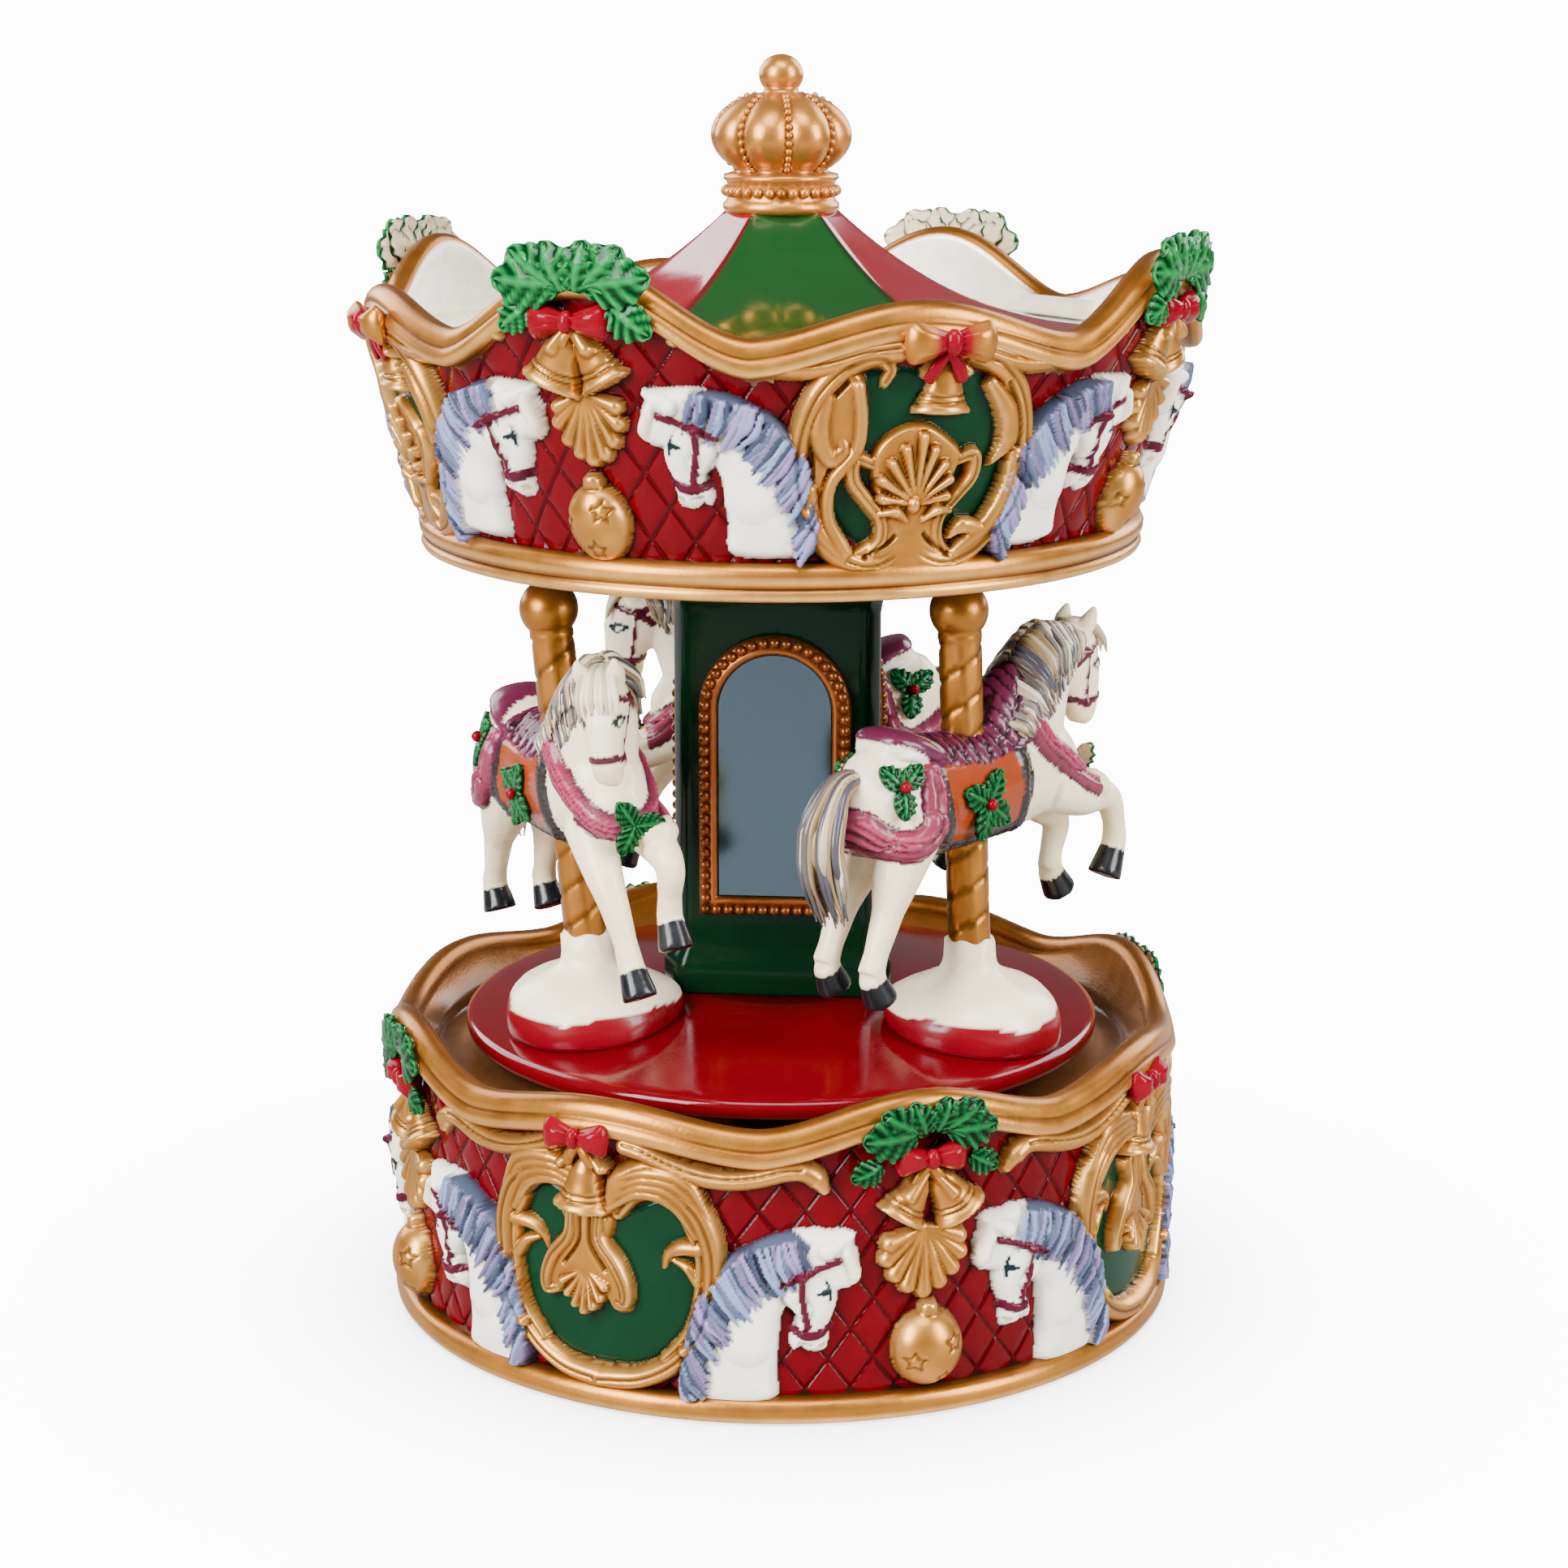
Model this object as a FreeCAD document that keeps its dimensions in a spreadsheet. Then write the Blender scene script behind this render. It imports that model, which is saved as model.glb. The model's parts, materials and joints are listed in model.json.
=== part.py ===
import FreeCAD, Part
import math
import os
import types

import Sketcher

# A wind-up carousel music box, 190 mm tall. The origin is on the spin axis at the foot, +Z up.
# Angles round the axis are measured from -Y, the front, and grow towards +X.

os.makedirs("parts", exist_ok=True)
doc = FreeCAD.newDocument("carousel_music_box")
sheet = doc.addObject("Spreadsheet::Sheet", "Sizes")

# Driving sizes, in millimetres and degrees
SIZES = {
    # Base drum
    "foot_overhang": 2.7, "foot_height": 3.4, "base_wall_radius": 58.4, "base_wall_thickness": 6.0,
    "base_wall_top": 36.0, "base_lip_overhang": 3.2, "base_lip_thickness": 4.8, "base_lip_start": 39.0,
    "base_crest": 48.5, "base_valley": 43.7, "base_scallop_radius": 56.0, "base_turn": -3.5,
    "foot_chamfer": 1.2, "well_wall": 4.8, "well_flare": 2.0,
    "deck_top": 38.0, "deck_thickness": 3.5,
    # Closing plate under the base
    "key_recess": 12.0, "plate_thickness": 2.0, "plate_seat": 2.0, "plate_gap": 0.4,
    "boss_inset": 3.4, "boss_radius": 4.2, "boss_height": 14.0,
    "plate_screw_radius": 1.5, "plate_screw_head": 3.0, "plate_screw_length": 9.0, "screw_head_height": 1.2,
    "screw_gap": 0.05,
    # Fits
    "running_gap": 0.05, "seat_gap": 0.02, "free_gap": 0.3,
    # Music movement
    "bed_thickness": 2.5, "bed_left": 15.0, "bed_wall_room": 7.4, "bed_front": 24.0, "bed_back": 24.0,
    "bed_screw_radius": 1.0, "bed_screw_head": 2.0, "bed_screw_inset": 4.0,
    "barrel_radius": 12.5, "barrel_height": 12.5, "barrel_wall": 1.0,
    "spring_strip": 0.5, "spring_pitch": 1.3, "spring_turns": 5, "spring_height": 9.0,
    "crown_teeth": 40, "pinion_teeth": 16, "crown_pitch_radius": 14.7, "crown_face": 2.8,
    "crown_tooth_height": 1.3, "pinion_addendum": 0.55, "pinion_dedendum": 0.75, "tooth_share": 0.38,
    "wheel_thickness": 2.0, "wheel_hub_radius": 6.0, "wheel_hub_height": 1.6,
    "tooth_clearance": 0.25,
    "arbor_radius": 1.25, "bracket_thickness": 1.4, "bracket_width": 14.0, "bracket_rise": 3.5,
    "cylinder_radius": 6.0, "cylinder_length": 15.4, "pin_length": 0.5, "pin_radius": 0.22,
    "pins_per_note": 2, "note_count": 18,
    "comb_thickness": 1.0, "comb_tooth_length": 8.3, "comb_heel": 7.0, "comb_slot": 0.2, "comb_gap": 0.25,
    "comb_screw_radius": 1.0, "comb_screw_head": 1.8, "comb_screw_length": 4.0,
    "train_module": 0.5, "cylinder_gear_teeth": 24, "governor_pinion_teeth": 8, "train_face": 1.6,
    "worm_module": 0.42, "worm_wheel_teeth": 24, "worm_wheel_face": 1.2, "worm_pitch_radius": 1.9,
    "worm_length": 6.0, "governor_arbor_radius": 0.8, "governor_plate": 0.8, "governor_gap": 0.4,
    "fan_span": 10.0, "fan_height": 4.0, "fan_thickness": 0.8, "fan_hub_radius": 1.4,
    # Winding key
    "key_arbor_radius": 2.0, "key_hub_radius": 3.6, "key_span": 22.0, "key_thickness": 3.0,
    "key_height": 7.0, "key_floor_gap": 1.6,
    # Shaft, bush and turntable
    "shaft_radius": 3.0, "bush_radius": 5.5, "bush_flange_radius": 8.0, "bush_flange_height": 0.8,
    "washer_height": 0.6, "washer_radius": 7.5,
    "clutch_coil_radius": 4.4, "clutch_coil_height": 1.0,
    "turntable_gap": 4.5, "turntable_top": 44.5, "turntable_thickness": 2.8, "turntable_hub": 9.0,
    "turntable_rise": 4.5, "turntable_flat": 19.0,
    # Mirror column
    "column_height": 69.0, "column_wide_face": 27.6, "column_narrow_face": 4.4, "column_turn": -5.0,
    "plinth_height": 8.0, "plinth_flare": 1.2, "capital_height": 7.0, "capital_flare": 3.0,
    "flare_band": 2.0,
    "mirror_width": 17.2, "mirror_height": 37.5, "mirror_thickness": 1.0, "mirror_frame_width": 2.7,
    "mirror_frame_thickness": 1.8, "mirror_foot": 13.0, "mirror_gap": 0.1,
    # Horses and poles
    "horse_radius_left": 32.7, "horse_radius_right": 34.8, "horse_radius_back": 32.0,
    "horse_angle_left": -59.7, "horse_angle_right": 56.2, "horse_angle_back": 177.0,
    "horse_heading_left": -65.0, "horse_heading_right": 45.0, "horse_heading_back": 180.0,
    "horse_lean_left": 5.5, "horse_lean_right": 2.5, "horse_lean_back": 0.0,
    "horse_height": 37.5, "pole_radius": 3.2, "pole_ball_radius": 4.4, "pole_ball_drop": 7.4,
    "pole_tip_radius": 2.0, "mound_radius": 13.0, "mound_rim": 3.0, "mound_dome": 3.6, "mound_neck": 4.4,
    # Canopy
    "canopy_ring_radius": 54.0, "canopy_ring_height": 4.8, "canopy_wall_inset": 1.6,
    "canopy_flare": 7.6, "canopy_wall_thickness": 3.2, "canopy_wall_top": 34.0,
    "canopy_lip_overhang": 1.6, "canopy_lip_thickness": 3.6, "canopy_valley": 37.0, "canopy_crest": 44.5,
    "canopy_scallop_radius": 41.0, "canopy_turn": -4.0, "ring_chamfer": 1.2,
    "ceiling_thickness": 3.0, "ceiling_margin": 3.2, "ceiling_seat": 1.8,
    "ledge_height": 31.0, "ledge_thickness": 2.5, "ledge_radius": 40.0,
    "nut_height": 3.0, "nut_radius": 5.5,
    # Roof and crown
    "roof_gap": 1.6, "roof_edge_height": 1.0, "roof_height": 18.7, "roof_top_radius": 8.0,
    "roof_wall": 3.0, "roof_turn": 5.5, "roof_wide_panel": 70.0,
    "collar_radius": 8.1, "collar_height": 4.8, "dome_radius": 10.7, "dome_half_height": 6.6,
    "dome_overlap": 0.8, "neck_radius": 2.7, "crown_ball_radius": 3.3,
    "crown_socket": 4.0, "crown_total": 22.3,
    # Relief ornament on the walls
    "relief_depth": 2.2, "cartouche_depth": 2.8, "frame_depth": 4.2, "spray_depth": 3.8, "leaf_depth": 2.2,
    "cartouche_half_width": 14.2, "cartouche_half_height": 14.6, "cartouche_frame": 3.0,
    "cartouche_boss_width": 4.6, "cartouche_boss_height": 6.6,
    "spray_half_width": 6.2, "spray_half_height": 8.0, "ornament_ball_radius": 4.4,
    "base_cartouche_height": 21.0, "base_head_foot": 5.0, "base_spray_height": 33.8,
    "base_ball_height": 10.4, "canopy_cartouche_height": 19.8, "canopy_head_foot": 6.4,
    "canopy_spray_height": 35.6, "canopy_ball_height": 11.4,
    "base_holly_height": 42.2, "canopy_holly_height": 42.0,
    "base_holly_angle": 19.0, "base_cartouche_angle": -26.0, "base_head_spread": 15.8,
    "canopy_holly_angle": -26.5, "canopy_cartouche_angle": 18.5, "canopy_head_spread": 15.6,
}

for row, (name, number) in enumerate(SIZES.items(), start=1):
    sheet.set("A%d" % row, name)
    sheet.set("B%d" % row, str(number))
    sheet.setAlias("B%d" % row, name)
doc.recompute()


class Size:
    """A size as its number now and the sheet expression that it is bound to."""

    def __init__(self, number, text):
        self.number = number
        self.text = text

    def joined(self, other, sign, number):
        text = other.text if isinstance(other, Size) else repr(other)
        return Size(number, "(%s %s %s)" % (self.text, sign, text))

    def __add__(self, other):
        return self.joined(other, "+", self.number + float(other))

    def __sub__(self, other):
        return self.joined(other, "-", self.number - float(other))

    def __mul__(self, other):
        return self.joined(other, "*", self.number * float(other))

    def __truediv__(self, other):
        return self.joined(other, "/", self.number / float(other))

    def __float__(self):
        return float(self.number)


s = types.SimpleNamespace()
for name in SIZES:
    setattr(s, name, Size(float(sheet.get(name)), "Sizes." + name))
ZERO = Size(0.0, "0")

# Heights and radii that several pieces share
PLATE_TOP = s.key_recess + s.plate_thickness
BED_TOP = PLATE_TOP + s.bed_thickness
BARREL_TOP = BED_TOP + s.barrel_height
DECK_UNDER = s.deck_top - s.deck_thickness
PINION_PITCH = s.crown_pitch_radius * s.pinion_teeth / s.crown_teeth
CYLINDER_AXIS = BED_TOP + s.free_gap + PINION_PITCH + s.pinion_addendum + s.free_gap
CROWN_FLOOR = CYLINDER_AXIS + PINION_PITCH + s.pinion_addendum + s.tooth_clearance
SHAFT_FOOT = BARREL_TOP + s.free_gap
WASHER_FOOT = s.deck_top + s.bush_flange_height
HUB_FOOT = WASHER_FOOT + s.washer_height + s.free_gap
COLUMN_FOOT = s.turntable_top + s.turntable_rise
CANOPY_FOOT = COLUMN_FOOT + s.column_height
ROOF_FOOT = CANOPY_FOOT + s.ledge_height
ROOF_TOP = ROOF_FOOT + s.roof_height
SHAFT_TOP = ROOF_TOP + s.crown_socket - s.free_gap
BASE_INNER = s.base_wall_radius - s.base_wall_thickness
FOOT_RADIUS = s.base_wall_radius + s.foot_overhang
BASE_LIP = s.base_wall_radius + s.base_lip_overhang
WELL_RADIUS = s.base_wall_radius - s.well_wall
PLATE_RADIUS = BASE_INNER + s.plate_seat
BOSS_CIRCLE = BASE_INNER - s.boss_inset
BED_RIGHT = BASE_INNER - s.bed_wall_room
TURNTABLE_RADIUS = WELL_RADIUS - s.turntable_gap
CEILING_RADIUS = s.canopy_ring_radius - s.ceiling_margin
CANOPY_LOW = s.canopy_ring_radius - s.canopy_wall_inset
CANOPY_HIGH = CANOPY_LOW + s.canopy_flare
CANOPY_LIP = CANOPY_HIGH + s.canopy_lip_overhang

made = []


def spot(radius, angle, height):
    """A point at a radius, an angle from the front and a height."""
    turn = math.radians(float(angle))
    return FreeCAD.Vector(float(radius) * math.sin(turn), -float(radius) * math.cos(turn), float(height))


def keep(label, feature):
    feature.Label = label
    made.append(feature)
    return feature


def solid(label, shape, placement=None):
    """A sub-part whose shape is worked out below from the sheet's sizes."""
    feature = doc.addObject("Part::Feature", label)
    feature.Shape = shape
    if placement is not None:
        feature.Placement = placement
    return keep(label, feature)


def bind(feature, **sizes):
    for field, amount in sizes.items():
        feature.setExpression(field, amount.text)


def move(feature, x=ZERO, y=ZERO, z=ZERO):
    feature.setExpression("Placement.Base.x", x.text)
    feature.setExpression("Placement.Base.y", y.text)
    feature.setExpression("Placement.Base.z", z.text)


def origin_plane(body, role):
    return [plane for plane in body.Origin.OriginFeatures if plane.Role == role][0]


def sketch_on(body, role, name):
    sketch = body.newObject("Sketcher::SketchObject", name)
    sketch.AttachmentSupport = [(origin_plane(body, role), "")]
    sketch.MapMode = "FlatFace"
    return sketch


def pin_point(sketch, kind, line, amount):
    """Hold a line's start at a distance from the sketch's origin, or on its axis."""
    if amount.number == 0:
        axis = -2 if kind == "DistanceX" else -1
        sketch.addConstraint(Sketcher.Constraint("PointOnObject", line, 1, axis))
        return
    number = sketch.addConstraint(Sketcher.Constraint(kind, -1, 1, line, 1, amount.number))
    sketch.setExpression("Constraints[%d]" % number, amount.text)


def draw_outline(sketch, points, first=0):
    """A closed outline of straight lines through points given as pairs of sizes."""
    count = len(points)
    ends = [FreeCAD.Vector(x.number, y.number, 0) for x, y in points]
    sketch.addGeometry([Part.LineSegment(ends[i], ends[(i + 1) % count]) for i in range(count)], False)
    for i in range(count):
        sketch.addConstraint(Sketcher.Constraint("Coincident", first + i, 2, first + (i + 1) % count, 1))
    for i, (x, y) in enumerate(points):
        pin_point(sketch, "DistanceX", first + i, x)
        pin_point(sketch, "DistanceY", first + i, y)


def turned(label, points):
    """A piece turned round the axis from its half section of radius and height pairs."""
    body = doc.addObject("PartDesign::Body", label)
    sketch = sketch_on(body, "XZ_Plane", label + "_section")
    draw_outline(sketch, points)
    turn = body.newObject("PartDesign::Revolution", label + "_turn")
    turn.Profile = sketch
    turn.ReferenceAxis = (sketch, ["V_Axis"])
    turn.Angle = 360
    return keep(label, body)


def ring(label, inner, outer, low, high):
    return turned(label, [(inner, low), (outer, low), (outer, high), (inner, high)])


def scallop(body, label, radius, valley, reach, count):
    """Cut the waves of a rim: round hollows through the wall, repeated about the axis."""
    sketch = sketch_on(body, "XZ_Plane", label + "_wave")
    centre = valley + radius
    sketch.addGeometry(Part.Circle(FreeCAD.Vector(0, centre.number, 0), FreeCAD.Vector(0, 0, 1),
                                   radius.number), False)
    sketch.addConstraint(Sketcher.Constraint("PointOnObject", 0, 3, -2))
    height = sketch.addConstraint(Sketcher.Constraint("DistanceY", -1, 1, 0, 3, centre.number))
    sketch.setExpression("Constraints[%d]" % height, centre.text)
    across = sketch.addConstraint(Sketcher.Constraint("Radius", 0, radius.number))
    sketch.setExpression("Constraints[%d]" % across, radius.text)
    pocket = body.newObject("PartDesign::Pocket", label + "_hollow")
    pocket.Profile = sketch
    pocket.setExpression("Length", reach.text)
    pocket.Reversed = True
    waves = body.newObject("PartDesign::PolarPattern", label + "_waves")
    waves.Originals = [pocket]
    waves.Axis = (origin_plane(body, "Z_Axis"), [""])
    waves.Angle = 360
    waves.Occurrences = count
    body.Tip = waves


def bar(name, radius, low, high, x=ZERO, y=ZERO):
    """An upright round bar between two heights, as a primitive."""
    cylinder = doc.addObject("Part::Cylinder", name)
    bind(cylinder, Radius=radius, Height=high - low)
    move(cylinder, x, y, low)
    return cylinder


def block(name, left, right, front, back, low, high):
    """A box between two places along each axis, as a primitive."""
    box = doc.addObject("Part::Box", name)
    bind(box, Length=right - left, Width=back - front, Height=high - low)
    move(box, left, front, low)
    return box


def fused(name, pieces):
    joined = doc.addObject("Part::MultiFuse", name)
    joined.Shapes = pieces
    return joined


def cut(name, base, tools):
    result = doc.addObject("Part::Cut", name)
    result.Base = base
    result.Tool = tools[0] if len(tools) == 1 else fused(name + "_tools", tools)
    return result


def upright(radius, low, high, x=0.0, y=0.0):
    """A plain round bar shape for the worked-out pieces."""
    return Part.makeCylinder(float(radius), float(high) - float(low), FreeCAD.Vector(x, y, float(low)))


def lying(radius, start, length, y, z):
    """A round bar shape along +X."""
    place = FreeCAD.Vector(float(start), float(y), float(z))
    return Part.makeCylinder(float(radius), float(length), place, FreeCAD.Vector(1, 0, 0))


def slab(left, right, front, back, low, high):
    corner = FreeCAD.Vector(float(left), float(front), float(low))
    return Part.makeBox(float(right) - float(left), float(back) - float(front), float(high) - float(low),
                        corner)


def polygon_face(points):
    return Part.Face(Part.makePolygon(points + points[:1]))


# Base drum: foot moulding, wall, deck and the waved rim round the turntable's well
drum = turned("base_drum", [
    (PLATE_RADIUS + s.plate_gap, ZERO), (FOOT_RADIUS, ZERO), (FOOT_RADIUS, s.foot_height),
    (s.base_wall_radius, s.foot_height + s.foot_chamfer), (s.base_wall_radius, s.base_wall_top),
    (BASE_LIP, s.base_lip_start), (BASE_LIP, s.base_crest),
    (BASE_LIP - s.base_lip_thickness, s.base_crest),
    (WELL_RADIUS, s.deck_top + s.well_flare), (WELL_RADIUS, s.deck_top),
    (s.bush_radius + s.seat_gap, s.deck_top), (s.bush_radius + s.seat_gap, DECK_UNDER),
    (BASE_INNER, DECK_UNDER), (BASE_INNER, PLATE_TOP), (PLATE_RADIUS + s.plate_gap, PLATE_TOP)])
BOSS_ANGLES = (30.0, 150.0, 270.0)


def boss_spot(angle, height):
    return spot(BOSS_CIRCLE, angle - s.base_turn.number, height)


bosses = sketch_on(drum, "XY_Plane", "base_drum_bosses")
bosses.setExpression("AttachmentOffset.Base.z", PLATE_TOP.text)
screw_reach = s.plate_screw_radius + s.screw_gap
for number, angle in enumerate(BOSS_ANGLES):
    centre = boss_spot(angle, 0)
    for radius in (s.boss_radius, screw_reach):
        bosses.addGeometry(Part.Circle(centre, FreeCAD.Vector(0, 0, 1), radius.number), False)
        line = 2 * number + (radius is screw_reach)
        across = bosses.addConstraint(Sketcher.Constraint("Radius", line, radius.number))
        bosses.setExpression("Constraints[%d]" % across, radius.text)
        bosses.addConstraint(Sketcher.Constraint("Block", line))
boss_pad = drum.newObject("PartDesign::Pad", "base_drum_boss_pad")
boss_pad.Profile = bosses
boss_pad.setExpression("Length", s.boss_height.text)
scallop(drum, "base_drum", s.base_scallop_radius, s.base_valley, FOOT_RADIUS + s.relief_depth, 8)
drum.Placement = FreeCAD.Placement(FreeCAD.Vector(), FreeCAD.Vector(0, 0, 1), s.base_turn.number)

# Closing plate under the base, with its screws and the movement's
BED_CORNERS = [(x, y) for x in (ZERO - s.bed_left + s.bed_screw_inset, BED_RIGHT - s.bed_screw_inset)
               for y in (ZERO - s.bed_front + s.bed_screw_inset, s.bed_back - s.bed_screw_inset)]
plate = turned("base_plate_blank", [
    (s.key_arbor_radius + s.running_gap, s.key_recess), (PLATE_RADIUS, s.key_recess),
    (PLATE_RADIUS, PLATE_TOP), (s.key_arbor_radius + s.running_gap, PLATE_TOP)])
made.remove(plate)
plate_screw_spots = [spot(BOSS_CIRCLE, angle, s.key_recess) for angle in BOSS_ANGLES]
plate_holes = []
for number, place in enumerate(plate_screw_spots):
    hole = bar("plate_hole_%d" % number, screw_reach, s.key_recess, PLATE_TOP)
    hole.setExpression("Placement.Base.x", "%s * %.9f" % (BOSS_CIRCLE.text, place.x / BOSS_CIRCLE.number))
    hole.setExpression("Placement.Base.y", "%s * %.9f" % (BOSS_CIRCLE.text, place.y / BOSS_CIRCLE.number))
    plate_holes.append(hole)
for number, (x, y) in enumerate(BED_CORNERS):
    plate_holes.append(bar("bed_hole_%d" % number, s.bed_screw_radius + s.screw_gap, s.key_recess, PLATE_TOP,
                           x, y))
keep("base_plate", cut("base_plate", plate, plate_holes))


def screw(radius, head_radius, head_low, shank_high, x, y):
    """A screw that points up: a round head below its seat and a plain shank."""
    seat = float(head_low) + s.screw_head_height.number
    return upright(head_radius, head_low, seat, x, y).fuse(upright(radius, head_low, shank_high, x, y))


head_low = s.key_recess - s.screw_head_height
solid("base_plate_screws", Part.makeCompound([
    screw(s.plate_screw_radius, s.plate_screw_head, head_low, s.key_recess + s.plate_screw_length,
          place.x, place.y) for place in plate_screw_spots]))
solid("bedplate_screws", Part.makeCompound([
    screw(s.bed_screw_radius, s.bed_screw_head, head_low, BED_TOP, float(x), float(y))
    for x, y in BED_CORNERS]))

# Bedplate of the movement
bed_holes = [bar("bed_arbor_hole", s.key_arbor_radius + s.running_gap, PLATE_TOP, BED_TOP)]
for number, (x, y) in enumerate(BED_CORNERS):
    bed_holes.append(bar("bed_thread_%d" % number, s.bed_screw_radius + s.screw_gap, PLATE_TOP, BED_TOP, x, y))
bed_blank = block("bedplate_blank", ZERO - s.bed_left, BED_RIGHT, ZERO - s.bed_front, s.bed_back,
                  PLATE_TOP, BED_TOP)
keep("movement_bedplate", cut("movement_bedplate", bed_blank, bed_holes))

# Spring barrel and the mainspring inside it
arbor_hole = s.key_arbor_radius + s.running_gap
turned("spring_barrel", [
    (arbor_hole, BED_TOP), (s.barrel_radius, BED_TOP), (s.barrel_radius, BARREL_TOP), (arbor_hole, BARREL_TOP),
    (arbor_hole, BARREL_TOP - s.barrel_wall), (s.barrel_radius - s.barrel_wall, BARREL_TOP - s.barrel_wall),
    (s.barrel_radius - s.barrel_wall, BED_TOP + s.barrel_wall), (arbor_hole, BED_TOP + s.barrel_wall)])


def spiral_edges(start_radius, pitch, half_turns):
    """Half circles whose centres step from side to side, so that they join into a spiral."""
    edges = []
    radius = start_radius
    centre = 0.0
    side = 1.0
    for _ in range(half_turns):
        begin = FreeCAD.Vector(centre + side * radius, 0, 0)
        middle = FreeCAD.Vector(centre, side * radius, 0)
        end = FreeCAD.Vector(centre - side * radius, 0, 0)
        edges.append(Part.Arc(begin, middle, end).toShape())
        radius = radius + pitch / 4
        centre = end.x + side * radius
        side = -side
    return edges


half_turns = int(round(2 * s.spring_turns.number))
spring_start = s.key_arbor_radius.number + s.free_gap.number
inside_edges = spiral_edges(spring_start, s.spring_pitch.number, half_turns)
outside_edges = spiral_edges(spring_start + s.spring_strip.number, s.spring_pitch.number, half_turns)
inside_end = inside_edges[-1].Vertexes[-1].Point
outside_end = outside_edges[-1].Vertexes[-1].Point
strip = inside_edges + [Part.makeLine(inside_end, outside_end)] + outside_edges[::-1]
strip.append(Part.makeLine(outside_edges[0].Vertexes[0].Point, inside_edges[0].Vertexes[0].Point))
strip_face = Part.Face(Part.Wire(Part.__sortEdges__(strip)))
spring_foot = BED_TOP + s.barrel_wall
solid("mainspring", strip_face.extrude(FreeCAD.Vector(0, 0, s.spring_height.number)),
      FreeCAD.Placement(FreeCAD.Vector(0, 0, spring_foot.number), FreeCAD.Rotation()))


def gear_face(pitch_radius, teeth, addendum, dedendum, share, first):
    """A flat gear with straight-sided teeth; first is the angle of one tooth's middle."""
    points = []
    pitch_angle = 2 * math.pi / teeth
    for tooth in range(teeth):
        middle = math.radians(first) + tooth * pitch_angle
        for radius, part in ((pitch_radius - dedendum, -share), (pitch_radius + addendum, -share / 2),
                             (pitch_radius + addendum, share / 2), (pitch_radius - dedendum, share)):
            angle = middle + part * pitch_angle * 0.6
            points.append(FreeCAD.Vector(radius * math.cos(angle), radius * math.sin(angle), 0))
    return polygon_face(points)


def gear_along_x(start, face, y, *gear):
    """A spur gear on an axis along +X at the cylinder's height; angle 0 of its teeth is +Y."""
    flat = gear_face(*gear)
    flat.Placement = FreeCAD.Placement(FreeCAD.Vector(float(start), float(y), CYLINDER_AXIS.number),
                                       FreeCAD.Rotation(FreeCAD.Vector(0, 1, 0), FreeCAD.Vector(0, 0, 1),
                                                        FreeCAD.Vector(1, 0, 0), "ZXY"))
    return flat.extrude(FreeCAD.Vector(float(face), 0, 0))


# Pin cylinder with its arbor, pinion and gear, on an axis along +X
pinion_start = s.crown_pitch_radius - s.crown_face / 2
inner_bracket = pinion_start + s.crown_face + s.governor_gap
cylinder_start = inner_bracket + s.bracket_thickness + s.governor_gap
outer_bracket = cylinder_start + s.cylinder_length + s.governor_gap
train_start = outer_bracket + s.bracket_thickness + s.governor_gap
train_end = train_start + s.train_face
axis_height = CYLINDER_AXIS.number
arbor_seat = s.arbor_radius.number + s.seat_gap.number
arbor_shape = lying(s.arbor_radius, pinion_start, train_end - pinion_start, 0, axis_height)
solid("cylinder_arbor", arbor_shape)
pinion_shape = gear_along_x(pinion_start, s.crown_face, 0, PINION_PITCH.number,
                            int(s.pinion_teeth.number), s.pinion_addendum.number, s.pinion_dedendum.number,
                            s.tooth_share.number, 90.0)
solid("cylinder_pinion", pinion_shape.cut(lying(arbor_seat, pinion_start, s.crown_face, 0, axis_height)))
GEAR_PITCH = s.train_module * s.cylinder_gear_teeth / 2
GOVERNOR_PITCH = s.train_module * s.governor_pinion_teeth / 2
GOVERNOR_AXIS = GEAR_PITCH + GOVERNOR_PITCH
train_depth = (s.train_module.number * 0.8, s.train_module.number * 1.1, s.tooth_share.number)
gear_shape = gear_along_x(train_start, s.train_face, 0, GEAR_PITCH.number, int(s.cylinder_gear_teeth.number),
                          *train_depth, 0.0)
solid("cylinder_gear", gear_shape.cut(lying(arbor_seat, train_start, s.train_face, 0, axis_height)))
note_pitch = s.cylinder_length.number / s.note_count.number
drum_shape = lying(s.cylinder_radius, cylinder_start, s.cylinder_length, 0, axis_height)
drum_shape = drum_shape.cut(lying(arbor_seat, cylinder_start, s.cylinder_length, 0, axis_height))
PIN_STEP = 137.5
pins = []
for note in range(int(s.note_count.number)):
    for beat in range(int(s.pins_per_note.number)):
        turn = math.radians(PIN_STEP * (2 * note + 5 * beat))
        outward = FreeCAD.Vector(0, math.cos(turn), math.sin(turn))
        root = s.cylinder_radius.number - s.pin_length.number
        place = FreeCAD.Vector(cylinder_start.number + (note + 0.5) * note_pitch, 0, axis_height)
        pins.append(Part.makeCylinder(s.pin_radius.number, 2 * s.pin_length.number, place + outward * root,
                                      outward))
solid("pin_cylinder", drum_shape.fuse(pins))


def bracket(start):
    half = s.bracket_width.number / 2
    wall = slab(start, start + s.bracket_thickness, -half, half, BED_TOP, axis_height + s.bracket_rise.number)
    return wall.cut(lying(s.arbor_radius + s.running_gap, start, s.bracket_thickness, 0, axis_height))


solid("cylinder_brackets", Part.makeCompound([bracket(inner_bracket), bracket(outer_bracket)]))

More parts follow.
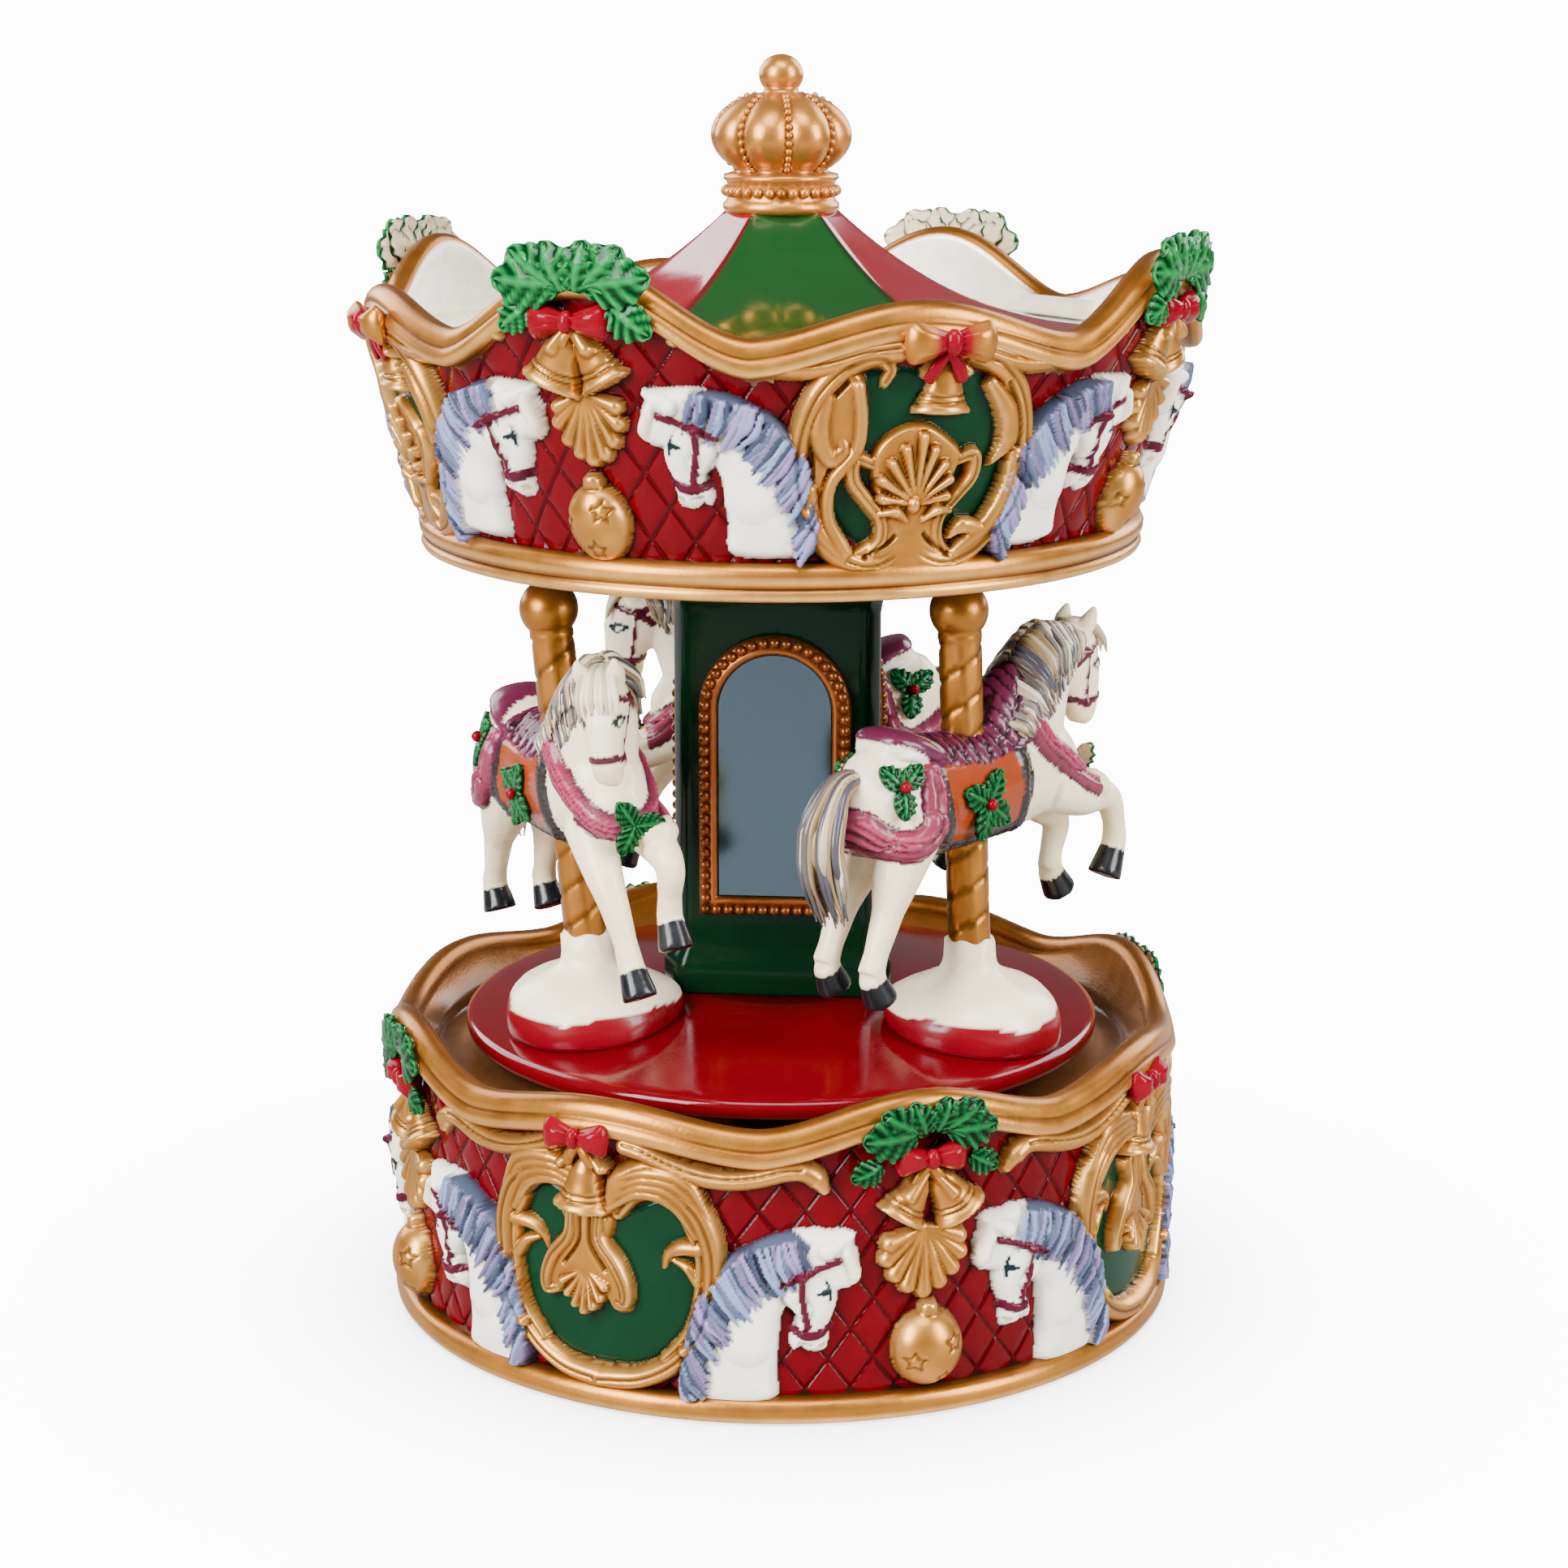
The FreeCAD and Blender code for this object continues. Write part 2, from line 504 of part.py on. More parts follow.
# Comb on its block: one tooth for each note, tips just short of the pins
comb_tip = -(s.cylinder_radius.number + s.pin_length.number + s.comb_gap.number)
comb_back = comb_tip - s.comb_tooth_length.number - s.comb_heel.number
comb_low = axis_height - s.comb_thickness.number / 2
comb_high = comb_low + s.comb_thickness.number
comb_left = cylinder_start.number
comb_right = comb_left + s.cylinder_length.number
comb_shape = slab(comb_left, comb_right, comb_back, comb_tip, comb_low, comb_high)
slots = []
for note in range(1, int(s.note_count.number)):
    middle = comb_left + note * note_pitch
    slots.append(slab(middle - s.comb_slot.number / 2, middle + s.comb_slot.number / 2,
                      comb_tip - s.comb_tooth_length.number, comb_tip + 1, comb_low, comb_high))
comb_screw_y = comb_back + s.comb_heel.number / 2
comb_screw_x = (comb_left + s.comb_heel.number / 2, comb_right - s.comb_heel.number / 2)
screw_foot = comb_high - s.comb_screw_length.number
comb_holes = [upright(s.comb_screw_radius + s.screw_gap, screw_foot, comb_high, x, comb_screw_y)
              for x in comb_screw_x]
solid("comb", comb_shape.cut(slots + comb_holes))
comb_heel_front = comb_tip - s.comb_tooth_length.number - s.free_gap.number
solid("comb_block", slab(comb_left, comb_right, comb_back, comb_heel_front, BED_TOP, comb_low).cut(comb_holes))
solid("comb_screws", Part.makeCompound([
    upright(s.comb_screw_radius, screw_foot, comb_high, x, comb_screw_y).fuse(
        upright(s.comb_screw_head, comb_high, comb_high + s.screw_head_height.number, x, comb_screw_y))
    for x in comb_screw_x]))

# Governor: a pinion and worm wheel on one arbor, then a worm that carries the fan
plate_one = train_end + s.governor_gap
worm_room = s.worm_pitch_radius + s.worm_module + s.governor_gap
worm_middle = plate_one + s.governor_plate + worm_room
wheel_start = worm_middle - s.worm_wheel_face / 2
plate_two = worm_middle + worm_room
governor_y = GOVERNOR_AXIS.number
WORM_WHEEL_PITCH = s.worm_module * s.worm_wheel_teeth / 2
worm_x = worm_middle.number
worm_y = governor_y + WORM_WHEEL_PITCH.number + s.worm_pitch_radius.number
worm_depth = (s.worm_module.number, s.worm_module.number * 1.2, s.tooth_share.number)
half_pitch = 180.0 / s.governor_pinion_teeth.number
governor_pinion = gear_along_x(train_start, s.train_face, governor_y, GOVERNOR_PITCH.number,
                               int(s.governor_pinion_teeth.number), *train_depth, half_pitch)
governor_arbor = lying(s.governor_arbor_radius, train_start, plate_two + s.governor_plate - train_start,
                       governor_y, axis_height)
solid("governor_arbor", governor_arbor.fuse(governor_pinion))
wheel_half_pitch = 180.0 / s.worm_wheel_teeth.number
worm_wheel = gear_along_x(wheel_start, s.worm_wheel_face, governor_y, WORM_WHEEL_PITCH.number,
                          int(s.worm_wheel_teeth.number), *worm_depth, wheel_half_pitch)
solid("worm_wheel", worm_wheel.cut(lying(s.governor_arbor_radius + s.seat_gap, wheel_start,
                                         s.worm_wheel_face, governor_y, axis_height)))
wheel_reach = WORM_WHEEL_PITCH.number + s.worm_module.number
arm_front = governor_y + wheel_reach * 0.85
arm_back = worm_y + 2 * s.worm_pitch_radius.number
arm_low = axis_height + s.bracket_rise.number
arm_high = arm_low + s.governor_plate.number
plate_front = governor_y - 2 * GOVERNOR_PITCH.number
pivot = s.governor_arbor_radius.number + s.running_gap.number
bracket_shape = slab(plate_one, plate_one + s.governor_plate, plate_front, arm_back, BED_TOP, arm_high)
bracket_shape = bracket_shape.fuse([
    slab(plate_two, plate_two + s.governor_plate, plate_front, arm_back, BED_TOP, arm_high),
    slab(plate_one, plate_two + s.governor_plate, arm_front, arm_back, arm_low, arm_high),
    slab(plate_one, plate_two + s.governor_plate, arm_front, arm_back, BED_TOP,
         BED_TOP.number + s.governor_plate.number)])
bracket_shape = bracket_shape.cut([
    lying(pivot, plate_one, plate_two + s.governor_plate - plate_one, governor_y, axis_height),
    upright(pivot, BED_TOP, arm_high, worm_x, worm_y)])
solid("governor_bracket", bracket_shape)
worm_pitch = math.pi * s.worm_module.number
worm_low = axis_height - s.worm_length.number / 2
thread_turns = math.floor(s.worm_length.number / worm_pitch) - 1
thread_start = axis_height - (math.floor(thread_turns / 2) + 0.75) * worm_pitch
worm_root = s.worm_pitch_radius.number - worm_depth[1]
worm_tip = s.worm_pitch_radius.number + worm_depth[0]
helix = Part.makeHelix(worm_pitch, thread_turns * worm_pitch, worm_root)
half_base = s.tooth_share.number * 0.6 * worm_pitch
half_tip = half_base / 2
thread_section = Part.makePolygon([
    FreeCAD.Vector(worm_root * 0.9, 0, -half_base), FreeCAD.Vector(worm_tip, 0, -half_tip),
    FreeCAD.Vector(worm_tip, 0, half_tip), FreeCAD.Vector(worm_root * 0.9, 0, half_base),
    FreeCAD.Vector(worm_root * 0.9, 0, -half_base)])
thread = Part.Wire(helix).makePipeShell([thread_section], True, True)
thread.translate(FreeCAD.Vector(worm_x, worm_y, thread_start))
worm_core = upright(worm_root, worm_low, worm_low + s.worm_length.number, worm_x, worm_y)
fan_low = arm_high + s.free_gap.number
fan_high = fan_low + s.fan_height.number
spindle = upright(s.governor_arbor_radius, BED_TOP + s.running_gap, fan_high, worm_x, worm_y)
solid("governor_worm", worm_core.fuse([thread, spindle]))
half_span = s.fan_span.number / 2
half_blade = s.fan_thickness.number / 2
fan = slab(worm_x - half_span, worm_x + half_span, worm_y - half_blade, worm_y + half_blade, fan_low, fan_high)
fan = fan.fuse(upright(s.fan_hub_radius, fan_low, fan_high, worm_x, worm_y))
solid("governor_fan", fan.cut(upright(s.governor_arbor_radius + s.seat_gap, fan_low, fan_high, worm_x, worm_y)))

# Great wheel: a disc with teeth on its underside that turn the cylinder's pinion
wheel_edge = s.crown_pitch_radius.number + s.crown_face.number / 2
wheel_shape = upright(wheel_edge, CROWN_FLOOR, CROWN_FLOOR + s.wheel_thickness)
hub_high = CROWN_FLOOR + s.wheel_thickness + s.wheel_hub_height
tooth_pitch = 2 * math.pi * s.crown_pitch_radius.number / s.crown_teeth.number
base_half = s.tooth_share.number * 0.6 * tooth_pitch
floor_height = CROWN_FLOOR.number
tooth_low = floor_height - s.crown_tooth_height.number
tooth_face = polygon_face([
    FreeCAD.Vector(pinion_start.number, -base_half, floor_height),
    FreeCAD.Vector(pinion_start.number, base_half, floor_height),
    FreeCAD.Vector(pinion_start.number, base_half / 2, tooth_low),
    FreeCAD.Vector(pinion_start.number, -base_half / 2, tooth_low)])
tooth_shape = tooth_face.extrude(FreeCAD.Vector(s.crown_face.number - s.seat_gap.number, 0, 0))
crown_teeth = []
for tooth in range(int(s.crown_teeth.number)):
    copy = tooth_shape.copy()
    copy.rotate(FreeCAD.Vector(), FreeCAD.Vector(0, 0, 1), (tooth + 0.5) * 360 / s.crown_teeth.number)
    crown_teeth.append(copy)
wheel_shape = wheel_shape.fuse(crown_teeth + [upright(s.wheel_hub_radius, CROWN_FLOOR, hub_high)])
solid("great_wheel", wheel_shape.cut(upright(s.shaft_radius + s.seat_gap, CROWN_FLOOR, hub_high)))
ring("clutch_spring", s.shaft_radius + s.seat_gap, s.clutch_coil_radius,
     CROWN_FLOOR - s.clutch_coil_height, CROWN_FLOOR)

# Winding key on the spring's arbor, which comes out under the closing plate
ARBOR_TOP = BARREL_TOP - s.seat_gap
KEY_TOP = s.key_recess - s.free_gap * 2
keep("spring_arbor", bar("spring_arbor", s.key_arbor_radius, s.key_floor_gap + s.key_height, ARBOR_TOP))
key_wing = block("key_wing", s.key_span * -0.5, s.key_span * 0.5, s.key_thickness * -0.5, s.key_thickness * 0.5,
                 s.key_floor_gap, s.key_floor_gap + s.key_height)
key_hub = bar("key_hub", s.key_hub_radius, s.key_floor_gap + s.key_height / 2, KEY_TOP)
key_socket = bar("key_socket", s.key_arbor_radius + s.seat_gap, s.key_floor_gap + s.key_height, KEY_TOP)
keep("winding_key", cut("winding_key", fused("key_blank", [key_wing, key_hub]), [key_socket]))

# Main shaft with its bush in the deck, the washer and the turntable, whose top rises to the middle
keep("main_shaft", bar("main_shaft", s.shaft_radius, SHAFT_FOOT, SHAFT_TOP))
shaft_run = s.shaft_radius + s.running_gap
shaft_seat = s.shaft_radius + s.seat_gap
turned("deck_bush", [
    (shaft_run, DECK_UNDER), (s.bush_radius, DECK_UNDER), (s.bush_radius, s.deck_top),
    (s.bush_flange_radius, s.deck_top), (s.bush_flange_radius, WASHER_FOOT), (shaft_run, WASHER_FOOT)])
ring("thrust_washer", shaft_run, s.washer_radius, WASHER_FOOT, WASHER_FOOT + s.washer_height)
disc_under = s.turntable_top - s.turntable_thickness
turned("turntable", [
    (shaft_seat, HUB_FOOT), (s.turntable_hub, HUB_FOOT), (s.turntable_hub, disc_under),
    (TURNTABLE_RADIUS, disc_under), (TURNTABLE_RADIUS, s.turntable_top), (s.turntable_flat, COLUMN_FOOT),
    (shaft_seat, COLUMN_FOOT)])
disc_slope = s.turntable_rise.number / (TURNTABLE_RADIUS.number - s.turntable_flat.number)
disc_cone = Part.makeCone(TURNTABLE_RADIUS.number, s.turntable_flat.number, s.turntable_rise.number,
                          FreeCAD.Vector(0, 0, s.turntable_top.number + s.seat_gap.number))

# Column: a triangle with its corners cut off, flared at foot and head, with a mirror on each wide face
COLUMN_REACH = (s.column_wide_face.number + 2 * s.column_narrow_face.number) / (2 * math.sqrt(3))
COLUMN_ANGLES = [s.column_turn.number + 120 * side for side in range(3)]


def column_wire(grow, height):
    """The column's six-sided outline, grown outward, at a height."""
    corners = []
    reach = COLUMN_REACH + grow
    half = s.column_wide_face.number / 2 + grow / math.sqrt(3)
    for angle in COLUMN_ANGLES:
        turn = math.radians(angle)
        outward = FreeCAD.Vector(math.sin(turn), -math.cos(turn), 0)
        along = FreeCAD.Vector(math.cos(turn), math.sin(turn), 0)
        for end in (-half, half):
            corners.append(outward * reach + along * end + FreeCAD.Vector(0, 0, height))
    return Part.makePolygon(corners + corners[:1])


column_foot = COLUMN_FOOT.number
column_top = CANOPY_FOOT.number
plinth_flare = s.plinth_flare.number
capital_flare = s.capital_flare.number
column_sections = [
    column_wire(plinth_flare, column_foot), column_wire(plinth_flare, column_foot + s.flare_band.number),
    column_wire(0, column_foot + s.plinth_height.number), column_wire(0, column_top - s.capital_height.number),
    column_wire(capital_flare, column_top - s.flare_band.number), column_wire(capital_flare, column_top)]
column_shape = Part.makeLoft(column_sections, True, True)
solid("column", column_shape.cut(upright(shaft_seat, column_foot, column_top)))


def arch_body(label, width, height, thickness, rim=None):
    """A round-topped panel, or a frame of that outline when a rim width is given."""
    body = doc.addObject("PartDesign::Body", label)
    sketch = sketch_on(body, "XZ_Plane", label + "_outline")
    loops = [(ZERO, ZERO, width, height)]
    if rim is not None:
        loops.append((rim, rim, width - rim, height - rim))
    for number, (left, low, right, high) in enumerate(loops):
        first = 4 * number
        across = right - left
        spring_line = high - across / 2
        corners = [FreeCAD.Vector(x.number, y.number, 0) for x, y in
                   ((left, low), (right, low), (right, spring_line), (left, spring_line))]
        crown = FreeCAD.Vector((left.number + right.number) / 2, high.number, 0)
        sketch.addGeometry([Part.LineSegment(corners[0], corners[1]), Part.LineSegment(corners[1], corners[2]),
                            Part.Arc(corners[2], crown, corners[3]),
                            Part.LineSegment(corners[3], corners[0])], False)
        sketch.addConstraint(Sketcher.Constraint("Coincident", first, 2, first + 1, 1))
        sketch.addConstraint(Sketcher.Constraint("Coincident", first + 1, 2, first + 2, 1))
        sketch.addConstraint(Sketcher.Constraint("Coincident", first + 2, 2, first + 3, 1))
        sketch.addConstraint(Sketcher.Constraint("Coincident", first + 3, 2, first, 1))
        sketch.addConstraint(Sketcher.Constraint("Vertical", first + 1))
        sketch.addConstraint(Sketcher.Constraint("Vertical", first + 3))
        sketch.addConstraint(Sketcher.Constraint("Horizontal", first))
        pin_point(sketch, "DistanceX", first, left)
        pin_point(sketch, "DistanceY", first, low)
        pin_point(sketch, "DistanceX", first + 1, right)
        pin_point(sketch, "DistanceY", first + 3, spring_line)
        pin_point(sketch, "DistanceY", first + 2, spring_line)
        sketch.addConstraint(Sketcher.Constraint("Symmetric", first + 2, 1, first + 2, 2, first + 2, 3))
    pad = body.newObject("PartDesign::Pad", label + "_pad")
    pad.Profile = sketch
    pad.setExpression("Length", thickness.text)
    return keep(label, body)


frame_width = s.mirror_width + s.mirror_frame_width * 2
frame_height = s.mirror_height + s.mirror_frame_width * 2
glass_width = s.mirror_width - s.mirror_gap * 2
glass_height = s.mirror_height - s.mirror_gap * 2


def on_face(width, lift, angle):
    """The placement of a panel's lower left corner on a column face."""
    turn = FreeCAD.Rotation(FreeCAD.Vector(0, 0, 1), angle)
    corner = FreeCAD.Vector(-width.number / 2, -COLUMN_REACH, column_foot + lift.number)
    return FreeCAD.Placement(turn.multVec(corner), turn)


SIDES = ("front", "right", "left")
for side, angle in zip(SIDES, COLUMN_ANGLES):
    glass = arch_body("mirror_" + side, glass_width, glass_height, s.mirror_thickness)
    glass.Placement = on_face(glass_width, s.mirror_foot + s.mirror_frame_width + s.mirror_gap, angle)
    border = arch_body("mirror_frame_" + side, frame_width, frame_height, s.mirror_frame_thickness,
                       s.mirror_frame_width)
    border.Placement = on_face(frame_width, s.mirror_foot, angle)


def limb(start, end, start_radius, end_radius):
    """A limb between two points: a cone with a round end at each."""
    begin = FreeCAD.Vector(*start)
    along = FreeCAD.Vector(*end) - begin
    length = along.Length
    lean = math.asin((start_radius - end_radius) / length)
    middle = lean / 2 + math.pi / 4

    def turn_point(centre, radius, angle):
        return FreeCAD.Vector(centre + radius * math.sin(angle), radius * math.cos(angle), 0)

    tail = turn_point(0, start_radius, -math.pi / 2)
    shoulder = turn_point(0, start_radius, lean)
    wrist = turn_point(length, end_radius, lean)
    tip = turn_point(length, end_radius, math.pi / 2)
    edges = [Part.Arc(tail, turn_point(0, start_radius, middle - math.pi / 2), shoulder).toShape(),
             Part.makeLine(shoulder, wrist),
             Part.Arc(wrist, turn_point(length, end_radius, middle), tip).toShape(),
             Part.makeLine(tip, tail)]
    shape = Part.Face(Part.Wire(edges)).revolve(FreeCAD.Vector(), FreeCAD.Vector(1, 0, 0), 360)
    shape = Part.Solid(shape) if shape.ShapeType == "Shell" else shape
    shape.Placement = FreeCAD.Placement(begin, FreeCAD.Rotation(FreeCAD.Vector(1, 0, 0), along))
    return shape


# Horse: limbs given from the pole's axis at the body's middle, as forward, side and up
HORSE_LIMBS = [
    ((13.5, 0, 1.0), (-13.5, 0, 1.6), 8.6, 8.9),
    ((14.0, 0, 6.0), (20.0, 0, 17.5), 7.2, 4.7),
    ((22.6, 0, 18.0), (27.0, 0, 8.0), 5.0, 2.8),
    ((24.6, 2.2, 20.8), (27.6, 2.8, 24.2), 1.5, 0.5),
    ((24.6, -2.2, 20.8), (27.6, -2.8, 24.2), 1.5, 0.5),
    ((-20.5, 0, 5.0), (-30.5, 0, 0.6), 2.4, 3.5),
    ((-30.7, 0, 0.4), (-31.2, 0, -9.0), 3.4, 3.1),
    ((-31.1, 0, -9.3), (-28.0, 0, -15.6), 3.0, 1.0),
    ((16.5, -4.6, -4.0), (26.4, -5.4, -7.2), 3.9, 2.5),
    ((26.5, -5.4, -7.4), (26.0, -5.4, -17.0), 2.4, 1.8),
    ((26.1, -5.4, -17.2), (27.4, -5.4, -20.4), 2.0, 2.5),
    ((16.5, 4.6, -4.0), (24.6, 5.2, -11.2), 3.9, 2.5),
    ((24.7, 5.2, -11.4), (22.6, 5.2, -18.6), 2.4, 1.8),
    ((22.7, 5.2, -18.8), (24.2, 5.2, -21.6), 2.0, 2.5),
    ((-15.0, -4.4, -2.0), (-21.6, -5.0, -13.8), 5.6, 3.0),
    ((-21.7, -5.0, -14.0), (-24.0, -5.0, -22.2), 2.9, 1.9),
    ((-23.9, -5.0, -22.4), (-22.8, -5.0, -25.4), 2.1, 2.6),
    ((-15.0, 4.4, -2.0), (-22.8, 5.0, -13.2), 5.6, 3.0),
    ((-22.9, 5.0, -13.4), (-26.4, 5.0, -20.4), 2.9, 1.9),
    ((-26.3, 5.0, -20.6), (-25.6, 5.0, -23.4), 2.1, 2.6),
]
horse_shape = limb(*HORSE_LIMBS[0]).fuse([limb(*piece) for piece in HORSE_LIMBS[1:]])
horse_bore = upright(s.pole_radius + s.seat_gap, -s.horse_height.number, s.horse_height.number)
horse_shape = horse_shape.cut(horse_bore)

# Pole: a straight bar with a ball near its head and a thin tip that meets the ceiling
def pole_shape(room):
    """A pole for the room between its foot on the disc and the ceiling."""
    foot = 4 * s.free_gap.number
    ball_height = room - s.pole_ball_drop.number
    tip_height = room - 2 * s.free_gap.number
    return upright(s.pole_radius, foot, ball_height).fuse([
        Part.makeSphere(s.pole_ball_radius.number, FreeCAD.Vector(0, 0, ball_height)),
        upright(s.pole_tip_radius, ball_height, tip_height)])


# Mound: a flat-sided oval foot with a dome and a short neck round the pole
mound_top = s.mound_rim.number + s.mound_dome.number
dome_radius = (s.mound_radius.number ** 2 + s.mound_dome.number ** 2) / (2 * s.mound_dome.number)
mound_dome = Part.makeSphere(dome_radius, FreeCAD.Vector(0, 0, mound_top - dome_radius))
mound_sink = disc_slope * s.mound_radius.number
mound_block = upright(s.mound_radius, -mound_sink, mound_top).common(mound_dome)
mound_neck = Part.makeCone(s.pole_radius.number + s.mound_neck.number / 2, s.pole_radius.number + 0.5,
                           s.mound_neck.number, FreeCAD.Vector(0, 0, mound_top - 1))

column_room = Part.makeLoft([column_wire(plinth_flare + s.free_gap.number, height)
                             for height in (column_foot, column_top)], True, True)
HORSES = [("left", s.horse_radius_left, s.horse_angle_left, s.horse_heading_left, s.horse_lean_left),
          ("right", s.horse_radius_right, s.horse_angle_right, s.horse_heading_right, s.horse_lean_right),
          ("back", s.horse_radius_back, s.horse_angle_back, s.horse_heading_back, s.horse_lean_back)]
for side, circle, angle, heading, lean_angle in HORSES:
    foot_height = s.turntable_top.number + disc_slope * (TURNTABLE_RADIUS.number - circle.number)
    foot = spot(circle, angle, foot_height)
    lean = FreeCAD.Rotation(FreeCAD.Vector(0, 1, 0), -lean_angle.number)
    turn = FreeCAD.Rotation(FreeCAD.Vector(0, 0, 1), heading.number)
    saddle = FreeCAD.Vector(0, 0, s.horse_height.number)
    pole_bore = upright(s.pole_radius + s.seat_gap, -mound_top, 3 * mound_top)
    pole_bore.Placement = FreeCAD.Placement(FreeCAD.Vector(), lean)
    solid("horse_" + side, horse_shape.copy(),
          FreeCAD.Placement(foot + lean.multVec(saddle), lean.multiply(turn)))
    solid("pole_" + side, pole_shape(CANOPY_FOOT.number - foot_height), FreeCAD.Placement(foot, lean))
    mound = mound_block.fuse(mound_neck).cut(pole_bore)
    mound.translate(foot)
    solid("mound_" + side, mound.cut([column_room, disc_cone]))

# Canopy: ceiling disc, flared valance with a waved rim, and the clamping nut
CEILING_TOP = CANOPY_FOOT + s.ceiling_thickness
turned("canopy_ceiling", [
    (shaft_seat, CANOPY_FOOT), (CEILING_RADIUS, CANOPY_FOOT), (CEILING_RADIUS, CEILING_TOP),
    (shaft_seat, CEILING_TOP)])
nut_wire = Part.makePolygon([spot(s.nut_radius, 60 * corner, CEILING_TOP) for corner in range(7)])
nut_shape = Part.Face(nut_wire).extrude(FreeCAD.Vector(0, 0, s.nut_height.number))
solid("ceiling_nut", nut_shape.cut(upright(shaft_seat, CEILING_TOP, CEILING_TOP + s.nut_height)))
wall_foot = CANOPY_FOOT + s.canopy_ring_height + s.ring_chamfer
wall_top = CANOPY_FOOT + s.canopy_wall_top
wall_rise = s.canopy_wall_top - s.canopy_ring_height - s.ring_chamfer
wall_slope = (CANOPY_HIGH - CANOPY_LOW) / wall_rise
inner_low = CANOPY_LOW - s.canopy_wall_thickness
ledge_low = ROOF_FOOT - s.ledge_thickness
inner_ledge = inner_low + wall_slope * (ledge_low - wall_foot)
inner_roof = inner_low + wall_slope * (ROOF_FOOT - wall_foot)
rim_height = CANOPY_FOOT + s.canopy_crest
valance = turned("canopy_valance", [
    (CEILING_RADIUS + s.plate_gap, CANOPY_FOOT), (s.canopy_ring_radius, CANOPY_FOOT),
    (s.canopy_ring_radius, CANOPY_FOOT + s.canopy_ring_height), (CANOPY_LOW, wall_foot),
    (CANOPY_HIGH, wall_top), (CANOPY_LIP, wall_top + s.ring_chamfer),
    (CANOPY_LIP, rim_height), (CANOPY_LIP - s.canopy_lip_thickness, rim_height),
    (inner_roof, ROOF_FOOT), (s.ledge_radius, ROOF_FOOT), (s.ledge_radius, ledge_low), (inner_ledge, ledge_low),
    (inner_low, wall_foot), (CEILING_RADIUS - s.ceiling_seat, CEILING_TOP),
    (CEILING_RADIUS + s.plate_gap, CEILING_TOP)])
scallop(valance, "canopy_valance", s.canopy_scallop_radius, CANOPY_FOOT + s.canopy_valley,
        CANOPY_LIP + s.relief_depth, 8)
valance.Placement = FreeCAD.Placement(FreeCAD.Vector(), FreeCAD.Vector(0, 0, 1), s.canopy_turn.number)

# Roof: six hollow-curved panels, three wide and three narrow, from the collar to the ledge
ROOF_CURVE = 2.4


def roof_wire(radius, height):
    """The roof's six-sided outline at a height: a wide panel, then a narrow one, three times."""
    corners = []
    for side in range(3):
        middle = s.roof_turn.number + 120 * side
        corners.append(spot(radius, middle - s.roof_wide_panel.number / 2, height))
        corners.append(spot(radius, middle + s.roof_wide_panel.number / 2, height))
    return Part.makePolygon(corners + corners[:1])


roof_edge = ROOF_FOOT.number + s.roof_edge_height.number
ROOF_EDGE = inner_roof - s.roof_gap
roof_sections = [roof_wire(ROOF_EDGE, ROOF_FOOT)]
ROOF_STEPS = 7
for step in range(ROOF_STEPS + 1):
    share = step / ROOF_STEPS
    radius = ROOF_EDGE.number + (s.roof_top_radius.number - ROOF_EDGE.number) * share
    height = roof_edge + (ROOF_TOP.number - roof_edge) * share ** ROOF_CURVE
    roof_sections.append(roof_wire(radius, height))
roof_shape = Part.makeLoft(roof_sections, True, True)
roof_hollow = Part.makeCone(s.ledge_radius.number, s.shaft_radius.number + s.roof_wall.number,
                            s.roof_height.number * 0.25, FreeCAD.Vector(0, 0, ROOF_FOOT.number - 1))
roof_shape = roof_shape.cut([roof_hollow, upright(shaft_seat, ROOF_FOOT, ROOF_TOP)])
solid("canopy_roof", roof_shape)

# Crown finial, screwed on the shaft's end: collar, lobed dome, neck and ball
collar = bar("crown_collar", s.collar_radius, ROOF_TOP, ROOF_TOP + s.collar_height)
dome = doc.addObject("Part::Ellipsoid", "crown_dome")
bind(dome, Radius1=s.dome_half_height, Radius2=s.dome_radius, Radius3=s.dome_radius)
dome_middle = ROOF_TOP + s.collar_height + s.dome_half_height - s.dome_overlap
move(dome, z=dome_middle)
ball_middle = ROOF_TOP + s.crown_total - s.crown_ball_radius
neck = bar("crown_neck", s.neck_radius, dome_middle, ball_middle)
ball = doc.addObject("Part::Sphere", "crown_ball")
bind(ball, Radius=s.crown_ball_radius)
move(ball, z=ball_middle)
socket = bar("crown_socket", shaft_seat, ROOF_TOP, ROOF_TOP + s.crown_socket)
keep("crown_finial", cut("crown_finial", fused("crown_blank", [collar, dome, neck, ball]), [socket]))


def skin(low_radius, low_height, high_radius, high_height, depth):
    """A shell of even depth that lies on a straight or flared wall."""
    near = s.seat_gap.number
    section = polygon_face([
        FreeCAD.Vector(low_radius + near, 0, low_height), FreeCAD.Vector(low_radius + depth, 0, low_height),
        FreeCAD.Vector(high_radius + depth, 0, high_height),
        FreeCAD.Vector(high_radius + near, 0, high_height)])
    return section.revolve(FreeCAD.Vector(), FreeCAD.Vector(0, 0, 1), 360)


def pressed(outline, height, wall):
    """A raised piece at the front: an outline pushed straight out through the wall's skin."""
    face = Part.Face(Part.Wire(outline))
    face.Placement = FreeCAD.Placement(FreeCAD.Vector(0, 0, height), FreeCAD.Vector(1, 0, 0), 90)
    reach = CANOPY_LIP.number + FOOT_RADIUS.number
    return face.extrude(FreeCAD.Vector(0, -reach, 0)).common(wall).Solids[0]


def repeated(shape, angles):
    """Copies of a piece made at the front, turned to other angles round the axis."""
    copies = []
    for angle in angles:
        copy = shape.copy()
        copy.rotate(FreeCAD.Vector(), FreeCAD.Vector(0, 0, 1), angle)
        copies.append(copy)
    return copies


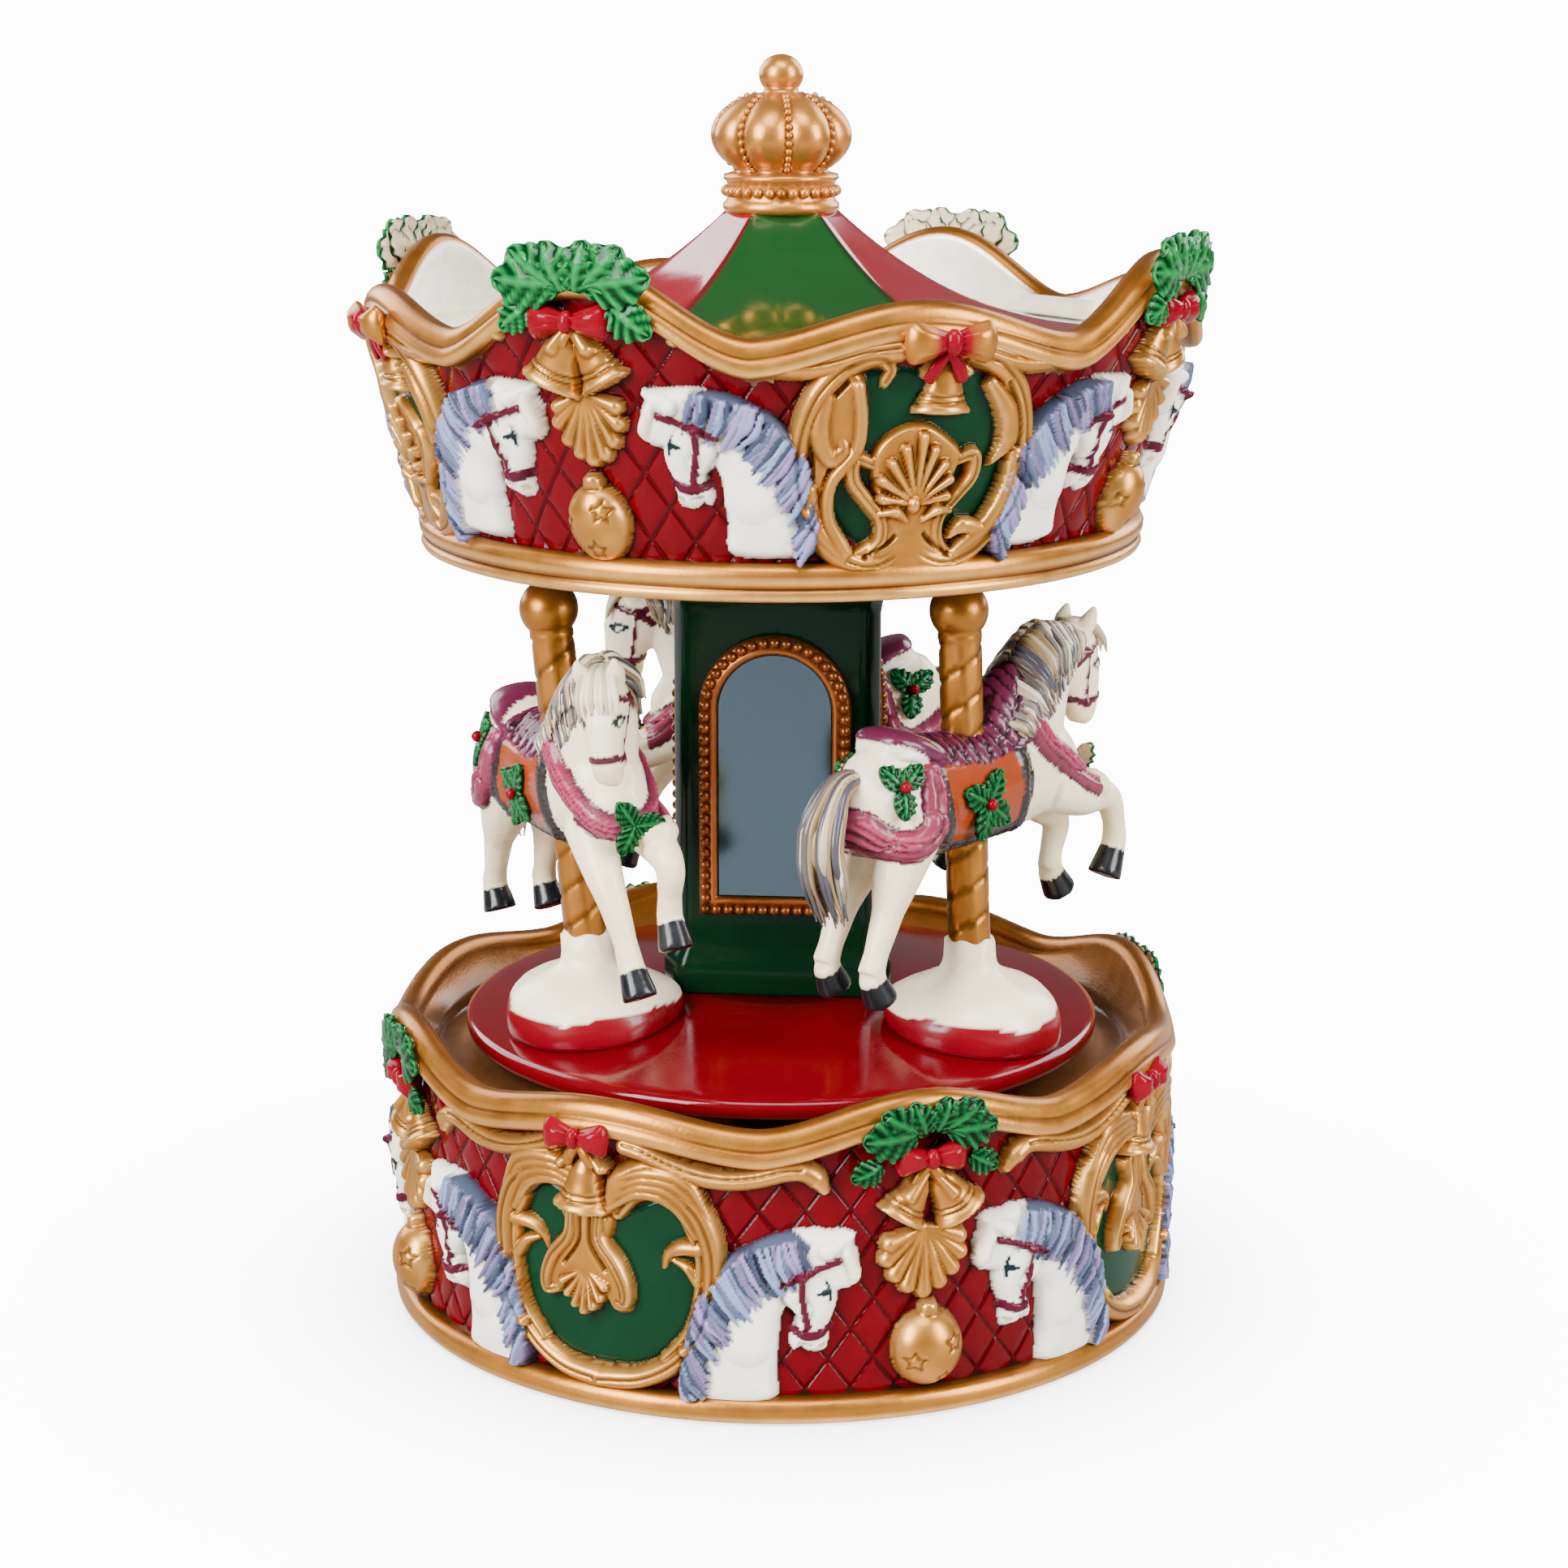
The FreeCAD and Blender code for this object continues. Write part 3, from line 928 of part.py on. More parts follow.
def oval(half_width, half_height):
    long_way = max(half_width, half_height)
    short_way = min(half_width, half_height)
    ellipse = Part.Ellipse(FreeCAD.Vector(), long_way, short_way).toShape()
    if half_height > half_width:
        ellipse.rotate(FreeCAD.Vector(), FreeCAD.Vector(0, 0, 1), 90)
    return [ellipse]


# Horse head in relief, looking to +X: neck foot, crest, poll, brow, muzzle, jaw, throat and chest
HEAD_OUTLINE = [(-12.6, 0), (-10.5, 6), (-6.5, 13), (-1, 19.5), (5, 23), (10.5, 23.2), (12.4, 20.5),
                (11, 14), (9.4, 8.4), (6.4, 7.6), (4.4, 12.4), (1.6, 7.4), (1.8, 0)]


def head_outline(side):
    curve = Part.BSplineCurve()
    points = [FreeCAD.Vector(side * x, y, 0) for x, y in HEAD_OUTLINE]
    curve.interpolate(points)
    return [curve.toShape(), Part.makeLine(points[-1], points[0])]


# Holly over a spray: the heading and length of each leaf from the middle, from left to right
HOLLY_LEAVES = [(228, 8.0), (186, 9.6), (146, 8.4), (112, 7.4), (74, 7.4), (40, 8.2), (8, 9.8), (-40, 7.6)]
LEAF_NOTCH = 3.6


def holly_outline():
    """A fan of pointed leaves with a notch between neighbours."""
    points = []
    for number, (heading, length) in enumerate(HOLLY_LEAVES):
        tip = math.radians(heading)
        points.append(FreeCAD.Vector(length * math.cos(tip), length * math.sin(tip), 0))
        if number + 1 < len(HOLLY_LEAVES):
            gap = math.radians((heading + HOLLY_LEAVES[number + 1][0]) / 2)
            points.append(FreeCAD.Vector(LEAF_NOTCH * math.cos(gap), LEAF_NOTCH * math.sin(gap), 0))
    return Part.makePolygon(points + points[:1]).Edges


def quarters(angle):
    return [angle.number + 90 * turn for turn in range(4)]


def ornament(name, low_radius, low_height, high_radius, high_height, heights, angles, spread, lip):
    """The raised work on one wall: four cartouches, eight horse heads, four sprays and four balls."""
    cartouche_height, head_foot, spray_height, ball_at, holly_height = heights
    cartouche_angle, holly_angle = angles
    wall = (low_radius, low_height, high_radius, high_height)
    plain = skin(*wall, s.relief_depth.number)
    deep = skin(*wall, s.cartouche_depth.number)
    tall = skin(*wall, s.spray_depth.number)
    cartouche = pressed(oval(s.cartouche_half_width.number, s.cartouche_half_height.number), cartouche_height,
                        deep)
    proud = skin(*wall, s.frame_depth.number)
    inner = pressed(oval(s.cartouche_half_width.number - s.cartouche_frame.number,
                         s.cartouche_half_height.number - s.cartouche_frame.number), cartouche_height, proud)
    outer = pressed(oval(s.cartouche_half_width.number, s.cartouche_half_height.number), cartouche_height, proud)
    boss = pressed(oval(s.cartouche_boss_width.number, s.cartouche_boss_height.number), cartouche_height, proud)
    cartouche = cartouche.fuse([outer.cut(inner), boss])
    solid(name + "_cartouches", Part.makeCompound(repeated(cartouche, quarters(cartouche_angle))))
    heads = []
    for side in (-1, 1):
        head = pressed(head_outline(-side), head_foot, plain)
        heads += repeated(head, [angle + side * spread.number for angle in quarters(holly_angle)])
    solid(name + "_horse_heads", Part.makeCompound(heads))
    spray = pressed(oval(s.spray_half_width.number, s.spray_half_height.number), spray_height, tall)
    rim = skin(lip, holly_height - 2 * s.spray_half_height.number, lip, holly_height + 2 * s.spray_half_height.number,
               s.leaf_depth.number)
    spray = spray.fuse(pressed(holly_outline(), holly_height, rim))
    solid(name + "_sprays", Part.makeCompound(repeated(spray, quarters(holly_angle))))
    slope = (high_radius - low_radius) / (high_height - low_height)
    ball_radius = s.ornament_ball_radius.number
    ball_seat = low_radius + slope * (ball_at - low_height) + ball_radius / 4
    ball_room = skin(*wall, 2 * ball_radius)
    ball_piece = Part.makeSphere(ball_radius, spot(ball_seat, 0, ball_at)).common(ball_room).Solids[0]
    solid(name + "_balls", Part.makeCompound(repeated(ball_piece, quarters(holly_angle))))


base_low = s.foot_height.number + s.foot_chamfer.number
ornament("base", s.base_wall_radius.number, base_low, s.base_wall_radius.number, s.base_wall_top.number,
         (s.base_cartouche_height.number, s.base_head_foot.number, s.base_spray_height.number,
          s.base_ball_height.number, s.base_holly_height.number),
         (s.base_cartouche_angle, s.base_holly_angle), s.base_head_spread, BASE_LIP.number)
canopy_foot = CANOPY_FOOT.number
ornament("canopy", CANOPY_LOW.number, wall_foot.number, CANOPY_HIGH.number, wall_top.number,
         (canopy_foot + s.canopy_cartouche_height.number, canopy_foot + s.canopy_head_foot.number,
          canopy_foot + s.canopy_spray_height.number, canopy_foot + s.canopy_ball_height.number,
          canopy_foot + s.canopy_holly_height.number),
         (s.canopy_cartouche_angle, s.canopy_holly_angle), s.canopy_head_spread, CANOPY_LIP.number)

# Check everything before anything is written
doc.recompute()
for feature in doc.Objects:
    bad = [state for state in feature.State if state in ("Invalid", "Error")]
    if bad:
        raise RuntimeError("%s failed: %s" % (feature.Label, bad))
for feature in made:
    shape = feature.Shape
    if shape.isNull() or not shape.isValid():
        raise RuntimeError("%s has no valid shape" % feature.Label)
    print("%-22s solids %2d volume %10.2f" % (feature.Label, len(shape.Solids), shape.Volume))
for feature in made:
    feature.Shape.exportStep("parts/%s.step" % feature.Label)
print(len(made), "parts written")
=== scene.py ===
# %% [markdown]
# # A carousel music box
#
# The real object is a small cast-resin music box: a round base with a clockwork movement inside, a
# turning disc with three horses round a mirrored column, and a canopy with a roof and a gilded crown.
# The imported CAD part already holds every piece in its place and its joints. This lesson dresses that
# part: it models the relief, the horses and the trim, paints them, lights them and looks at them
# through the camera that took the photograph. Sizes below are in millimetres, as a maker would write
# them, and one factor turns them into Blender's metres.

import json
import math
import random

import bpy
import numpy as np
from mathutils import Matrix, Vector


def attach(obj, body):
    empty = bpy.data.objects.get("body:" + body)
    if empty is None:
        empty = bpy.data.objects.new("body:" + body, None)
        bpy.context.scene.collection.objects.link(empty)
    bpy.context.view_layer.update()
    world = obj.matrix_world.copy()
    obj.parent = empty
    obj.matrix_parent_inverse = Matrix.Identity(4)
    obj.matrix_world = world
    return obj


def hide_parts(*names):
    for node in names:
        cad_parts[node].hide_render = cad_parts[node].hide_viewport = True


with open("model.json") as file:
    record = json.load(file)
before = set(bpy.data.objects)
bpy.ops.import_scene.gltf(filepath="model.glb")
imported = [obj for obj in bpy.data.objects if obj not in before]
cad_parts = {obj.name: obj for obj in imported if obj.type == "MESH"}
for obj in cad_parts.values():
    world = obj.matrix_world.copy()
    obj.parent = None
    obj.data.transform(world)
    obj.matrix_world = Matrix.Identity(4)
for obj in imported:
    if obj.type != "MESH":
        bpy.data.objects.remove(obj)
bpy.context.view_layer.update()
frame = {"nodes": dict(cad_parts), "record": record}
MM = 0.001

# %% [markdown]
# ## Paint pots
#
# The casting is painted by hand: lacquer on the walls, gilding on the scrolls, enamel on the horses.
# A painter mixes a few pots and uses them all over, so the colours that many pieces share are mixed
# first. A pot is written as a screen colour, and turned into the linear light that Blender paints with.


# %% Paint pots
def pot(code):
    """A pot of paint: a screen colour such as a3001c as linear red, green and blue."""
    shares = [int(code[k:k + 2], 16) / 255 for k in (0, 2, 4)]
    return np.array([c / 12.92 if c <= 0.04045 else ((c + 0.055) / 1.055) ** 2.4 for c in shares])


CRIMSON = pot("5a0009")
BOW_RED = pot("720214")
GOLD = pot("ae722c")
# A darker gold: the rims' own top band, and painted shade under, inside and in the grooves of the mouldings.
DARK_GOLD = pot("85521e")
# Painted highlight on the outermost curves of the gold mouldings.
GOLD_HIGHLIGHT = pot("d9a055")
# Painted highlight on the high edges of the relief's gilding.
EDGE_HIGHLIGHT_GOLD = pot("e8b868")
# Brown painted shade in the relief's hollows, in grooves and where the mouldings meet the wall.
SHADE_BROWN = pot("2c1508")
IVORY = pot("f4eee0")
CREAM = pot("f4e6c6")


print("crimson in linear light:", CRIMSON.round(3))

# %% [markdown]
# ## The hand-painted finish
#
# One could give each colour its own material, but neighbouring colours then meet along mesh edges
# only. Here each point of a casting carries its own paint and how gilded it is, as two attributes, and
# one finish reads them. Coarse noise in the object's own space gives the brush's unevenness and wears
# the gloss, and fine noise gives a slight grain. The finishes differ only in how glossy they are.


# %% The hand-painted finish
GILT_METAL = 0.8
GLOSS_WEAR = 0.22
COAT_ROUGHNESS = 0.09
GRAIN_DEPTH = 0.0003


def fill(tree, node, inputs):
    """Gives a node's inputs their values, or joins them to other nodes' outputs."""
    for name, value in inputs.items():
        if isinstance(value, bpy.types.NodeSocket):
            tree.links.new(value, node.inputs[name])
        else:
            node.inputs[name].default_value = value


def add(tree, kind, inputs=None, **settings):
    """A new node with its settings and inputs."""
    node = tree.nodes.new(kind)
    for name, value in settings.items():
        setattr(node, name, value)
    fill(tree, node, inputs or {})
    return node


def sum_node(tree, kind, *values):
    """A math node's result; its inputs are numbers or other nodes' outputs."""
    return add(tree, "ShaderNodeMath", dict(enumerate(values)), operation=kind).outputs[0]


def noise(tree, place, scale, detail):
    """Noise in the object's own space, from 0 to 1."""
    inputs = {"Scale": scale, "Detail": detail, "Vector": place.outputs["Object"]}
    return add(tree, "ShaderNodeTexNoise", inputs).outputs["Fac"]


def grained(tree, height, strength, depth):
    """A surface raised a little where the noise is high."""
    inputs = {"Strength": strength, "Distance": depth, "Height": height}
    return add(tree, "ShaderNodeBump", inputs).outputs["Normal"]


def hand_painted(name, gloss=0.13, gilt_gloss=0.34, coat=0.03, mirrored=0.1, uneven=0.16, grain=0.05,
                 patch=260.0):
    """The finish of a painted casting: reads the attributes paint and gilt of each point."""
    finish = bpy.data.materials.new(name)
    finish.use_nodes = True
    tree = finish.node_tree
    paint = add(tree, "ShaderNodeAttribute", attribute_name="paint").outputs["Color"]
    gilt = add(tree, "ShaderNodeAttribute", attribute_name="gilt").outputs["Fac"]
    place = add(tree, "ShaderNodeTexCoord")
    brush = sum_node(tree, "SUBTRACT", noise(tree, place, patch, 5.0), 0.5)
    value = sum_node(tree, "MULTIPLY_ADD", brush, uneven * 2, 1.0)
    shade = add(tree, "ShaderNodeHueSaturation", {"Value": value, "Color": paint})
    rough = sum_node(tree, "MULTIPLY_ADD", gilt, gilt_gloss - gloss, gloss)
    worn = sum_node(tree, "MULTIPLY", brush, GLOSS_WEAR)
    fill(tree, tree.nodes["Principled BSDF"], {
        "Base Color": shade.outputs["Color"],
        "Metallic": sum_node(tree, "MULTIPLY", gilt, GILT_METAL),
        "Roughness": sum_node(tree, "ADD", rough, worn),
        "Specular IOR Level": mirrored,
        "Coat Weight": coat,
        "Coat Roughness": COAT_ROUGHNESS,
        "Normal": grained(tree, noise(tree, place, patch * 7, 3.0), grain, GRAIN_DEPTH)})
    return finish


casting_finish = hand_painted("painted_casting")
gilding_finish = hand_painted("gilded_moulding", gilt_gloss=0.33, uneven=0.24, grain=0.1)
enamel_finish = hand_painted("horse_enamel", gloss=0.28, coat=0.15, mirrored=0.3, uneven=0.07, grain=0.06)
lacquer_finish = hand_painted("glossy_lacquer", gloss=0.1, coat=0.5, mirrored=0.4, uneven=0.1, grain=0.03,
                              patch=120.0)
disc_finish = hand_painted("disc_lacquer", gloss=0.12, coat=0.1, mirrored=0.25, uneven=0.1, grain=0.03)
print("finishes:", len(bpy.data.materials))

# %% [markdown]
# ## From points to a piece
#
# Every piece is a plain mesh that sits at the origin with its place in its points. It rides on the
# body that carries it, so that it turns with the carousel or stays with the base, and it stands for
# the CAD nodes that it replaces.


# %% From points to a piece
def piece(name, points, faces, paint, gilt, finish, body, slot, nodes=(), normals=None):
    """A painted mesh piece from points in millimetres, faces, and a paint and gilding per point."""
    points = np.asarray(points, float)
    count = len(points)
    mesh = bpy.data.meshes.new(name)
    mesh.from_pydata((points * MM).tolist(), [], [tuple(face) for face in faces])
    colour = np.ones((count, 4))
    colour[:, :3] = paint
    mesh.attributes.new("paint", "FLOAT_COLOR", "POINT").data.foreach_set("color", colour.ravel())
    shine = np.ones(count) * gilt
    mesh.attributes.new("gilt", "FLOAT", "POINT").data.foreach_set("value", shine)
    mesh.polygons.foreach_set("use_smooth", [True] * len(mesh.polygons))
    mesh.materials.append(finish)
    mesh.update()
    if normals is not None:
        mesh.normals_split_custom_set_from_vertices(normals.tolist())
    made = bpy.data.objects.new(name, mesh)
    bpy.context.scene.collection.objects.link(made)
    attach(made, body)
    if nodes:
        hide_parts(*nodes)
    return made


def raw(name, points, edges, faces):
    """A plain object, not painted yet."""
    mesh = bpy.data.meshes.new(name)
    mesh.from_pydata(points, edges, faces)
    thing = bpy.data.objects.new(name, mesh)
    bpy.context.scene.collection.objects.link(thing)
    return thing


def after_modifiers(thing):
    """The mesh that a plain object's modifiers make; the object then goes."""
    view = bpy.context.evaluated_depsgraph_get()
    mesh = bpy.data.meshes.new_from_object(thing.evaluated_get(view))
    bpy.data.objects.remove(thing)
    return mesh


def grid_faces(rows, columns, closed=False, ring=False):
    """Four-sided faces over a grid laid out row by row; the columns, or also the rows, may close up."""
    row, column = np.meshgrid(np.arange(rows if ring else rows - 1),
                              np.arange(columns if closed else columns - 1), indexing="ij")
    after = (column + 1) % columns
    above = (row + 1) % rows
    faces = [row * columns + column, row * columns + after, above * columns + after, above * columns + column]
    return np.stack([corner.ravel() for corner in faces], 1).tolist()


def tube_faces(rows, columns):
    """Faces round a tube of rings, with both its ends shut."""
    faces = grid_faces(rows, columns, closed=True)
    faces.append(tuple(reversed(range(columns))))
    faces.append(tuple(range((rows - 1) * columns, rows * columns)))
    return faces


def flowing(points, steps=8, closed=False):
    """A smooth path through a few points."""
    points = np.asarray(points, float)
    if len(points) < 3 or steps < 2:
        return points
    if closed:
        ends = np.vstack([points[-1:], points, points[:2]])
    else:
        ends = np.vstack([2 * points[0] - points[1], points, 2 * points[-1] - points[-2]])
    share = np.linspace(0, 1, steps, endpoint=False)[:, None]
    path = []
    for a, b, c, d in zip(ends[:-3], ends[1:-2], ends[2:-1], ends[3:]):
        path.append(0.5 * (2 * b + (c - a) * share + (2 * a - 5 * b + 4 * c - d) * share ** 2
                           + (3 * b - a - 3 * c + d) * share ** 3))
    if not closed:
        path.append(points[-1:])
    return np.vstack(path)


print("helpers ready")

# %% [markdown]
# ## Modelling in relief
#
# The walls are one casting with scrolls, bells, shells and horse heads standing out from it. Separate
# meshes pushed into a wall leave hard lines where they meet. Here the wall is a fine sheet of points,
# and each tool raises, presses or paints the points under it: a roll is a half-round moulding along a
# path, a patch is a puffed outline, a turned form is half of something from a lathe, a groove is
# scratched in, and a strap lies on whatever is there already.


# %% The relief tools
def from_line(u, v, start, end):
    """Where along a straight line places have their nearest point, from 0 to 1, and how far off they are."""
    run = end - start
    share = np.clip(((u - start[0]) * run[0] + (v - start[1]) * run[1]) / max(run @ run, 1e-9), 0, 1)
    return share, np.hypot(u - start[0] - share * run[0], v - start[1] - share * run[1])


class Relief:
    """A surface being modelled: each point's place (u across, v up), height, paint and gilding."""

    def __init__(self, u, v, ground, around=None):
        self.u = u.ravel()
        self.v = v.ravel()
        self.height = np.zeros(self.u.size)
        self.paint = np.tile(ground, (self.u.size, 1))
        self.gilt = np.zeros(self.u.size)
        self.around = around

    def near(self, path, reach):
        """The points near a path, also where the path comes round again at the other edge."""
        for shift in ((0,) if self.around is None else (-self.around, 0, self.around)):
            moved = path + [shift, 0]
            low = moved.min(0) - reach
            high = moved.max(0) + reach
            spots = np.flatnonzero((self.u > low[0]) & (self.u < high[0])
                                   & (self.v > low[1]) & (self.v < high[1]))
            if spots.size:
                yield spots, moved

    def put(self, spots, top, paint, gilt):
        """Raises points to a new height, where that is higher, and paints them."""
        higher = top > self.height[spots]
        take = spots[higher]
        self.height[take] = top[higher]
        self.paint[take] = paint
        self.gilt[take] = gilt

    def along(self, spots, path, widths):
        """How deep each point lies inside a band along a path: 1 on the path, 0 at its edge."""
        u, v = self.u[spots], self.v[spots]
        best = np.zeros(spots.size)
        half = np.zeros(spots.size)
        for k in range(len(path) - 1):
            share, away = from_line(u, v, path[k], path[k + 1])
            width = widths[k] + (widths[k + 1] - widths[k]) * share
            depth = 1 - away / width
            better = depth > best
            best[better] = depth[better]
            half[better] = width[better]
        return best, half

    def band(self, points, width, steps):
        """The points in a band along a path, their depth in it, and its share of the full width there."""
        path = flowing(points, steps)
        width = [width] if np.isscalar(width) else width
        widths = np.interp(np.linspace(0, 1, len(path)), np.linspace(0, 1, len(width)), width)
        for spots, moved in self.near(path, widths.max()):
            depth, half = self.along(spots, moved, widths)
            inside = depth > 0
            yield spots[inside], depth[inside], half[inside] / widths.max()

    def roll(self, points, width, rise, paint, gilt=0.0, base=0.0, steps=8):
        """A half-round moulding along a path."""
        for spots, depth, size in self.band(points, width, steps):
            self.put(spots, base + rise * size * np.sqrt(1 - (1 - depth) ** 2), paint, gilt)

    def strap(self, points, width, rise, paint, gilt=0.0, steps=8):
        """A strip that lies on what is there already."""
        for spots, depth, size in self.band(points, width, steps):
            self.height[spots] += rise * np.minimum(1, depth * 2.5)
            self.paint[spots] = paint
            self.gilt[spots] = gilt

    def groove(self, points, width, depth, shaded_to=0.6, steps=8):
        """A scratched line, its paint darkened towards its middle as painted shade."""
        for spots, share, size in self.band(points, width, steps):
            self.height[spots] -= depth * share
            # Painted shade: the paint darkens towards the middle of the groove.
            self.paint[spots] *= (1 - share * (1 - shaded_to))[:, None]

    def patch(self, outline, rise, paint, gilt=0.0, edge=1.0, dome=0.0, base=0.0, press=False, steps=6):
        """A puffed outline. A pressed patch also lowers what was higher."""
        ring = flowing(outline, steps, closed=True)
        for spots, moved in self.near(ring, 0):
            u, v = self.u[spots], self.v[spots]
            inside = np.zeros(spots.size, bool)
            away = np.full(spots.size, 1e9)
            for a, b in zip(moved, np.roll(moved, -1, 0)):
                crosses = (a[1] > v) != (b[1] > v)
                slope = (v - a[1]) / (b[1] - a[1] if abs(b[1] - a[1]) > 1e-9 else 1e-9)
                inside ^= crosses & (u < a[0] + slope * (b[0] - a[0]))
                away = np.minimum(away, from_line(u, v, a, b)[1])
            spots = spots[inside]
            away = away[inside]
            if not spots.size:
                continue
            lift = base + rise * np.sin(np.minimum(1, away / edge) * math.pi / 2)
            lift = lift + dome * np.sqrt(away / max(away.max(), 1e-9))
            if press:
                self.height[spots] = -np.inf
            self.put(spots, lift, paint, gilt)

    def turned(self, foot, head, outline, paint, gilt=0.0, depth=0.8, base=0.0):
        """Half of a turned form lying on the surface: the outline gives half widths along its axis."""
        foot = np.asarray(foot, float)
        head = np.asarray(head, float)
        length = np.hypot(*(head - foot))
        axis = (head - foot) / length
        shares, halves = np.array(outline).T
        for spots, moved in self.near(np.array([foot, head]), halves.max()):
            u = self.u[spots] - moved[0][0]
            v = self.v[spots] - moved[0][1]
            share = (u * axis[0] + v * axis[1]) / length
            side = v * axis[0] - u * axis[1]
            half = np.interp(share, shares, halves, left=0, right=0)
            inside = np.abs(side) < half
            lift = base + depth * np.sqrt(half[inside] ** 2 - side[inside] ** 2)
            self.put(spots[inside], lift, paint, gilt)

    def paint_shade_and_highlights(self, shape, reach=6, strength=0.3):
        """Painted shade darkens the hollows, brown on the gilding, and a painted highlight lightens the
        gilding's high edges.
        """
        level = self.height.reshape(shape)
        soft = level.copy()
        for _ in range(reach):
            edge = np.pad(soft, 1, mode="edge")
            soft = (edge[:-2, 1:-1] + edge[2:, 1:-1] + edge[1:-1, :-2] + edge[1:-1, 2:] + 2 * soft) / 6
        painted_shade = np.clip((soft - level).ravel() / strength, 0, 1)[:, None]
        painted_highlight = np.clip((level - soft).ravel() / strength, 0, 1)[:, None]
        gilt = self.gilt[:, None]
        self.paint += (SHADE_BROWN - self.paint) * painted_shade * 0.85 * gilt
        self.paint *= 1 - 0.55 * painted_shade * (1 - gilt)
        self.paint += (EDGE_HIGHLIGHT_GOLD - self.paint) * painted_highlight * 0.5 * gilt


print("relief tools ready")

# %% [markdown]
# ## The ornament of the walls
#
# The same traditional ornament goes round the base and the canopy four times: an oval scroll frame,
# a column of holly, bow, bells, shell and ball, and two horse heads that look at the holly. Each is
# drawn once in its own small coordinates, in millimetres, and placed by a short function that can
# also mirror and scale it.


# %% Placing a drawing
class Drawing:
    """A relief seen from a drawing's own origin, scaled and, if wanted, mirrored."""

    def __init__(self, relief, u, v, scale=(1.0, 1.0)):
        self.relief = relief
        self.origin = np.array([u, v])
        self.scale = np.array(scale)

    def at(self, points):
        """The drawing's points as places on the relief."""
        return self.origin + np.asarray(points, float) * self.scale

    def roll(self, points, *facts, **more):
        self.relief.roll(self.at(points), *facts, **more)

    def strap(self, points, *facts, **more):
        self.relief.strap(self.at(points), *facts, **more)

    def groove(self, points, *facts, **more):
        self.relief.groove(self.at(points), *facts, **more)

    def patch(self, outline, *facts, **more):
        self.relief.patch(self.at(outline), *facts, **more)

    def turned(self, foot, head, *facts, **more):
        self.relief.turned(self.at(foot), self.at(head), *facts, **more)


BELL_OUTLINE = [(0.0, 1.0), (0.05, 4.3), (0.12, 4.2), (0.2, 3.6), (0.32, 3.3), (0.36, 3.0), (0.55, 2.5),
                (0.75, 2.1), (0.9, 1.4), (1.0, 0.4)]


def bell(drawing, mouth, top, size=1.0, base=0.4):
    """A gilded bell, with two scratched rings above its mouth."""
    outline = [(share, half * size) for share, half in BELL_OUTLINE]
    drawing.turned(mouth, top, outline, GOLD, 1.0, depth=0.75, base=base)
    mouth = np.array(mouth, float)
    run = np.array(top, float) - mouth
    across = np.array([-run[1], run[0]]) / np.hypot(*run) * size
    for share in (0.27, 0.36):
        middle = mouth + run * share
        sag = middle - run * 0.04
        drawing.groove([middle - across * 3.3, sag, middle + across * 3.3], 0.35, 0.5)


def shell(drawing, hub, ends, width=1.35, base=0.5):
    """A fluted shell: half-round flutes spread from a hub, each ending in its own round edge."""
    for end in ends:
        middle = np.array(hub) * 0.45 + np.array(end) * 0.55
        drawing.roll([hub, middle, end], [0.35, width * 0.7, width], 1.9, GOLD, 1.0, base=base)


def star(drawing, u, v, size):
    """An engraved five-pointed star."""
    tips = []
    for k in range(11):
        reach = size if k % 2 == 0 else size * 0.48
        turn = math.radians(90 + 36 * k)
        tips.append((u + reach * math.cos(turn), v + reach * math.sin(turn)))
    drawing.groove(tips, 0.32, 0.32, shaded_to=0.45, steps=1)


def ornament_ball(drawing, u, v, radius, stars):
    """A gilded ball with a cap and engraved stars."""
    shares = np.linspace(0, 1, 25)
    outline = [(share, radius * math.sqrt(max(0.0, 1 - (2 * share - 1) ** 2))) for share in shares]
    drawing.turned((u, v - radius * 1.07), (u, v + radius * 1.07), outline, GOLD, 1.0, depth=0.85, base=0.3)
    drawing.turned((u, v + radius * 0.95), (u, v + radius * 1.3), [(0, 1.5), (0.7, 1.4), (1, 0.9)], GOLD, 1.0,
                   depth=1.0, base=1.2)
    for x, y, size in stars:
        star(drawing, u + x, v + y, size)


print("drawing tools ready")

# %% [markdown]
# ### The horse heads
#
# Each head is an ivory patch with a puffed edge, a mane of blue and lilac locks laid one over the
# other, a maroon bridle, and an eye drawn with two strokes of dark teal, as the painter did.


# %% The horse heads
MANE_BLUE = pot("5b6682")
MANE_LILAC = pot("706489")
MAROON = pot("4a1022")
INK = pot("0e2024")
TAN = pot("cfae7e")
MANE_LOCKS = 72
HEAD_OUTLINE = [(-16.2, 3.0), (-5.2, 3.0), (-4.6, 8.0), (-4.3, 12.0), (-3.9, 15.2), (-4.4, 16.8),
                (-4.5, 18.8),
                (-3.4, 19.0), (-1.8, 17.0), (-2.2, 14.8), (-2.9, 12.8), (-2.2, 10.9), (-0.9, 11.3),
                (0.2, 10.6), (2.3, 10.7), (3.0, 12.4), (3.1, 15.0), (3.5, 17.6), (4.4, 19.6), (6.4, 20.2),
                (7.5, 22.6), (7.3, 25.4), (6.7, 26.8), (6.9, 28.2), (5.4, 28.9), (2.6, 29.0), (0.0, 29.3),
                (-3.0, 28.6), (-7.0, 26.0), (-11.0, 21.0), (-14.5, 13.0), (-16.2, 8.0)]
MANE_OUTLINE = [(-1.0, 28.8), (-4.5, 28.5), (-8.2, 27.0), (-11.8, 24.8), (-14.6, 21.6), (-16.6, 17.6),
                (-18.0, 13.0), (-18.6, 8.0), (-17.9, 3.4), (-15.8, 3.2), (-14.6, 7.6), (-12.2, 12.6),
                (-9.2, 17.2), (-6.0, 20.6), (-3.4, 23.2), (-0.2, 25.2), (0.8, 27.2)]


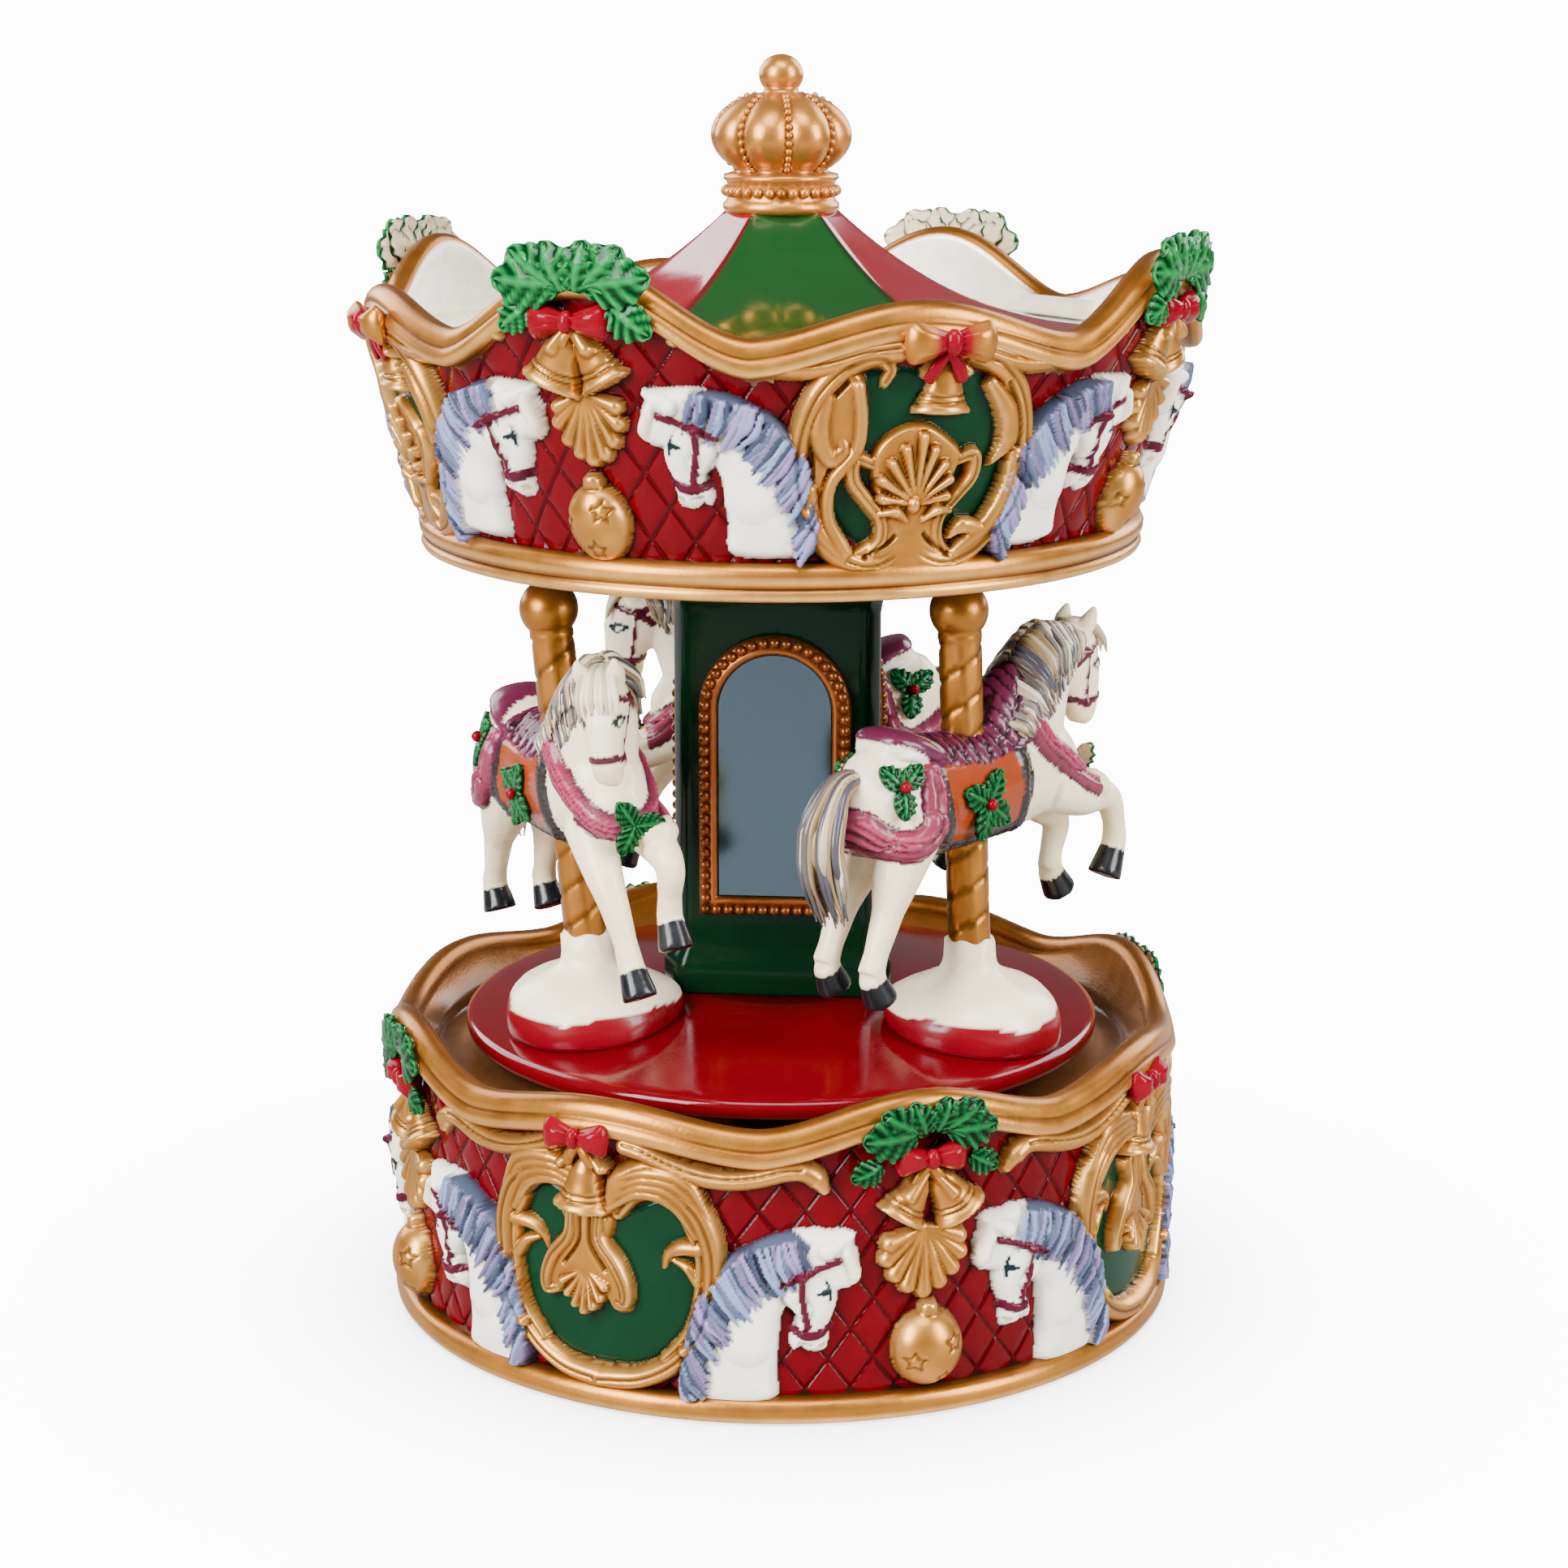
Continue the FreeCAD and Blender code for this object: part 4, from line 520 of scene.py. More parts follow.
def horse_head(drawing, draws):
    """An ivory horse head that looks to +u, with its mane, bridle and eye."""
    drawing.patch(HEAD_OUTLINE, 1.5, IVORY, edge=1.4, dome=1.0, steps=4)
    drawing.roll([(-0.4, 22.0), (1.6, 19.0), (1.2, 15.5), (0.6, 12.6)], [3.0, 2.6, 1.9, 1.9], 3.3, IVORY)
    drawing.roll([(-2.0, 19.6), (-0.6, 17.8)], [2.3, 2.0], 3.1, IVORY)
    drawing.roll([(-9.0, 12.0), (-8.0, 17.0), (-4.0, 22.0)], [4.6, 4.2, 3.0], 3.2, IVORY)
    drawing.roll([(2.6, 26.2), (6.2, 28.0)], [1.6, 0.7], 3.4, IVORY)
    drawing.roll([(5.4, 25.6), (6.5, 22.4), (5.8, 20.8)], [1.2, 1.2, 0.6], 2.9, CREAM)
    # Painted shade: the ground under the locks is a darker blue, seen in the gaps between them.
    drawing.patch(MANE_OUTLINE, 2.2, MANE_BLUE * 0.5, edge=0.9, dome=0.6)
    for _ in range(MANE_LOCKS):
        share = draws.random()
        crest = np.array([np.interp(share, [0, 0.3, 0.65, 1], [-0.4, -9.0, -16.2, -18.2]),
                          np.interp(share, [0, 0.3, 0.65, 1], [28.2, 26.0, 17.8, 6.4])])
        fall = np.array([np.interp(share, [0, 0.5, 1], [1.6, 4.0, 2.4]) + draws.uniform(-0.5, 0.5),
                         -draws.uniform(4.4, 6.8)])
        bend = np.array([draws.uniform(-0.9, 0.1), draws.uniform(-0.3, 0.3)])
        paint = draws.choice([MANE_BLUE * 0.8, MANE_BLUE * 0.35, MANE_LILAC * 0.9, MANE_BLUE * 1.8,
                              MANE_LILAC * 1.5])
        drawing.roll([crest, crest + fall * 0.5 + bend, crest + fall], [0.35, 0.55, 0.25], 0.9, paint,
                     base=2.3 + 0.5 * draws.random())
    drawing.groove([(-3.8, 19.2), (-2.2, 16.6), (-1.6, 13.6)], 0.5, 0.5)
    drawing.groove([(-1.4, 12.4), (0.4, 12.0)], 0.3, 0.4, shaded_to=0.5)
    drawing.strap([(1.6, 11.9), (2.2, 12.0)], 0.35, -0.3, TAN)
    drawing.strap([(-3.9, 21.5), (-1.1, 22.9), (1.8, 24.0), (4.2, 24.8)], [0.4, 0.7, 0.5, 0.6], 0.45, MAROON)
    drawing.strap([(-1.0, 22.8), (-0.9, 19.0), (-0.2, 15.0)], [0.6, 0.5, 0.6], 0.45, MAROON)
    drawing.strap([(-2.3, 14.2), (0.2, 13.6), (3.0, 14.4)], [0.6, 0.8, 0.7], 0.45, MAROON)
    drawing.strap([(-1.05, 22.8), (-0.95, 22.8)], 0.9, 0.5, MAROON)
    drawing.strap([(1.3, 20.2), (2.7, 20.4)], [0.3, 0.55], 0.15, INK)
    drawing.strap([(2.4, 21.9), (2.8, 20.6), (3.0, 19.0)], [0.16, 0.34, 0.2], 0.15, INK)


print("head drawing ready")

# %% [markdown]
# ### The frame on the base
#
# The frame on the base is a green field between scrolls, with two fluted humps above it and a shell
# drop that hangs from a bell. A scroll could be a bevelled curve, but on a casting it grows out of its
# ground, so it is a roll that swells and tapers, with a second, thinner roll inside.


# %% The frame on the base
FIELD_GREEN = pot("022c16")
SIDES = (-1, 1)


def scroll(drawing, points, width, rise=2.4, base=0.3, edge=None):
    """A gilded scroll, with a scratched line along it when an edge is given."""
    drawing.roll(points, width, rise, GOLD, 1.0, base=base)
    if edge:
        drawing.groove(points, edge, 0.45, shaded_to=0.55)


def to_side(side, points):
    """A path drawn for the right half, or turned over for the left."""
    return [(side * x, y) for x, y in points]


def base_cartouche(drawing):
    """The base's frame: field, scrolls, fluted humps, shell drop and bell."""
    field = [(-15.0, 0.0), (-14.4, 6.0), (-13.4, 10.6), (-9.4, 12.4), (-4.0, 10.0), (0.0, 8.6), (4.4, 10.2),
             (9.4, 12.6), (13.8, 10.6), (15.2, 5.0), (14.8, -2.0), (12.4, -8.4), (7.0, -13.0), (0.0, -14.0),
             (-7.0, -13.2), (-12.4, -8.6)]
    drawing.patch(field, 0.5, FIELD_GREEN, edge=1.4, press=True)
    for side in SIDES:
        scroll(drawing, to_side(side, [(2.6, 9.4), (5.6, 13.0), (10.2, 14.0), (14.4, 11.8), (16.8, 6.4),
                                       (17.0, 0.0), (15.4, -6.6), (11.8, -11.6), (6.4, -14.8), (0.0, -15.8)]),
               [1.0, 1.5, 2.0, 2.1, 2.0, 1.8, 1.6, 1.7, 1.8, 1.9], 2.9, edge=0.5)
        scroll(drawing, to_side(side, [(13.0, 9.6), (15.0, 4.6), (14.8, -1.6), (13.2, -7.2), (9.8, -11.4)]),
               0.75, 1.9)
        scroll(drawing, to_side(side, [(15.2, 5.6), (12.4, 5.4), (10.4, 4.2), (9.7, 2.2)]),
               [1.5, 1.2, 0.8, 0.3], 2.2)
        scroll(drawing, to_side(side, [(15.0, 0.4), (13.2, 2.6), (11.0, 3.4)]), [1.1, 0.9, 0.4], 2.0)
        scroll(drawing, to_side(side, [(13.0, -9.6), (14.6, -8.6)]), [1.2, 0.9], 3.2)
    for side, out in ((-1, 0.0), (1, 1.0)):
        hump = [(0.6, 8.6), (0.8, 15.0), (4.6, 18.0), (8.6, 18.2 + out), (13.4, 16.4 + out),
                (17.2, 10.0 + out),
                (17.6, 2.0), (15.2, 3.0), (14.2, 8.0), (11.0, 12.0), (6.4, 12.4), (3.4, 10.0)]
        drawing.patch(to_side(side, hump), 1.9, GOLD, 1.0, edge=1.4, dome=0.7)
        for k in range(4):
            flute = [(1.6 + 0.5 * k, 10.4 + 1.6 * k), (6.4 + 0.5 * k, 13.4 + 1.1 * k),
                     (11.4 + 0.7 * k, 12.4 + 1.1 * k), (14.8 + 0.6 * k, 7.6 + k)]
            scroll(drawing, to_side(side, flute), [0.4, 0.95, 1.0, 0.5], 1.3, base=1.9)
    middle = Drawing(drawing.relief, *(drawing.origin - [2.4, 0.0]))
    middle.patch([(-4.4, 9.6), (-3.7, 5.9), (-6.0, 3.9), (-7.5, 0.4), (-7.2, -3.2), (-5.0, -4.4),
                  (-2.9, -3.4),
                  (-1.2, -6.2), (1.2, -6.2), (2.6, -3.6), (4.4, -5.6), (7.2, -5.2), (7.7, -1.7), (5.7, 1.4),
                  (4.2, 4.4), (4.2, 9.6)], 1.6, GOLD, 1.0, edge=1.2, dome=0.6)
    for side in SIDES:
        scroll(middle, to_side(side, [(2.4, 9.0), (2.6, 5.4), (5.2, 2.0), (6.6, -1.4), (6.4, -3.6),
                                      (5.0, -3.4)]),
               [1.0, 1.2, 1.3, 1.2, 1.1, 0.9], 2.9, edge=0.4)
        middle.groove(to_side(side, [(0.8, 8.4), (1.0, 4.6), (3.4, 1.0)]), 0.4, 0.7, shaded_to=0.5)
    shell(middle, (0.0, 0.6), [(-3.4, -1.6), (-2.6, -3.4), (-1.4, -4.8), (0.0, -5.6), (1.4, -4.8),
                               (2.6, -3.4), (3.4, -1.6)], width=0.85, base=1.2)
    bell(middle, (-0.6, 9.4), (0.2, 17.6), 1.05, base=1.4)
    for side in SIDES:
        scroll(middle, to_side(side, [(0.4, 19.0), (3.2, 16.4)]), [0.5, 1.0], 2.4, base=1.2)


print("frame on the base drawn")

# %% [markdown]
# ### The frame on the canopy
#
# The canopy's frame is rounder: leafy scrolls run up both sides and a palmette rises from its foot,
# under a bell. The broad leaves are puffed patches, the veins are scratched into them, and thinner
# scrolls flow over the top. The two sides differ a little, as the modeller's hand left them.


# %% The frame on the canopy
def canopy_cartouche(drawing):
    """The canopy's frame: field, scrolls, leaves, palmette and bell."""
    field = [(-13.0, -1.0), (-12.0, 6.0), (-8.6, 11.0), (-3.4, 12.4), (0.0, 12.0), (3.4, 12.4), (8.6, 11.0),
             (12.6, 6.0), (13.8, -1.0), (11.4, -7.4), (6.0, -11.4), (0.0, -11.8), (-6.0, -11.4),
             (-11.0, -7.4)]
    drawing.patch(field, 0.4, FIELD_GREEN, edge=1.4, press=True)
    for side in SIDES:
        scroll(drawing, to_side(side, [(5.0, 10.4), (4.4, 12.2), (6.4, 13.6), (10.4, 12.4), (14.0, 8.6),
                                       (16.0, 3.0), (16.2, -2.6), (14.6, -7.6), (10.8, -11.8), (6.0, -13.6),
                                       (2.0, -12.2), (0.4, -8.6)]),
               [0.7, 0.9, 1.3, 1.7, 1.8, 1.7, 1.6, 1.6, 1.6, 1.5, 1.3, 1.0], 2.6, edge=0.5)
        scroll(drawing, to_side(side, [(14.6, -6.4), (15.6, -5.6)]), [1.1, 0.9], 3.0)
        scroll(drawing, to_side(side, [(5.4, -0.4), (8.4, 0.6), (8.6, -2.2), (6.4, -5.0), (4.4, -7.4),
                                       (4.2, -10.0), (5.6, -12.0)]),
               [0.7, 1.2, 1.2, 1.1, 1.1, 1.2, 1.0], 2.3, edge=0.35)
    left_leaf = [(-14.6, 6.8), (-10.4, 11.8), (-7.6, 11.2), (-7.0, 6.0), (-8.4, 1.8), (-11.4, -0.4),
                 (-12.0, -5.2), (-9.4, -9.4), (-8.6, -12.0), (-13.2, -9.6), (-15.8, -4.2), (-16.2, 1.8)]
    right_leaf = [(10.2, 12.0), (13.0, 7.0), (11.8, 2.4), (13.8, -1.0), (12.8, -7.0), (10.4, -10.4),
                  (15.0, -7.2), (16.4, 0.0), (15.4, 8.0)]
    foot_leaf = [(-13.0, -9.6), (-9.4, -11.4), (-5.6, -9.6), (-4.0, -6.0), (4.2, -6.0), (5.4, -10.0),
                 (9.0, -11.6), (13.0, -9.4), (9.6, -14.2), (0.0, -15.4), (-9.6, -14.4)]
    for leaf_shape in (left_leaf, right_leaf, foot_leaf):
        drawing.patch(leaf_shape, 1.5, GOLD, 1.0, edge=1.1, dome=0.5)
    for vein in ([(-10.0, 10.6), (-13.8, 6.0), (-14.4, 0.0), (-13.6, -6.0), (-10.0, -11.4)],
                 [(12.0, 10.0), (14.6, 5.0), (15.0, -1.0), (13.4, -7.4)],
                 [(-6.4, -12.4), (-2.4, -10.0), (-1.2, -7.0)], [(6.4, -12.6), (2.6, -10.0), (1.4, -7.0)]):
        drawing.groove(vein, 0.5, 0.7, shaded_to=0.45)
    flow = [([(-8.6, 10.0), (-8.0, 5.4), (-8.6, 1.4), (-11.6, -2.4), (-12.0, -7.0), (-9.4, -11.6)],
             [0.9, 1.0, 0.9, 0.9, 1.1, 1.2]),
            ([(-12.6, 8.6), (-13.4, 4.0), (-12.0, 0.8), (-10.2, 1.6), (-10.6, 3.4)],
             [1.0, 1.5, 1.3, 1.0, 0.6]),
            ([(-14.6, -3.4), (-13.6, -8.2), (-9.6, -12.4)], [1.1, 1.3, 1.0]),
            ([(9.6, 9.8), (12.4, 6.4), (13.4, 2.4), (11.4, -0.6)], [0.9, 1.5, 1.4, 0.4]),
            ([(15.0, 0.4), (14.4, -4.4), (12.0, -8.8), (7.6, -12.4)], [1.1, 1.4, 1.4, 1.0]),
            ([(11.4, -9.6), (8.0, -8.8), (6.2, -10.4)], [1.1, 1.2, 0.3])]
    for path, width in flow:
        scroll(drawing, path, width, 1.6, base=1.4)
    palmette = [(-6.4, 1.2), (-3.8, 4.2), (0.6, 5.4), (4.6, 3.4), (7.0, 0.8), (5.8, -3.4), (4.4, -7.0),
                (2.0, -10.4), (-2.0, -10.4), (-4.6, -7.0), (-6.0, -3.4)]
    drawing.patch(palmette, 1.7, GOLD, 1.0, edge=1.1, dome=0.5)
    shell(drawing, (0.4, -5.6), [(-4.6, -4.6), (-4.8, -2.2), (-3.6, 0.0), (-1.8, 1.8), (0.5, 3.4), (2.2, 1.6),
                                 (3.8, -0.4), (4.8, -2.4), (4.6, -4.6)], width=0.8, base=1.5)
    for side in SIDES:
        scroll(drawing, [(side * 1.2 + 0.4, -7.6), (side * 3.0 + 0.4, -6.4), (side * 5.2 + 0.4, -6.6)],
               [0.5, 0.9, 0.5], 2.6, base=1.2)
    drawing.roll([(0.0, -5.4), (0.0, -5.8)], 1.2, 2.9, GOLD, 1.0, base=0.5)
    bell(drawing, (2.9, 6.0), (3.1, 13.4), 0.95, base=0.9)
    for side in SIDES:
        scroll(drawing, [(side * 0.6 + 3.0, 13.6), (side * 2.6 + 3.0, 11.6)], [0.5, 0.9], 2.2, base=0.8)


print("frame on the canopy drawn")

# %% [markdown]
# ### The holly columns
#
# Between two heads hangs a column: two bells on short ribbons, a shell and a ball with engraved stars.
# Its bow and its leaves stand free of the wall, so they are pieces of their own and come later.


# %% The holly columns
def base_holly_column(drawing):
    """Bells, shell and ball under the base's holly."""
    bell(drawing, (-3.4, 29.8), (0.6, 36.4), 0.9, base=1.0)
    bell(drawing, (6.6, 29.8), (2.4, 36.6), 1.0, base=1.0)
    for side in SIDES:
        scroll(drawing, [(1.2 + side * 0.6, 36.6), (1.2 + side * 3.2, 33.6)], [0.6, 1.3], 2.2, base=1.4)
    shell(drawing, (0.8, 28.4), [(-4.6, 26.4), (-5.0, 24.2), (-3.8, 21.8), (-1.9, 20.0), (0.5, 19.0),
                                 (2.9, 20.0), (4.9, 21.8), (6.1, 24.0), (6.0, 26.4)], width=1.45)
    ornament_ball(drawing, 1.3, 10.1, 5.5, [(3.0, 1.2, 1.5), (-2.9, -1.0, 1.5), (1.8, -4.2, 1.2)])


def canopy_holly_column(drawing):
    """Bells, shell and ball under the canopy's holly."""
    bell(drawing, (-4.8, 145.8), (-1.4, 153.2), 1.04, base=1.0)
    bell(drawing, (3.6, 146.2), (0.4, 152.8), 0.85, base=1.0)
    for side in SIDES:
        scroll(drawing, [(-0.6 + side * 0.6, 153.6), (-0.6 + side * 2.4, 151.0)], [0.6, 1.2], 2.2, base=1.4)
    shell(drawing, (-0.2, 145.2), [(-4.2, 143.2), (-4.5, 141.2), (-3.4, 139.0), (-1.8, 137.4), (0.0, 136.6),
                                   (1.9, 137.4), (3.4, 139.2), (4.4, 141.4), (4.2, 143.6)], width=1.2)
    ornament_ball(drawing, -0.6, 128.0, 5.0, [(2.0, 1.9, 1.4), (0.4, -3.4, 1.3), (-4.0, 0.2, 1.2)])


print("holly columns drawn")

# %% [markdown]
# ## The quilted walls
#
# A wall is a quarter of the drum, unrolled: u runs round it and v runs up it. The ground is quilted,
# with scratched diamonds that count out evenly round the drum, so the four quarters meet. The sheet
# is modelled a little wider than a quarter, which gives the right surface direction along the seams.


# %% The quilted walls
GRAIN = 0.25
SEAM = 2
WAVE_SHAPE = 1.65
QUILT_RISE = 4.5


class Wall:
    """One storey of the casting: where a place (u, v) with a height lies in space."""

    def __init__(self, reference, radii, heights, holly_angle, rim):
        self.reference = reference
        self.radii = radii
        self.heights = heights
        self.holly_angle = holly_angle
        self.low, self.over_cartouche, self.over_holly, self.tilt = rim
        self.quarter = reference * math.pi / 2

    def radius(self, v):
        """The drum's radius at a height."""
        return np.interp(v, self.heights, self.radii)

    def wave(self, angle):
        """The waved rim's height at an angle in degrees from the front."""
        beat = np.cos(np.radians(4 * (angle - self.holly_angle)))
        lift = self.over_holly * np.maximum(beat, 0) ** WAVE_SHAPE
        lift = lift + self.over_cartouche * np.maximum(-beat, 0) ** WAVE_SHAPE
        return self.low + lift + self.tilt * np.cos(np.radians(angle))

    def space(self, u, v, height, quarter=0):
        """Points in space for places on the wall, u being measured from the holly column."""
        turn = np.radians(self.holly_angle + 90 * quarter) + u / self.reference
        reach = self.radius(v) + height
        foot = self.heights[0]
        lean = self.tilt * np.cos(turn) * np.clip((v - foot) / (self.low - foot), 0, 1)
        return np.stack([reach * np.sin(turn), -reach * np.cos(turn), v + lean], -1)


base_wall = Wall(60.0, [58.4, 58.4], [0.0, 50.0], 19.4, (43.9, 2.9, 4.9, 0.0))
canopy_wall = Wall(57.0, [52.4, 60.2, 60.8], [124.0, 152.0, 170.0], -26.5, (152.6, 4.9, 10.2, 2.2))


def quilt(relief, diamonds, rise):
    """The quilted ground: puffed diamonds between scratched lines, with painted shade along the lines."""
    across = relief.around / (2 * diamonds)
    steep = math.hypot(1 / across, 1 / rise)
    nearest = np.full(relief.u.size, 1e9)
    for slant in (1, -1):
        count = relief.u / across + slant * (relief.v / rise)
        nearest = np.minimum(nearest, np.abs((count + 1) % 2 - 1) / steep)
    relief.height += 0.22 * (1 - np.exp(-(nearest / 1.1) ** 2)) - 0.28 * np.maximum(0, 1 - nearest / 0.35)
    # Painted shade: the paint darkens along the scratched lines.
    relief.paint *= (0.45 + 0.55 * np.minimum(1, nearest / 0.5))[:, None]


def wall_quarter(wall, foot, under_rim, diamonds, dress):
    """A dressed quarter of a wall, modelled a little past its seams: the relief and its rows and columns."""
    columns = int(wall.quarter / GRAIN) + 1 + 2 * SEAM
    step = wall.quarter / (columns - 1 - 2 * SEAM)
    across = (np.arange(columns) - SEAM) * step - wall.quarter / 2
    angle = wall.holly_angle + np.degrees(across / wall.reference)
    level = wall.wave(angle) - wall.tilt * np.cos(np.radians(angle))
    rows = int((level.mean() - under_rim - foot) / GRAIN)
    share = np.linspace(0, 1, rows)[:, None]
    u = np.tile(across, (rows, 1))
    v = foot + share * (level - under_rim - foot)
    relief = Relief(u, v, CRIMSON, around=wall.quarter)
    quilt(relief, diamonds, QUILT_RISE)
    dress(relief)
    relief.paint_shade_and_highlights(u.shape)
    return relief, u.shape


def stand_quarters(name, wall, made, body, slot, nodes):
    """Stands one dressed quarter four times round the drum, cropped at its seams."""
    relief, (rows, columns) = made
    keep = slice(SEAM, columns - SEAM)
    faces = grid_faces(rows, columns - 2 * SEAM)

    def cropped(field):
        return field.reshape(rows, columns, -1)[:, keep].reshape(rows * (columns - 2 * SEAM), -1)

    for quarter in range(4):
        points = wall.space(relief.u, relief.v, relief.height, quarter).reshape(rows, columns, 3)
        facing = np.cross(np.gradient(points, axis=1), np.gradient(points, axis=0))
        facing /= np.linalg.norm(facing, axis=2, keepdims=True)
        piece("%s_%d" % (name, quarter + 1), cropped(points), faces, cropped(relief.paint),
              cropped(relief.gilt)[:, 0], casting_finish, body, slot, nodes, cropped(facing))
    print(name, "quarter:", rows * columns, "points")


def ribbon(relief, points):
    """The thinner scroll under the rim, on both sides of the holly, with its ends curled down."""
    for side in SIDES:
        path = to_side(side, points)
        relief.roll(path, [1.6] * (len(points) - 2) + [1.7, 1.0], 2.7, GOLD, 1.0, base=0.3)
        relief.groove([(u, v + 0.5) for u, v in path[:-2]], 0.35, 0.5, shaded_to=0.6)


def dress_base(relief):
    """What stands on a quarter of the base."""
    ribbon(relief, [(43.0, 40.4), (40.0, 39.7), (36.0, 38.1), (32.0, 36.9), (28.0, 36.5), (24.0, 36.9),
                    (20.0, 37.9), (17.4, 38.0), (15.4, 37.0), (14.2, 35.2)])
    heads = random.Random(5)
    for side in SIDES:
        horse_head(Drawing(relief, side * 16.4, 0.0, (-side, 1.0)), heads)
    base_cartouche(Drawing(relief, relief.around / 2, 20.4))
    base_holly_column(Drawing(relief, 0.0, 0.0))


def dress_canopy(relief):
    """What stands on a quarter of the canopy."""
    ribbon(relief, [(41.0, 151.0), (36.4, 150.4), (32.4, 149.3), (28.4, 148.9), (24.0, 149.4), (20.0, 151.0),
                    (17.0, 152.6), (14.6, 153.3), (12.8, 152.4)])
    heads = random.Random(8)
    for side in SIDES:
        horse_head(Drawing(relief, side * 14.4, 121.9, (-side * 0.95, 0.84)), heads)
    canopy_cartouche(Drawing(relief, relief.around / 2, 136.6))
    canopy_holly_column(Drawing(relief, 0.0, 0.0))


stand_quarters("base_wall", base_wall, wall_quarter(base_wall, 3.6, 3.6, 14, dress_base), "base",
               "crimson_lacquer", ["base_drum", "base_cartouches", "base_horse_heads", "base_sprays",
                                   "base_balls"])
stand_quarters("canopy_wall", canopy_wall, wall_quarter(canopy_wall, 122.6, 4.0, 13, dress_canopy),
               "carousel", "crimson_lacquer", ["canopy_valance", "canopy_cartouches",
                                               "canopy_horse_heads", "canopy_sprays", "canopy_balls"])

# %% [markdown]
# ## Rims, rings and foot
#
# The gold mouldings are one cross-section carried round the drum. The rim's upper part follows the
# wave, while the inside wall and the floor below it stay level, so each point of the section says
# whether its height is measured from the wave or from the table.


# %% Rims, rings and foot
WELL_BROWN = pot("6a4222")
# A softer painted highlight, on the outermost curve of the rim's roll.
GOLD_HALF_HIGHLIGHT = pot("cb9046")


def carried_round(name, section, wave, body, slot, finish, nodes=(), count=720):
    """A moulding: rows of (radius, height, follows the wave, paint, gilding), carried round."""
    angles = np.arange(count) * 360 / count
    turn = np.radians(angles)
    level = wave(angles)
    points, paint, gilt = [], [], []
    for radius, height, follows, colour, shine in section:
        z = level + height if follows else np.full(count, height)
        points.append(np.stack([radius * np.sin(turn), -radius * np.cos(turn), z], -1))
        paint.append(np.tile(colour, (count, 1)))
        gilt.append(np.full(count, shine))
    faces = grid_faces(len(section), count, closed=True, ring=True)
    made = piece(name, np.vstack(points), faces, np.vstack(paint), np.concatenate(gilt), finish, body, slot,
                 nodes)
    print(name, len(made.data.vertices), "points")
    return made


def rim_section(lip, top_paint, inside, floor):
    """A waved rim from under its roll, over its top and down its inside to the floor."""
    # Painted highlight: the bright and the softer highlight gold on the roll's outer curve. Painted shade:
    # the darker gold under the roll and in the groove above it.
    outer = [(-2.0, -5.3, GOLD), (-0.5, -5.4, DARK_GOLD), (0.5, -5.2, GOLD), (1.05, -4.7, GOLD_HIGHLIGHT),
             (1.3, -4.1, GOLD_HALF_HIGHLIGHT), (1.2, -3.4, GOLD), (0.85, -2.9, DARK_GOLD), (0.55, -2.6, DARK_GOLD * 0.7),
             (0.6, -2.3, GOLD), (0.55, -1.7, GOLD), (0.3, -1.0, GOLD), (-0.2, -0.4, top_paint),
             (-1.0, 0.0, top_paint), (-1.9, 0.0, top_paint), (-2.8, -0.35, top_paint),
             (-3.3, -1.0, top_paint)]
    section = [(lip + out, up, True, paint, 1.0) for out, up, paint in outer]
    section += [(lip - 3.6, -2.0, True, inside[0], inside[1]), (lip - 3.7, -3.0, True, inside[0], inside[1])]
    return section + floor


def level_ground(angle):
    """A wave of no height, for mouldings that stay level."""
    return np.zeros_like(angle)


def level_rows(paint, gilt, *places):
    """Rows of a section that stay level, in one paint: places are (radius, height)."""
    return [(radius, height, False, paint, gilt) for radius, height in places]


WELL = level_rows(WELL_BROWN, 0.2, (54.6, 40.4), (53.7, 39.0))
WELL += level_rows(WELL_BROWN, 0.0, (53.6, 38.0), (50.0, 37.99), (6.0, 37.98), (6.0, 37.7), (56.4, 37.7))
TRAY = level_rows(IVORY, 0.0, (57.2, 151.0))
TRAY += level_rows(CREAM, 0.0, (56.2, 149.3), (54.0, 149.05), (40.0, 149.0), (40.0, 146.6), (57.2, 146.6))
# On the foot and the ring, the highlight gold is a painted highlight on the outer curves, and the darker gold
# and the shade brown are painted shade below, inside, in the grooves and where the moulding meets the wall.
FOOT = level_rows(WELL_BROWN, 0.0, (54.8, 12.0), (54.8, 6.0))
FOOT += level_rows(DARK_GOLD, 1.0, (54.8, 0.3), (55.1, 0.0), (60.0, 0.0))
FOOT += level_rows(GOLD_HIGHLIGHT, 1.0, (60.7, 0.25), (61.1, 0.8))
FOOT += level_rows(GOLD, 1.0, (61.2, 1.5), (61.1, 2.4), (60.8, 3.1))
FOOT += level_rows(DARK_GOLD, 1.0, (60.2, 3.6)) + level_rows(DARK_GOLD * 0.7, 1.0, (59.4, 3.8))
FOOT += level_rows(SHADE_BROWN, 1.0, (58.5, 3.75))
RING = level_rows(DARK_GOLD, 1.0, (50.9, 121.0), (50.9, 118.1))
RING += level_rows(GOLD, 1.0, (51.2, 118.0), (53.4, 118.0))
RING += level_rows(GOLD_HIGHLIGHT, 1.0, (54.1, 118.3), (54.4, 118.9)) + level_rows(GOLD, 1.0, (54.2, 119.6))
RING += level_rows(SHADE_BROWN * 2, 1.0, (53.8, 119.9)) + level_rows(GOLD, 1.0, (54.1, 120.3))
RING += level_rows(GOLD_HIGHLIGHT, 1.0, (54.6, 121.0)) + level_rows(GOLD, 1.0, (54.7, 121.9), (54.3, 122.8))
RING += level_rows(DARK_GOLD, 1.0, (53.4, 123.4)) + level_rows(SHADE_BROWN, 1.0, (52.4, 123.5))
